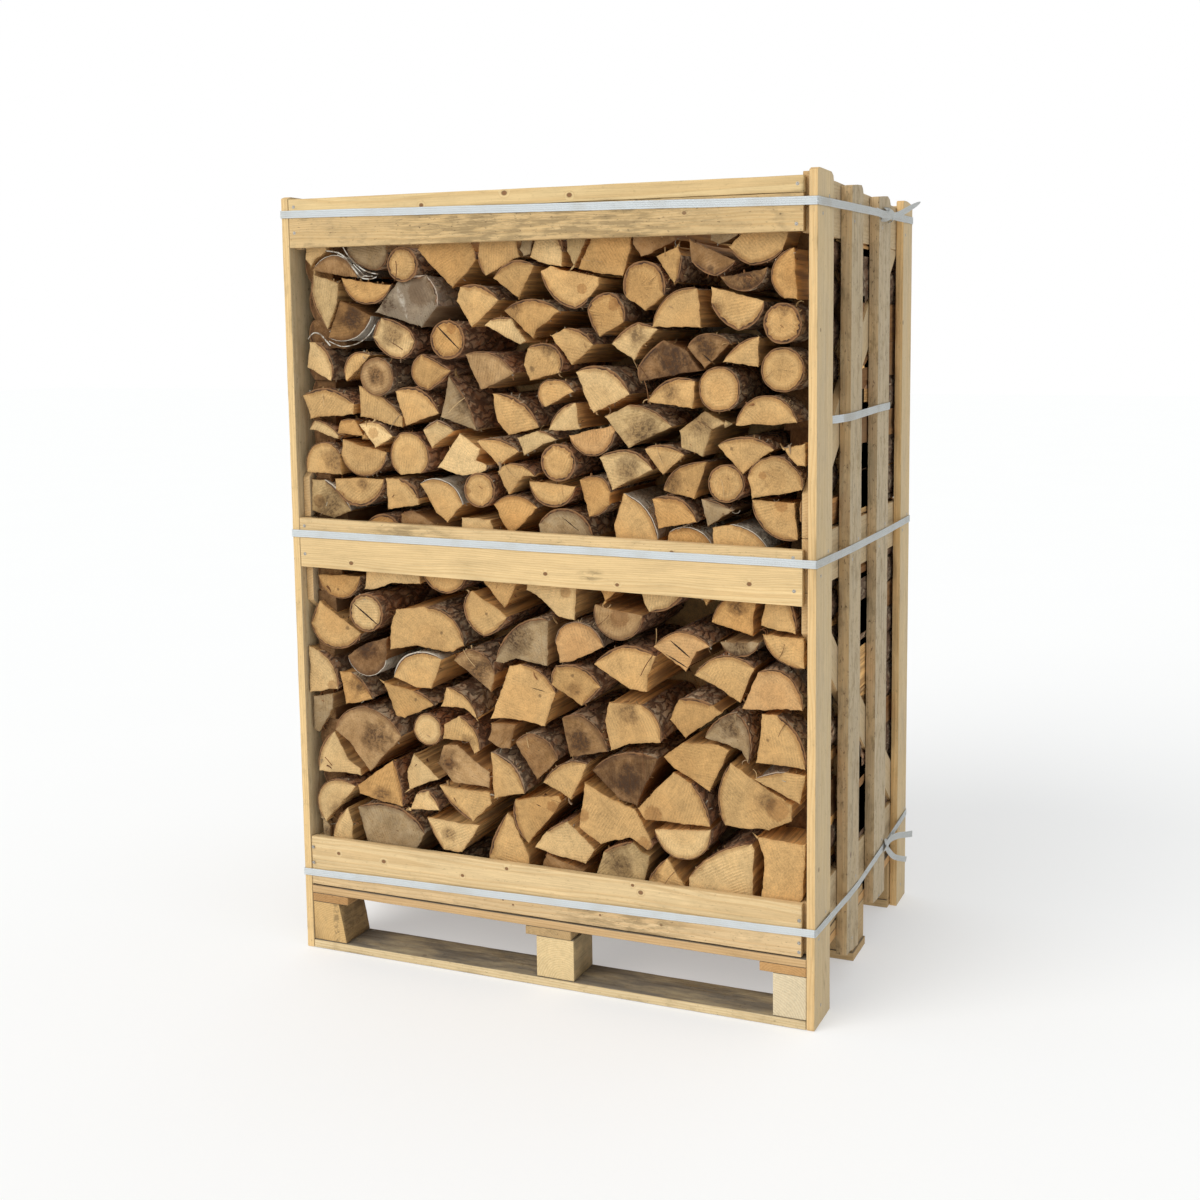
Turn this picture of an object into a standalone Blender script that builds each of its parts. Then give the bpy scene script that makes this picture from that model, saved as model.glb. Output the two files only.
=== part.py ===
"""Crate of firewood: a slatted wooden crate on a pallet, filled with three rows of split logs.

Metres, +Z up, +X to the right seen from the front, front towards -Y. The origin is the centre of the
footprint on the ground. Every object left in the scene is one closed solid and one named piece.
"""

import math

import bmesh
import bpy
from mathutils import Vector
from mathutils.geometry import tessellate_polygon

# Clearance kept between neighbouring pieces.
GAP = 0.0003

# Overall form of the crate: a pallet of 1200 x 800 mm that carries a crate 1.69 m high.
FRONT_Y = -0.400
BACK_Y = 0.400
SLAT_INNER_X = 0.580
RAIL_INNER_X = 0.562
CORNER_X = SLAT_INNER_X - GAP

# Finish of each kind of piece: colour, roughness.
FINISHES = {
    "front_boards": ((0.76, 0.56, 0.28), 0.62),
    "side_boards": ((0.66, 0.49, 0.26), 0.66),
    "pallet_boards": ((0.60, 0.50, 0.36), 0.72),
    "split_logs": ((0.62, 0.39, 0.16), 0.75),
    "woven_strap": ((0.68, 0.75, 0.79), 0.55),
}

# Pallet: heights of its layers, depths of its three rows and widths of its three columns.
RUNNER_TOP_Z = 0.019
BLOCK_TOP_Z = 0.109
STRINGER_TOP_Z = 0.129
DECK_TOP_Z = 0.147
PALLET_ROWS = {"front": (FRONT_Y, -0.300), "middle": (-0.042, 0.062), "rear": (0.290, BACK_Y)}
MIDDLE_RUNNER_REACH = 0.583
BLOCK_COLUMNS = {"left": (-CORNER_X, -0.500), "middle": (-0.017, 0.071), "right": (0.510, CORNER_X)}
BLOCK_SETBACK = 0.002
# The left blocks are cut from the edge of a trunk, so their inner side leans: shifts from foot to top.
WANEY_SHIFTS = (0.006, -0.002, -0.012)
STRINGERS = {"left": (-CORNER_X, -0.487), "middle": (-0.042, 0.065), "right": (0.482, CORNER_X)}
STRINGER_SETBACK = 0.001
DECK_BOARDS = [(FRONT_Y, -0.302), (-0.222, -0.124), (-0.049, 0.049), (0.124, 0.222), (0.302, BACK_Y)]

# Side panels: four slats from front to back, each with its outline (depth, height) and its thickness.
SLATS = [
    ([(FRONT_Y, 0.0), (-0.288, 0.0), (-0.288, 1.669), (-0.292, 1.680), (-0.305, 1.6855), (-0.388, 1.686),
      (FRONT_Y, 1.682)], 0.018),
    ([(-0.178, 0.070), (-0.150, 0.068), (-0.083, 0.058), (-0.083, 1.664), (-0.088, 1.672), (-0.097, 1.6775),
      (-0.130, 1.6755), (-0.173, 1.670)], 0.024),
    ([(0.060, 0.098), (0.120, 0.092), (0.165, 0.092), (0.165, 1.6575), (0.158, 1.6675), (0.138, 1.6735),
      (0.105, 1.671), (0.060, 1.6665)], 0.022),
    ([(0.310, 0.0), (BACK_Y, 0.0), (BACK_Y, 1.668), (0.380, 1.6755), (0.343, 1.6785), (0.316, 1.678),
      (0.310, 1.674)], 0.018),
]

# Rails behind the slats, bottom to top: lower and upper edge. Sloping braces between them: height of both
# edges at the middle of the depth, and the slope.
RAIL_HEIGHTS = {"bottom": (0.150, 0.256), "middle": (0.878, 0.984), "top": (1.566, 1.681)}
# The top rail's upper edge falls towards the rear, and every top of the left panel is a little lower.
TOP_RAIL_REAR_Z = 1.661
TOPS_FROM_Z = 1.6
LEFT_TOPS_DROP = 0.008
RAIL_HALF_LENGTH = 0.3807
UPPER_BRACE = {"low": 1.293, "high": 1.388, "slope": 0.83}
LOWER_BRACE = {"low": 0.505, "high": 0.600, "slope": -0.77}

# Bands of two boards each: lower edge, joint and upper edge, at the left end and at the right end.
BAND_THICKNESS = 0.019
BAND_LEFT_X = -CORNER_X
BAND_RIGHT_X = 0.570
BANDS = {
    "top": ((1.568, 1.640, 1.672), (1.568, 1.640, 1.672)),
    "middle": ((0.875, 0.948, 0.984), (0.854, 0.931, 0.964)),
    "bottom": ((0.150, 0.177, 0.2605), (0.150, 0.203, 0.257)),
}
BOTTOM_BOARD_SETBACK = 0.0025

# Straps: section, the half loop round the right side seen from above, and the heights of each strap: at the
# five points of that half loop, and at the front left and rear left corner.
STRAP_WIDTH = 0.016
STRAP_THICKNESS = 0.0011
STRAP_HALF_LOOP = [(0.5985, -0.4005), (0.6045, -0.1735), (0.6045, -0.0825), (0.6025, 0.1655),
                   (0.5985, 0.4005)]
STRAP_HEIGHTS = {
    "top": ((1.6240, 1.6277, 1.6292, 1.6332, 1.6370), (1.640, 1.642)),
    "middle": ((0.9380, 0.9369, 0.9364, 0.9352, 0.9340), (0.949, 0.944)),
    "bottom": ((0.2025, 0.1985, 0.1965, 0.2025, 0.2076), (0.177, 0.195)),
}
# Knots as folded pads, and the short tails that leave them: points seen from above, heights, width.
KNOTS = {
    "top": ((0.6028, 0.6120), (0.080, 0.118), (1.6215, 1.6425)),
    "bottom": ((0.6023, 0.6110), (0.140, 0.168), (0.1935, 0.2155)),
}
TAILS = {
    "top": ([(0.6070, 0.112), (0.6130, 0.170), (0.6150, 0.230)], [1.631, 1.629, 1.636], 0.014),
    "bottom": ([(0.6060, 0.160), (0.6110, 0.230), (0.6140, 0.300)], [0.205, 0.196, 0.185], 0.014),
}
TAIL_THICKNESS = 0.0012
# The short tie round the two middle slats of the right side.
TIE_PATH = [(0.5720, -0.262), (0.5900, -0.235), (0.6046, -0.1740), (0.6046, -0.0830), (0.6026, 0.0600),
            (0.6026, 0.1656), (0.5990, 0.1668), (0.5815, 0.1672)]
TIE_HEIGHTS = [1.2060, 1.2070, 1.2090, 1.2110, 1.2140, 1.2150, 1.2150, 1.2150]

# Rows of logs along the depth, and how far the log ends stand out of the row's solid.
LOG_ROWS = {"front": (-0.385, -0.135), "middle": (-0.125, 0.125), "back": (0.135, 0.385)}
END_RELIEF = 0.030
# How deep an end is rooted in the row's solid, and how the depth differs from one end to the next.
ROOT_DEPTH = 0.012
ROOT_STEP = 0.0003
# How far open ends stand out past the row's face, and how far back the ones behind a band stay.
END_STAND_OUT = 0.001
END_STAND_OUT_RANGE = 0.004
BAND_SETBACK = 0.0055
END_INSET = 0.0012
STACK_TOP_Z = 1.618
STACK_BOTTOM_Z = DECK_TOP_Z + 0.0005
TOP_BUMPS = 11
# Room kept above and below rails and braces where a row's side steps back behind them, and the clearance
# to the slats and to the rails.
ZONE_MARGIN = 0.004
SLAT_CLEARANCE = 0.002
RAIL_CLEARANCE = 0.0008
# Heights of the three bands, with a margin, where log ends stay back.
BAND_ZONES = ((0.150, 0.262), (0.850, 0.986), (1.566, 1.674))

# How finely the bark sides of the log ends are cut, front and back.
FRONT_FINENESS = 1.4
BACK_FINENESS = 0.5
LEAST_STEP = 0.2

# The log ends at the far left were measured a little too wide: left of a line they are drawn together.
SQUEEZE_LEFT_OF = -50.0
SQUEEZE_SHARE = 0.83
# Half the height of the crate: the back row shows the two halves of the front exchanged.
HALF_SHIFT = 0.713
HALF_SPLIT_Z = 0.925

# Points of a finished solid that are closer than this are merged.
MERGE_DISTANCE = 0.00002

# Log ends of the front, in centimetres from the centre of the crate and from the ground. A corner is
# (x, z) or (x, z, bulge): a bulge makes the side that leaves the corner an arc of bark, as high as that
# part of its chord. Corners run anticlockwise seen from the front.
LOG_ENDS = [
    # Top course, partly behind the top band.
    [(-57, 154.4), (-55, 152.4), (-53.8, 154.3), (-50, 156), (-49.5, 160), (-56, 160)],
    [(-54.6, 151.8), (-42.1, 150, 0.37)],
    [(-34.8, 155.5), (-35.5, 161), (-44.8, 161), (-45.3, 156, 0.12), (-38, 151.6, 0.18)],
    [(-34.7, 152.8, 0.5), (-27.1, 152.8, 0.5)],
    [(-19.5, 147.3), (-13.6, 153.3, 0.05), (-13.9, 155.2), (-17, 161), (-26, 160.5), (-27.8, 155.7)],
    [(-11.7, 149.9), (-3.7, 153.7), (-5, 160.5), (-12.6, 160.5), (-13.6, 154.2, 0.1)],
    [(-3, 153.7), (-1.3, 154), (0.2, 160), (-2.4, 160), (-4.1, 155.2)],
    [(-1.6, 153.6), (0.3, 152.3), (6, 151.2), (6.2, 154.5, 0.1), (3.5, 161), (0.9, 161)],
    [(8.5, 151), (11.3, 157), (11, 160.5), (6.9, 160.5), (6.6, 154.4)],
    [(9.2, 150.8), (15, 149.4), (19.4, 149), (21, 154.8), (21, 161), (13.9, 161)],
    [(22.9, 152.8), (25.5, 153.5), (30.5, 156), (30, 161), (21.7, 161), (21.2, 155.5)],
    [(30.2, 147.2, 0.1), (31.9, 153.2), (31.2, 155.4), (26.2, 153.1)],
    [(43.2, 151.8), (33.5, 156.3), (33.9, 151.6, 0.08), (38.8, 148.9, 0.1)],
    [(41.2, 154.6, 0.12), (46, 150.7, 0.1), (52.5, 153.4), (54.8, 161), (48, 161)],
    [(52.8, 144.2), (55.8, 143.9), (54.8, 154.1, 0.37)],
    [(39.5, 154.6), (45, 157.2), (44, 161), (36.8, 161), (37.4, 155.6)],
    # Second course.
    [(-49.6, 139.2), (-46.8, 146), (-46.6, 149.2), (-53.8, 151.4, 0.05), (-54.8, 147.5, 0.08)],
    [(-33.5, 148.6), (-46, 150.4, 0.4)],
    [(-50, 137.5, 0.23), (-38.7, 142.3), (-46.7, 145.8)],
    [(-26.8, 139.4), (-22.8, 143.8, 0.15), (-25.5, 150.6, 0.05), (-32.5, 149.5), (-38.3, 142.9)],
    [(-15, 139.2), (-12.6, 141.2), (-8.4, 145, 0.12), (-14, 148.5, 0.06), (-17.7, 148), (-18.6, 145)],
    [(-3.8, 145), (0, 151.9, 0.1), (-4.5, 153.2, 0.1), (-9.6, 149.5)],
    [(-0.7, 136.9), (0.2, 138.8), (5.4, 142.6, 0.1), (-1, 145.4, 0.1), (-7.4, 142.9)],
    [(14.6, 149.4), (3.5, 151.8), (1.3, 150.7, 0.18), (9, 142.9, 0.1), (12, 145), (14.5, 147.5)],
    [(14.2, 137), (19.6, 140.1, 0.2), (16.6, 146.3, 0.2), (11.5, 142.8, 0.08)],
    [(24.2, 142.3), (28.3, 145.3, 0.15), (26.5, 151.6, 0.15), (20.6, 151.3, 0.15), (19.8, 145)],
    [(25.2, 139.1), (36, 138.8), (35.2, 146.9, 0.22)],
    [(49.6, 150.5), (39.9, 148.9, 0.4)],
    [(48.9, 144.2), (44, 145.5), (37.9, 147), (37.7, 143.8, 0.13), (43.5, 138.3, 0.2)],
    [(48.4, 139.7, 0.5), (56.4, 139.7, 0.5)],
    [(-12, 139.7), (-3.6, 135.8), (-2.2, 136.6), (-5.5, 141.3, 0.1), (-10.5, 141.2)],
    [(-24.7, 137, 0.5), (-16.3, 137, 0.5)],
    [(-32, 132.9, 0.15), (-28.3, 136.6, 0.15), (-31.5, 140.3, 0.05), (-36.8, 141.9, 0.1),
     (-39, 137.5, 0.15)],
    [(8, 131.5), (13.2, 135.8, 0.15), (6.5, 139.4), (3, 137.8)],
    [(21.5, 132.4), (23.6, 135.3), (26.8, 138.8, 0.05), (22.5, 140.3, 0.08), (16.4, 135.9)],
    [(36.4, 130.7), (42.3, 135.9, 0.1), (36.8, 138.2, 0.12), (32.6, 135.3)],
    # Third course.
    [(-57, 131), (-49.6, 128, 0.22), (-54, 136.9), (-56.1, 136.9)],
    [(-56, 120), (-43.8, 121), (-43.6, 123.4, 0.19), (-58.1, 125.2)],
    [(-45.7, 127.8), (-39.3, 133.8, 0.43)],
    [(-42.1, 129.3, 0.5), (-33.7, 129.3, 0.5)],
    [(-42.8, 120.5), (-32.2, 118.3), (-32, 120.8, 0.09), (-43.2, 127.6)],
    [(-31.2, 118.6), (-22.8, 121.5, 0.25), (-33.9, 126.3)],
    [(-19.6, 130.6, 0.05), (-26.8, 134.2, 0.43), (-25.3, 126.4, 0.06)],
    [(-12.8, 126.4), (-4.9, 130, 0.19), (-16.7, 134)],
    [(-22.7, 120.8), (-13.8, 117.9, 0.08), (-20.2, 129.7)],
    [(-7, 117), (0.4, 118.9, 0.18), (-10.6, 126), (-9.6, 119.8)],
    [(-1.7, 128.4), (5.2, 130, 0.1), (6, 133.2, 0.15), (2.5, 136.3, 0.1), (-2.3, 135.3), (-3.3, 131.8)],
    [(1.8, 123), (8.7, 126.2, 0.17), (3.6, 129, 0.42)],
    [(2.4, 118.2), (9.9, 118.6), (8.9, 124.4, 0.17)],
    [(12.6, 121.8), (20.9, 125.8, 0.26), (8.7, 130.4)],
    [(22.7, 128.3), (35.9, 130.6), (32.6, 135), (28, 136.7, 0.08), (22.4, 131.5, 0.1)],
    [(20.1, 115), (29.8, 119.6, 0.12), (20, 124), (14.7, 121.6)],
    [(24.4, 124.3), (34.3, 123), (34.8, 128.8, 0.22)],
    [(35.2, 127.1, 0.52), (44, 127.1, 0.52)],
    [(40.1, 132.2), (47.8, 131.2), (48.1, 137.5, 0.12)],
    [(47.9, 130.9, 0.5), (56.8, 130.9, 0.5)],
    [(42.9, 119.8), (55.7, 120.5, 0.47)],
    [(31.5, 115.3), (36.2, 113.8), (38.3, 119), (41.5, 120.4), (36.5, 123), (31, 119)],
    [(44.2, 110.4), (51, 115.5, 0.18), (38.7, 116.2)],
    [(55.2, 112.2), (57.2, 112.2), (57.2, 117.2), (52, 115.8)],
    # Fourth course.
    [(-56.8, 117.6), (-48.1, 115.4), (-48, 116.6, 0.12), (-55, 120, 0.1)],
    [(-48.9, 116.8), (-41.4, 116.1), (-44, 120.1, 0.08), (-47.8, 119.9)],
    [(-38.8, 114), (-34, 116.5, 0.2), (-42.8, 119.1)],
    [(-33, 108.3), (-28, 108.5, 0.15), (-25.6, 112, 0.15), (-28.5, 117, 0.13), (-33, 117.3, 0.12),
     (-35.3, 112.5, 0.15)],
    [(-25.2, 113.9), (-19.5, 118, 0.1), (-23.6, 120.4, 0.08), (-27.4, 118.1)],
    [(-24, 110), (-18, 108.4), (-12.3, 109.5, 0.2), (-12, 111.2), (-14.4, 112), (-13.2, 114.4), (-18.3, 118)],
    [(-9.2, 110.8), (-4, 113.9, 0.17), (-14.3, 116)],
    [(-3.4, 113), (1, 115.2), (4.4, 116.5, 0.08), (0, 118.6), (-5, 117)],
    [(0.5, 111.9, 0.5), (8.6, 111.9, 0.5)],
    [(17.3, 118.6), (16.5, 119.8), (6.8, 117.6, 0.46)],
    [(16.4, 106.4), (25.7, 110.8, 0.2), (16.3, 114.5, 0.06), (13.6, 113.2)],
    [(27.6, 109.7), (32.4, 114.1, 0.17), (23.6, 115.2)],
    [(-57.8, 108.1), (-47.4, 107.9), (-47.6, 112.5, 0.08), (-50.2, 115, 0.12), (-56.2, 114, 0.13)],
    [(-36.1, 113.3), (-47.3, 115.8), (-47.9, 112.2, 0.43)],
    [(34.4, 105.1), (37.2, 113, 0.08), (30.5, 111.6, 0.1), (27.6, 106.9)],
    [(37, 108.7, 0.5), (44.8, 108.7, 0.5)],
    [(46.2, 105.7), (56.6, 107.7, 0.15), (54.6, 112.8, 0.17), (49, 114, 0.17), (45.4, 110)],
    # Fifth course, on the middle band.
    [(-36.6, 107.7), (-49.2, 107.4), (-49.2, 104.9, 0.4)],
    [(-58, 99.7), (-50.5, 98.2), (-45.8, 100, 0.1), (-53, 107), (-57.4, 107)],
    [(-36.3, 100.5), (-28, 101.9), (-28.1, 103.5, 0.15), (-33, 107.8), (-36.4, 107.7)],
    [(-42.6, 94), (-33.4, 94), (-33.8, 97.5, 0.28), (-42.2, 97.5)],
    [(-33.2, 94), (-23, 94), (-22.8, 97), (-30, 100.8, 0.06), (-33.7, 100)],
    [(-22, 98.1), (-18, 102.3, 0.27), (-28.8, 106.6), (-25, 100.3)],
    [(-17.6, 105.7, 0.5), (-10, 105.7, 0.5)],
    [(-6.7, 104.8), (-3.2, 108.7), (-0.3, 108.8, 0.17), (-7.3, 111.6), (-9.7, 109.8)],
    [(8.4, 107.1), (-2.5, 108.3, 0.48)],
    [(-7.2, 96), (-0.4, 102.3, 0.22), (-11.3, 102.7)],
    [(-18.8, 94), (-9.9, 94), (-11.5, 99.6), (-18.8, 99.9)],
    [(0, 94), (12, 94), (12, 96.8, 0.36), (-0.6, 99)],
    [(11.4, 100.8, 0.12), (16.2, 103.5), (16.6, 106.2, 0.1), (14.5, 109.2, 0.12), (9.2, 108.6)],
    [(17, 94), (26.5, 94), (26.5, 97, 0.15), (18.6, 106.2), (16.2, 99.5)],
    [(37, 99.8), (42.6, 103.4, 0.08), (35.6, 105.6)],
    [(26.6, 99), (35.2, 100.6, 0.2), (28, 106, 0.06), (25.1, 105.3)],
    [(27, 94), (37.8, 94), (37.8, 96.3, 0.24), (28.5, 98.6)],
    [(38, 94), (49.6, 94), (49.6, 96, 0.13), (41.5, 100.8), (37.5, 100)],
    [(55.5, 97.9), (55, 105.6), (45.9, 105.7, 0.25)],
    [(55.8, 95), (57.2, 95), (57.2, 105)],
    # Sixth course, under the middle band.
    [(-44, 86), (-56.3, 85.8, 0.5)],
    [(-43.3, 82.7), (-41, 82.7), (-36.5, 84.4), (-28.9, 84.6), (-29.2, 91), (-42, 91)],
    [(-46.9, 77.8, 0.5), (-38.1, 77.8, 0.5)],
    [(-55.9, 80, 0.03), (-59, 74.6, 0.36), (-44.2, 73)],
    [(-17.2, 90), (-28.8, 90), (-28.8, 88, 0.43), (-17.2, 88)],
    [(-7.2, 79.3), (-16, 84.6, 0.15), (-18.1, 80.2, 0.15), (-13.3, 74.5, 0.12)],
    [(-8.8, 80.5), (-7.8, 82), (-5, 88), (-5, 91), (-15.8, 91), (-15.8, 88)],
    [(7.5, 79.1), (8.9, 91), (-3, 91), (-3.8, 84.8), (-1.4, 83.9), (4, 79.4)],
    [(14.4, 82.9), (20, 89), (20, 91), (10.5, 91), (11.8, 88)],
    [(23.2, 81.5), (12.4, 83.2, 0.6)],
    [(24, 81.9, 0.15), (31.8, 86), (31.8, 91), (20.6, 91), (20.8, 88)],
    [(36.5, 83.9), (39, 87.5), (39, 90), (33, 90), (33.2, 88)],
    [(37.4, 80.6), (46.5, 78.2), (46.7, 83), (47.9, 91), (41, 91), (40.5, 86, 0.1)],
    [(47.5, 80.5), (55.1, 79.3, 0.12), (52.5, 88), (50, 90.5), (49.2, 88)],
    [(57, 72.7), (57, 79), (48, 79.3, 0.2)],
    [(48, 77.8), (39.5, 77.2, 0.4)],
    [(-11, 69.2), (-8.8, 68.9), (-6, 70.1), (1.5, 69), (2, 79, 0.1), (-1, 79.4, 0.16)],
    [(4.1, 70), (7.3, 70.7), (14.4, 74, 0.15), (9.5, 78.9, 0.1), (5.2, 78.4, 0.12), (3, 74.2)],
    [(11.7, 70.3), (20, 65.6), (23.8, 65.6), (24.2, 69), (26.1, 73.2, 0.1), (18.5, 75, 0.08)],
    [(25.1, 75), (32.4, 70.3), (34.7, 74.7), (37.8, 75.8, 0.12), (31, 78.8, 0.1)],
    [(34, 69.9), (43.9, 65), (47.1, 72.4, 0.25)],
    [(43.8, 63.6), (56.8, 64.3, 0.08), (55.5, 69.5, 0.22), (47.5, 71.7)],
    # Seventh course.
    [(-59.3, 58.8), (-50.1, 60.2, 0.18), (-56, 68.7), (-59.3, 69.6)],
    [(-47.9, 68, 0.4), (-37.6, 67.5), (-37.2, 73), (-43.5, 70.9)],
    [(-37, 69.8), (-30, 71), (-21.5, 70.3), (-18.4, 71.9, 0.22), (-28, 80.2), (-35.2, 79.3), (-36.8, 75.5)],
    [(-58.9, 50.2), (-57, 49.6), (-52.3, 55.5), (-52.2, 59.2), (-59, 58.3)],
    [(-48.8, 56.6), (-41.4, 58.5, 0.12), (-47, 64.4), (-50, 64.2)],
    [(-51.7, 50.8), (-47.9, 48.6), (-42.5, 42), (-34, 50.8, 0.12), (-42, 56.6, 0.22)],
    [(-35.6, 55.3), (-33.5, 55), (-25.6, 58.4, 0.1), (-31, 61.6), (-39, 63)],
    [(-36, 63.8), (-30.2, 62), (-26.5, 62.1), (-23.5, 68.9, 0.1), (-29, 70.2, 0.2)],
    [(-24.3, 58.3), (-18.5, 58.4), (-15.1, 56.2, 0.2), (-22.8, 63.1)],
    [(-12, 62.4), (-10.9, 66.5, 0.18), (-17, 71.7, 0.1), (-21, 68.9)],
    [(-12.6, 56.6), (-8, 57.1), (0.5, 56), (3.2, 63.6, 0.15), (-5, 69.3), (-7.8, 68.7)],
    [(-9.7, 50.2), (-7.6, 50.5), (-6.2, 56.1), (-12.5, 56.1), (-12.4, 54.2), (-13.1, 52.2)],
    [(-1.7, 44.2), (3.8, 49.1, 0.15), (-2, 54.6, 0.15), (-6.7, 52.2)],
    [(2.3, 65.5), (9.3, 61.2, 0.04), (13.8, 65.8, 0.2), (3.5, 69.6, 0.15)],
    [(6.1, 49.9), (15, 52, 0.15), (8.5, 59.6, 0.08), (4, 58.4)],
    [(15.4, 52.3), (19.8, 54.4), (26.8, 55.2, 0.2), (22.5, 63.1), (15.3, 62.9), (14.2, 59)],
    [(21.2, 41), (26.1, 51.8, 0.08), (17, 52, 0.1), (11, 47.7), (17.5, 41.9)],
    [(32, 56.3), (40.1, 62.7), (38, 64.2, 0.1), (30.5, 64.8), (28.3, 60.2)],
    [(27, 52.4), (29.5, 50.1), (37.3, 46), (41.5, 55.1), (39.2, 56.2), (31.5, 56)],
    [(36.2, 57.2), (44, 55.2), (45.4, 52.8, 0.08), (46, 58.5, 0.12), (42.8, 63.1, 0.15)],
    [(46.8, 53), (57.4, 52.6, 0.17), (51.5, 63.4), (48.2, 63.2)],
    [(46.3, 49.6), (56.4, 45.3), (57.4, 51.6), (53, 51.9, 0.08)],
    # Eighth course.
    [(-31.4, 53.1, 0.5), (-24.1, 53.1, 0.5)],
    [(-24, 51.2), (-17.6, 51.1), (-16.2, 48.7), (-14.6, 49.6, 0.18), (-19.7, 57), (-23.6, 54.8)],
    [(-57.3, 40.9), (-45, 40.9), (-45, 42.7), (-48.2, 44.3), (-51.9, 50.6, 0.18)],
    [(-55.3, 29.2), (-46.4, 38.4, 0.1), (-52.5, 39.6, 0.34)],
    [(-45.9, 36.4), (-41, 35.5), (-34.6, 34.9, 0.08), (-36.9, 45.6), (-46.4, 38.8)],
    [(-33.2, 38.5), (-25.1, 42.1), (-31.7, 47.5), (-33.6, 43)],
    [(-25.8, 45.8), (-21.8, 41.7), (-12.8, 41.3), (-12.7, 45), (-16.5, 47.4), (-20.5, 50.7), (-24, 50)],
    [(-17.2, 33.5), (-12.4, 38.2), (-12.8, 40.8), (-25.2, 41, 0.1)],
    [(-11.9, 39.3), (-4.1, 41.1, 0.2), (-12.4, 49.7)],
    [(-33.3, 34.1), (-25.2, 35, 0.1), (-28, 39.5, 0.1), (-31.4, 38.4)],
    [(-3.8, 30), (4.3, 40.5), (3.6, 41.8), (-7.1, 39.9, 0.18)],
    [(6.6, 41.1), (10.8, 49.4, 0.05), (6.5, 49.7, 0.1), (-0.2, 44.2)],
    [(12.8, 31.9), (19.5, 34.2), (23.5, 32, 0.3), (24.4, 34.6), (21, 40.8), (16, 42.2), (9.2, 45.4),
     (7.9, 35.3)],
    [(23.2, 38.5), (37.4, 38.9, 0.1), (33.5, 47.7), (29.4, 49.7), (21.4, 41.1)],
    [(40.4, 39.2), (49.8, 39.4), (54.6, 41.8), (54.6, 45.3), (41.6, 52.7, 0.15)],
    # Ninth course, on the bottom band.
    [(-54.3, 22), (-48.4, 22), (-48, 29), (-49.3, 33.1, 0.12), (-54.3, 26.1)],
    [(-43.5, 22), (-33.6, 22), (-29.4, 29.2, 0.13), (-38, 35, 0.07), (-47, 33.5)],
    [(-25, 25.9), (-20.2, 25.9), (-15.9, 32.8), (-29.2, 33.3, 0.05)],
    [(-14, 22), (-3.7, 22), (-3.7, 26.9), (-7.4, 35.2), (-9, 36.7, 0.06), (-14, 26.2)],
    [(-3, 29.3), (9.3, 27), (11.9, 30.7), (5.1, 36.4, 0.05), (0, 33.4)],
    [(-2.5, 23), (9, 23), (9, 26), (0, 28.5)],
    [(10.6, 22), (22.9, 22), (22.9, 25.9), (24.2, 31.2), (22.3, 31.6), (20, 33.6, 0.06), (13.1, 30.6)],
    [(23.2, 22), (31.7, 22), (31.7, 25.6), (27.8, 31.2, 0.08), (23.2, 25.6)],
    [(37.5, 38.3), (25, 36.9, 0.52)],
    [(32.3, 22), (46.3, 22), (46.6, 34.8), (46, 36.3, 0.11), (32.3, 27.7)],
    [(47.3, 22), (56.4, 22), (57.2, 34), (57.2, 37.4), (46.6, 38), (48.4, 33.5)],
    [(-57.6, 24), (-54.9, 24), (-54.9, 28.1), (-57.6, 30.5)],
]


def clear_scene():
    """Remove every object, so that the part always starts from an empty scene."""
    for item in list(bpy.data.objects):
        bpy.data.objects.remove(item, do_unlink=True)


def finish_material(kind):
    """Return the material of one kind of piece, made on its first use."""
    material = bpy.data.materials.get(kind)
    if material is None:
        colour, roughness = FINISHES[kind]
        material = bpy.data.materials.new(kind)
        material.use_nodes = True
        shader = material.node_tree.nodes["Principled BSDF"]
        shader.inputs["Base Color"].default_value = (*colour, 1.0)
        shader.inputs["Roughness"].default_value = roughness
        shader.inputs["Metallic"].default_value = 0.0
    return material


def add_object(name, kind, vertices, faces):
    """Make one closed mesh object of one finish from vertices and faces, its normals turned outwards."""
    mesh = bpy.data.meshes.new(name)
    mesh.from_pydata(vertices, [], faces)
    work = bmesh.new()
    work.from_mesh(mesh)
    bmesh.ops.recalc_face_normals(work, faces=work.faces)
    work.to_mesh(mesh)
    work.free()
    mesh.materials.append(finish_material(kind))
    item = bpy.data.objects.new(name, mesh)
    bpy.context.scene.collection.objects.link(item)
    return item


def place(axis, depth, point):
    """Return the 3-D point of a 2-D outline point that lies at a depth along an axis."""
    if axis == "x":
        return (depth, point[0], point[1])
    if axis == "y":
        return (point[0], depth, point[1])
    return (point[0], point[1], depth)


def prism_mesh(axis, start, end, outline, offset=0):
    """Return the vertices and faces of an outline pushed along one axis from start to end."""
    count = len(outline)
    vertices = [place(axis, start, point) for point in outline]
    vertices += [place(axis, end, point) for point in outline]
    triangles = tessellate_polygon([[Vector((point[0], point[1], 0.0)) for point in outline]])
    faces = [tuple(corner + offset for corner in triangle) for triangle in triangles]
    faces += [tuple(corner + offset + count for corner in reversed(triangle)) for triangle in triangles]
    for index in range(count):
        following = (index + 1) % count
        faces.append((offset + index, offset + following, offset + count + following, offset + count + index))
    return vertices, faces


def prism(name, kind, axis, start, end, outline):
    """Make one piece by pushing an outline along one axis from start to end."""
    vertices, faces = prism_mesh(axis, start, end, outline)
    return add_object(name, kind, vertices, faces)


def box(name, kind, x_range, y_range, z_range):
    """Make a rectangular board from its three ranges."""
    outline = [(y_range[0], z_range[0]), (y_range[1], z_range[0]), (y_range[1], z_range[1]),
               (y_range[0], z_range[1])]
    return prism(name, kind, "x", x_range[0], x_range[1], outline)


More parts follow.
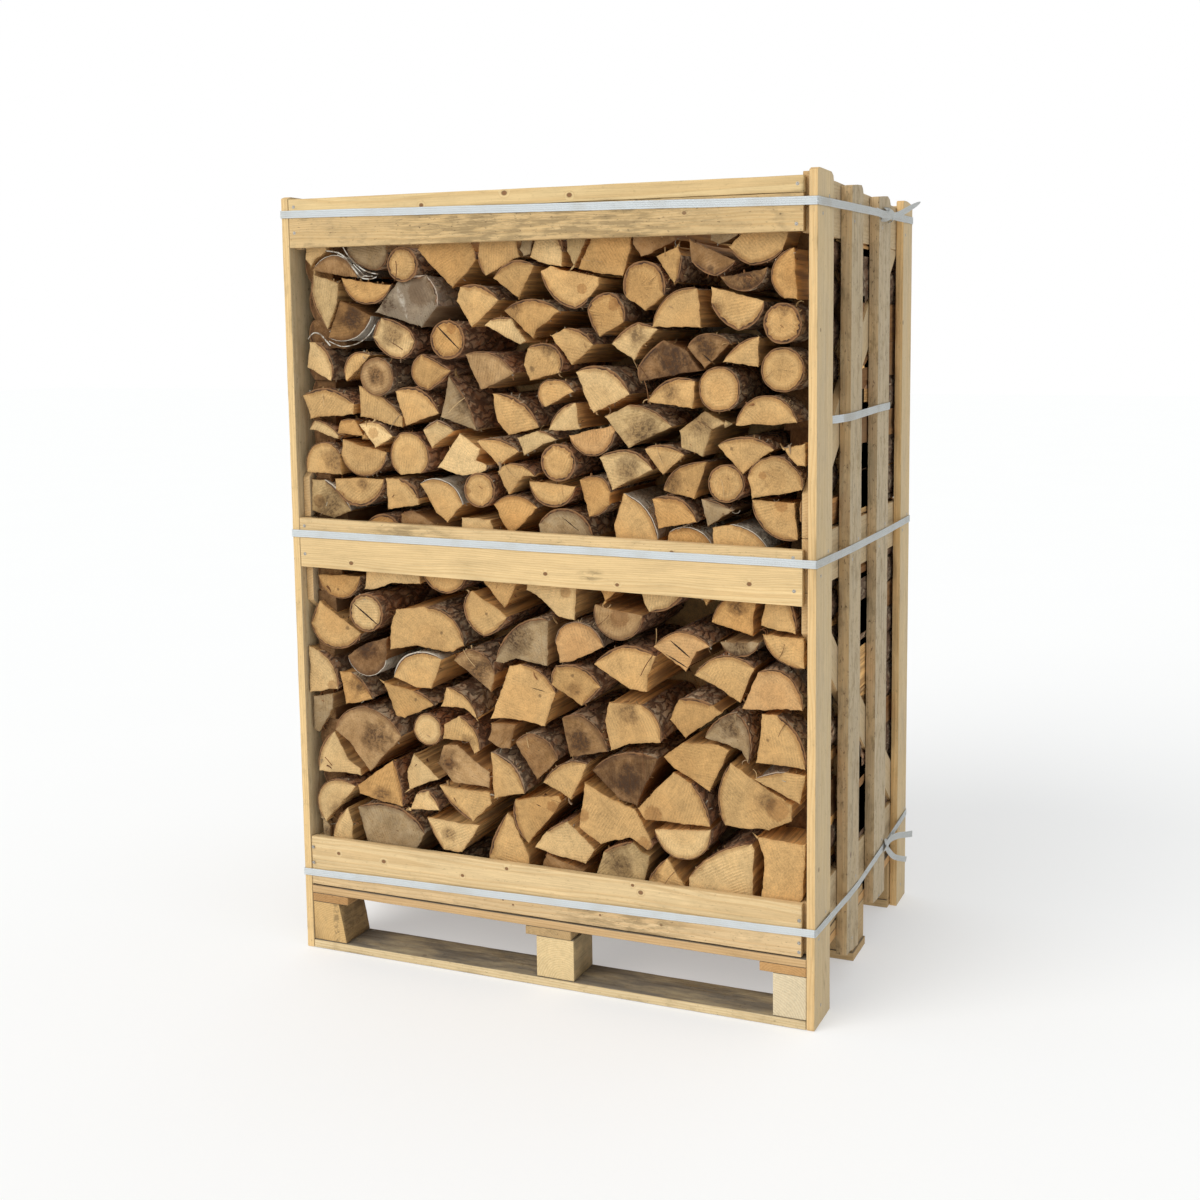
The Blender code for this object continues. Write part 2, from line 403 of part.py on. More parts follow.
def join_with(item, addition):
    """Join a second solid to an object by an exact boolean, and remove the second one."""
    addition.hide_render = True
    addition.display_type = "WIRE"
    modifier = item.modifiers.new("join", "BOOLEAN")
    modifier.operation = "UNION"
    modifier.solver = "EXACT"
    modifier.use_self = True
    modifier.object = addition
    graph = bpy.context.evaluated_depsgraph_get()
    mesh = bpy.data.meshes.new_from_object(item.evaluated_get(graph))
    item.modifiers.clear()
    item.data = mesh
    bpy.data.objects.remove(addition, do_unlink=True)


def tidy(item):
    """Merge points that coincide, drop flat slivers and leave plain triangles."""
    work = bmesh.new()
    work.from_mesh(item.data)
    bmesh.ops.remove_doubles(work, verts=work.verts, dist=MERGE_DISTANCE)
    bmesh.ops.dissolve_degenerate(work, edges=work.edges, dist=MERGE_DISTANCE)
    bmesh.ops.dissolve_limit(work, angle_limit=0.002, verts=work.verts, edges=work.edges)
    bmesh.ops.triangulate(work, faces=work.faces)
    bmesh.ops.recalc_face_normals(work, faces=work.faces)
    work.to_mesh(item.data)
    work.free()


def arc_points(start, end, bulge, steps):
    """Return the points between two corners of an arc that bulges outwards by a part of its chord."""
    chord = math.dist(start, end)
    if steps < 1 or bulge <= 0.0:
        return []
    height = bulge * chord
    radius = (chord * chord / 4.0 + height * height) / (2.0 * height)
    direction = ((end[0] - start[0]) / chord, (end[1] - start[1]) / chord)
    outward = (direction[1], -direction[0])
    middle = ((start[0] + end[0]) / 2.0, (start[1] + end[1]) / 2.0)
    centre = (middle[0] + outward[0] * (height - radius), middle[1] + outward[1] * (height - radius))
    first = math.atan2(start[1] - centre[1], start[0] - centre[0])
    last = math.atan2(end[1] - centre[1], end[0] - centre[0])
    while last <= first:
        last += 2.0 * math.pi
    points = []
    for index in range(1, steps + 1):
        angle = first + (last - first) * index / (steps + 1)
        points.append((centre[0] + radius * math.cos(angle), centre[1] + radius * math.sin(angle)))
    return points


def squeezed(x):
    """Return where a measured place across the front lies, drawn together near the left side panel."""
    return x if x >= SQUEEZE_LEFT_OF else SQUEEZE_LEFT_OF + (x - SQUEEZE_LEFT_OF) * SQUEEZE_SHARE


def log_outline(corners, fineness):
    """Return the outline of one log end in metres, its bark sides cut into short straight pieces."""
    outline = []
    for index, corner in enumerate(corners):
        start = (corner[0], corner[1])
        following = corners[(index + 1) % len(corners)]
        end = (following[0], following[1])
        bulge = corner[2] if len(corner) > 2 else 0.0
        outline.append(start)
        steps = round(fineness * bulge * math.dist(start, end) ** 0.5 + LEAST_STEP)
        outline += arc_points(start, end, bulge, steps)
    return [(squeezed(x) / 100.0, z / 100.0) for x, z in outline]


def inset(outline, distance):
    """Draw an outline together by moving each corner towards the inside along its bisector."""
    moved = []
    count = len(outline)
    sharpest = 0.6
    for index, point in enumerate(outline):
        before = outline[index - 1]
        after = outline[(index + 1) % count]
        first = math.dist(before, point)
        second = math.dist(point, after)
        normal_in = (-(point[1] - before[1]) / first, (point[0] - before[0]) / first)
        normal_out = (-(after[1] - point[1]) / second, (after[0] - point[0]) / second)
        bisector = (normal_in[0] + normal_out[0], normal_in[1] + normal_out[1])
        length = max(sharpest, math.hypot(bisector[0], bisector[1]))
        scale = distance * 2.0 / (length * length)
        moved.append((point[0] + bisector[0] * scale, point[1] + bisector[1] * scale))
    return moved


def narrow_zones(start, end):
    """Return the heights where rails or braces stand inside the slats, between two depths of the crate."""
    zones = list(RAIL_HEIGHTS.values())
    for brace in (UPPER_BRACE, LOWER_BRACE):
        heights = [brace[edge] + brace["slope"] * depth for edge in ("low", "high") for depth in (start, end)]
        zones.append((min(heights), max(heights)))
    return [(low - ZONE_MARGIN, high + ZONE_MARGIN) for low, high in zones]


def side_limit(low, high, zones):
    """Return how far logs may reach sideways between two heights: to the slats, or to rails and braces."""
    if any(zone[0] < high and zone[1] > low for zone in zones):
        return RAIL_INNER_X - RAIL_CLEARANCE
    return SLAT_INNER_X - SLAT_CLEARANCE


def held_between_sides(outline, zones):
    """Keep an outline between the side panels."""
    limit = side_limit(min(z for _, z in outline), max(z for _, z in outline), zones)
    return [(max(-limit, min(limit, x)), z) for x, z in outline]


def row_silhouette(outlines, zones):
    """Return the outline of a whole row: its sides follow the outermost logs at each height."""
    step = 0.030
    reach_height = 0.035
    overlap = 0.004
    deepest_notch = 0.022
    heights = [STACK_BOTTOM_Z + step * index for index in range(int((STACK_TOP_Z - STACK_BOTTOM_Z) / step))]
    heights += [STACK_TOP_Z]
    for low, high in zones:
        heights += [low + 0.001, high - 0.001]
    heights = sorted(height for height in heights if STACK_BOTTOM_Z <= height <= STACK_TOP_Z)
    right = []
    left = []
    for height in heights:
        reach = {1: 0.0, -1: 0.0}
        for outline in outlines:
            if min(z for _, z in outline) - overlap < height < max(z for _, z in outline) + overlap:
                for x, z in outline:
                    if abs(z - height) < reach_height:
                        reach[1] = max(reach[1], x)
                        reach[-1] = max(reach[-1], -x)
        limit = side_limit(height, height, zones)
        right.append((min(limit, max(reach[1], limit - deepest_notch)), height))
        left.append((-min(limit, max(reach[-1], limit - deepest_notch)), height))
    return right + row_top(right[-1][0], left[-1][0]) + list(reversed(left))


def row_top(right_x, left_x):
    """Return the bumpy top line of a row, from its right side to its left side."""
    top = []
    crest = 0.018
    dip = -0.004
    wave = 0.008
    for index in range(1, TOP_BUMPS):
        x = right_x + (left_x - right_x) * index / TOP_BUMPS
        top.append((x, STACK_TOP_Z + (crest if index % 2 else dip) + wave * math.sin(2.3 * index)))
    return top


def hidden_by_band(outline):
    """Tell whether a log end reaches behind one of the bands of boards."""
    low = min(z for _, z in outline)
    high = max(z for _, z in outline)
    return any(low < band[1] and high > band[0] for band in BAND_ZONES)


def front_outlines(fineness):
    """Return the outlines of the front's log ends."""
    return [log_outline(corners, fineness) for corners in LOG_ENDS]


def back_outlines(fineness):
    """Return the outlines of the back's log ends: the front's two halves exchanged."""
    outlines = []
    for outline in front_outlines(fineness):
        middle = sum(z for _, z in outline) / len(outline)
        shift = HALF_SHIFT if middle < HALF_SPLIT_Z else -HALF_SHIFT
        outlines.append([(x, z + shift) for x, z in outline])
    return outlines


def log_ends(outlines, face_y, outward):
    """Make all log ends of one row as prisms in one object: they stand out of the row past its face."""
    vertices = []
    faces = []
    depths = sorted((face_y + outward * 0.006, face_y - outward * (END_RELIEF + 0.016)))
    zones = narrow_zones(depths[0], depths[1])
    for index, outline in enumerate(outlines):
        shape = held_between_sides(inset(outline, END_INSET), zones)
        if hidden_by_band(outline):
            tip = face_y - outward * BAND_SETBACK
        else:
            tip = face_y + outward * (END_STAND_OUT + END_STAND_OUT_RANGE * ((index * 7) % 5) / 4.0)
        root = face_y - outward * (END_RELIEF + ROOT_DEPTH + ROOT_STEP * (index % 9))
        more_vertices, more_faces = prism_mesh("y", tip, root, shape, len(vertices))
        vertices += more_vertices
        faces += more_faces
    return add_object("log_ends", "split_logs", vertices, faces)


def log_row(row, outlines, with_ends):
    """Make one row of logs: a block with the row's silhouette and its log ends standing out of it."""
    start, end = LOG_ROWS[row]
    name = "firewood_row_" + row
    silhouette = row_silhouette(outlines, narrow_zones(start, end))
    front_relief = END_RELIEF if row == "front" else 0.0
    back_relief = END_RELIEF if row == "back" else 0.0
    block = prism(name, "split_logs", "y", start + front_relief, end - back_relief, silhouette)
    if with_ends:
        outward = -1.0 if row == "front" else 1.0
        join_with(block, log_ends(outlines, start if row == "front" else end, outward))
        tidy(block)
    return block


def build_pallet():
    """Make the runners, blocks, stringers and deck boards."""
    for name, depths in PALLET_ROWS.items():
        reach = MIDDLE_RUNNER_REACH if name == "middle" else CORNER_X
        box("pallet_runner_" + name, "pallet_boards", (-reach, reach), depths, (0.0, RUNNER_TOP_Z))
    low = RUNNER_TOP_Z + GAP
    high = BLOCK_TOP_Z
    for row, (start, end) in PALLET_ROWS.items():
        for column, (left, right) in BLOCK_COLUMNS.items():
            shifts = WANEY_SHIFTS if column == "left" else (0.0, 0.0, 0.0)
            outline = [(left, low), (right + shifts[0], low), (right + shifts[1], (low + high) / 2.0),
                       (right + shifts[2], high), (left, high)]
            prism(f"pallet_block_{column}_{row}", "pallet_boards", "y", start + BLOCK_SETBACK,
                  end - BLOCK_SETBACK, outline)
    for name, widths in STRINGERS.items():
        box("pallet_stringer_" + name, "pallet_boards", widths,
            (FRONT_Y + STRINGER_SETBACK, BACK_Y - STRINGER_SETBACK), (BLOCK_TOP_Z + GAP, STRINGER_TOP_Z))
    for number, depths in enumerate(DECK_BOARDS, start=1):
        box(f"pallet_deck_board_{number}", "pallet_boards", (-CORNER_X, CORNER_X), depths,
            (STRINGER_TOP_Z + GAP, DECK_TOP_Z))


def keep_side(polygon, slope, level, sign):
    """Keep the part of a polygon above a sloping line (sign 1) or below it (sign -1)."""
    kept = []
    for index, current in enumerate(polygon):
        previous = polygon[index - 1]
        height_now = current[1] - level - slope * current[0]
        height_before = previous[1] - level - slope * previous[0]
        if (sign * height_now >= 0.0) != (sign * height_before >= 0.0):
            part = height_before / (height_before - height_now)
            kept.append((previous[0] + (current[0] - previous[0]) * part,
                         previous[1] + (current[1] - previous[1]) * part))
        if sign * height_now >= 0.0:
            kept.append(current)
    return kept


def brace_outline(brace, low_limit, high_limit):
    """Return a brace's outline, cut off at the two rails and at the rails' ends."""
    reach = RAIL_HALF_LENGTH
    field = [(-reach, low_limit), (reach, low_limit), (reach, high_limit), (-reach, high_limit)]
    above = keep_side(field, brace["slope"], brace["low"], 1.0)
    return keep_side(above, brace["slope"], brace["high"], -1.0)


def panel_outline(side, outline):
    """Return an outline of a side panel's board, with its top lowered on the left side."""
    drop = LEFT_TOPS_DROP if side == "left" else 0.0
    return [(y, z - drop if z > TOPS_FROM_Z else z) for y, z in outline]


def build_side_panels():
    """Make both side panels: slats outside, rails and braces behind them."""
    rails = RAIL_HEIGHTS
    braces = {
        "upper": brace_outline(UPPER_BRACE, rails["middle"][1] + GAP, rails["top"][0] - GAP),
        "lower": brace_outline(LOWER_BRACE, rails["bottom"][1] + GAP, rails["middle"][0] - GAP),
    }
    for side, sign in (("left", -1.0), ("right", 1.0)):
        inner = sign * SLAT_INNER_X
        for number, (outline, thickness) in enumerate(SLATS, start=1):
            prism(f"{side}_slat_{number}", "side_boards", "x", inner, inner + sign * thickness,
                  panel_outline(side, outline))
        outside = sign * CORNER_X
        inside = sign * RAIL_INNER_X
        for name, (low, high) in rails.items():
            rear = TOP_RAIL_REAR_Z if name == "top" else high
            outline = [(-RAIL_HALF_LENGTH, low), (RAIL_HALF_LENGTH, low), (RAIL_HALF_LENGTH, rear),
                       (-RAIL_HALF_LENGTH, high)]
            prism(f"{side}_rail_{name}", "side_boards", "x", inside, outside, panel_outline(side, outline))
        for name, outline in braces.items():
            prism(f"{side}_brace_{name}", "side_boards", "x", inside, outside, outline)


def build_bands():
    """Make the three bands of boards of the front and of the back, two boards each."""
    for face, outer, inward in (("front", FRONT_Y, 1.0), ("back", BACK_Y, -1.0)):
        inner = outer + inward * BAND_THICKNESS
        start = BAND_LEFT_X * inward
        end = BAND_RIGHT_X * inward
        for band, (at_start, at_end) in BANDS.items():
            lower = [(start, at_start[0]), (end, at_end[0]), (end, at_end[1] - GAP),
                     (start, at_start[1] - GAP)]
            upper = [(start, at_start[1]), (end, at_end[1]), (end, at_end[2]), (start, at_start[2])]
            setback = BOTTOM_BOARD_SETBACK if band == "bottom" else 0.0
            prism(f"{face}_band_{band}_lower_board", "front_boards", "y", outer, inner, lower)
            prism(f"{face}_band_{band}_upper_board", "front_boards", "y", outer + inward * setback, inner,
                  upper)


def band_layers(path, outer, heights, width):
    """Return the vertices of a flat band: four layers round its section at each point of its path."""
    vertices = []
    for layer, level in ((path, -0.5), (path, 0.5), (outer, 0.5), (outer, -0.5)):
        for index, point in enumerate(layer):
            vertices.append((point[0], point[1], heights[index] + level * width))
    return vertices


def band_faces(count, stretches):
    """Return the side faces of a flat band between the given pairs of neighbouring points."""
    faces = []
    for index, following in stretches:
        for layer in range(4):
            above = (layer + 1) % 4
            faces.append((layer * count + index, layer * count + following, above * count + following,
                          above * count + index))
    return faces


def strap_loop(name, right_heights, left_heights):
    """Make one strap: a thin flat band all round the crate, straight in height along its left side."""
    at_front, at_rear = left_heights
    path = STRAP_HALF_LOOP + [(-x, y) for x, y in reversed(STRAP_HALF_LOOP)]
    count = len(path)
    heights = list(right_heights)
    outer = []
    for x, y in path:
        if x < 0.0:
            part = (y - FRONT_Y) / (BACK_Y - FRONT_Y)
            heights.append(at_front + (at_rear - at_front) * part)
        depth_step = math.copysign(STRAP_THICKNESS, y) if abs(y) > abs(FRONT_Y) else 0.0
        outer.append((x + math.copysign(STRAP_THICKNESS, x), y + depth_step))
    stretches = [(index, (index + 1) % count) for index in range(count)]
    return add_object(name, "woven_strap", band_layers(path, outer, heights, STRAP_WIDTH),
                      band_faces(count, stretches))


def ribbon(name, path, heights, width, thickness):
    """Make a short open piece of strap along a path seen from above, with a height at each point."""
    count = len(path)
    outer = []
    for index, point in enumerate(path):
        before = path[max(0, index - 1)]
        after = path[min(count - 1, index + 1)]
        length = math.dist(before, after)
        outer.append((point[0] + (after[1] - before[1]) / length * thickness,
                      point[1] - (after[0] - before[0]) / length * thickness))
    faces = [tuple(layer * count for layer in range(4)),
             tuple(layer * count + count - 1 for layer in reversed(range(4)))]
    faces += band_faces(count, [(index, index + 1) for index in range(count - 1)])
    return add_object(name, "woven_strap", band_layers(path, outer, heights, width), faces)


def build_straps():
    """Make the three straps with their knots and short tails, and the short tie of the right side."""
    for name, (right_heights, left_heights) in STRAP_HEIGHTS.items():
        strap = strap_loop("strap_" + name, right_heights, left_heights)
        if name in KNOTS:
            join_with(strap, box("knot", "woven_strap", *KNOTS[name]))
            points, heights, width = TAILS[name]
            join_with(strap, ribbon("tail", points, heights, width, TAIL_THICKNESS))
            tidy(strap)
    ribbon("tie_right_slats", TIE_PATH, TIE_HEIGHTS, STRAP_WIDTH, STRAP_THICKNESS)


def build_logs():
    """Make the three rows of logs."""
    log_row("front", front_outlines(FRONT_FINENESS), True)
    log_row("middle", back_outlines(BACK_FINENESS), False)
    log_row("back", back_outlines(BACK_FINENESS), True)


def gather_under_empty():
    """Parent every piece to one empty at the origin, so that the crate moves as a whole."""
    pieces = list(bpy.context.scene.collection.objects)
    crate = bpy.data.objects.new("crate_of_firewood", None)
    bpy.context.scene.collection.objects.link(crate)
    for piece in pieces:
        piece.parent = crate


def main():
    """Build the whole crate."""
    clear_scene()
    build_pallet()
    build_side_panels()
    build_bands()
    build_logs()
    build_straps()
    gather_under_empty()


main()
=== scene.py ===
"""Looks of a crate of firewood: split logs, pine boards, pallet, woven straps, light and camera.

Everything is in metres in the crate's own frame, +Z up and the front towards -Y, unless a name says
otherwise. The fixed frame gives the boards' places; the logs repeat the outlines that the frame was made of.
"""

from __future__ import annotations

import logging
import math
from dataclasses import dataclass, replace
from enum import Enum, IntEnum
from typing import Iterable, Sequence

import bmesh
import bpy
import numpy as np
from mathutils import Matrix, Vector, noise
from mathutils.geometry import tessellate_polygon

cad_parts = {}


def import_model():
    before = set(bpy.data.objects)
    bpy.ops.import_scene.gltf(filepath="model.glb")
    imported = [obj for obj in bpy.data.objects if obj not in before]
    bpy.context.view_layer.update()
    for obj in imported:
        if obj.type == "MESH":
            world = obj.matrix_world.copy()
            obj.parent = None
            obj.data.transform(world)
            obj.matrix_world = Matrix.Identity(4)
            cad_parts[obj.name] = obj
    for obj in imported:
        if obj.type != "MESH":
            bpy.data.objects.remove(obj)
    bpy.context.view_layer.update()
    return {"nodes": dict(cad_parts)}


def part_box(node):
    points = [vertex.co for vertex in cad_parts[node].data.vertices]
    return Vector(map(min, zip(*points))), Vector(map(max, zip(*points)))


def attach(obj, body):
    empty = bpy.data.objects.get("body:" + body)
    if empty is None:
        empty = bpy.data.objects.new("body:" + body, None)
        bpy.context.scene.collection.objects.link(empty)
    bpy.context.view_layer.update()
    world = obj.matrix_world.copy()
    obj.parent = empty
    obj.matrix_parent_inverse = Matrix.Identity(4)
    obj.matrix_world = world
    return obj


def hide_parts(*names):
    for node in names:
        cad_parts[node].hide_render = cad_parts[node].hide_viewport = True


LOG = logging.getLogger("firewood")

Colour = tuple[float, float, float]
Point = tuple[float, float, float]
Flat = tuple[float, float]


def srgb(red: float, green: float, blue: float) -> Colour:
    """Turn a colour as seen on a screen, 0 to 255, into the linear colour that shaders use.

    Args:
        red: Red, 0 to 255.
        green: Green, 0 to 255.
        blue: Blue, 0 to 255.

    Returns:
        The linear colour, each part 0 to 1.
    """
    parts = []
    for value in (red, green, blue):
        share = value / 255.0
        parts.append(share / 12.92 if share <= 0.04045 else ((share + 0.055) / 1.055) ** 2.4)
    return (parts[0], parts[1], parts[2])


class Tone(Enum):
    """Colours of sawn log ends: the wood, and the amounts of stain and of weathering."""

    CREAM = (srgb(221, 188, 135), 0.06, 0.05)
    PALE = (srgb(210, 177, 125), 0.18, 0.14)
    HONEY = (srgb(201, 162, 107), 0.16, 0.06)
    AMBER = (srgb(186, 146, 92), 0.18, 0.06)
    STRAW = (srgb(188, 158, 110), 0.30, 0.18)
    PINK = (srgb(200, 157, 105), 0.14, 0.05)
    ORANGE = (srgb(196, 152, 94), 0.26, 0.07)
    TAN = (srgb(178, 142, 96), 0.42, 0.25)
    GREY = (srgb(166, 140, 102), 0.42, 0.50)
    BROWN = (srgb(152, 114, 70), 0.62, 0.22)
    DARK = (srgb(132, 96, 58), 0.90, 0.16)
    RUST = (srgb(136, 100, 58), 0.80, 0.04)
    SLATE = (srgb(150, 134, 114), 0.45, 0.90)


# A mark that a log end doesn't have lies here, in centimetres, far from every log.
NOWHERE = (900.0, 900.0, 0.5)
NO_CRACK = (900.0, 900.0, 901.0, 900.0, 0.1)


@dataclass(frozen=True)
class LogEnd:
    """One log as its sawn end shows it.

    Attributes:
        tone: Colour family of the wood.
        corners: Corners (x, z) or (x, z, bulge) in centimetres, anticlockwise seen from the front. A bulge
            makes the side that leaves the corner an arc of bark, as high as that part of its chord.
        knot: Place and radius of a knot.
        knot_two: Place and radius of a second knot.
        spot: Place and radius of a small dark spot.
        patch: Place and radius of a stained patch.
        cracks: Up to two cracks: both ends in centimetres and the width in millimetres.
        star: Strength of the fine cracks that run out from the pith; below 0 it marks a slim side log with
            painted shade.
        birch: How white and papery the bark is.
        streak: A pale soft streak, given like a crack.
    """

    tone: Tone
    corners: Sequence[tuple[float, ...]]
    knot: Point = NOWHERE
    knot_two: Point = NOWHERE
    spot: Point = NOWHERE
    patch: Point = NOWHERE
    cracks: tuple[tuple[float, ...], ...] = ()
    star: float = 0.0
    birch: float = 0.0
    streak: tuple[float, ...] = NO_CRACK


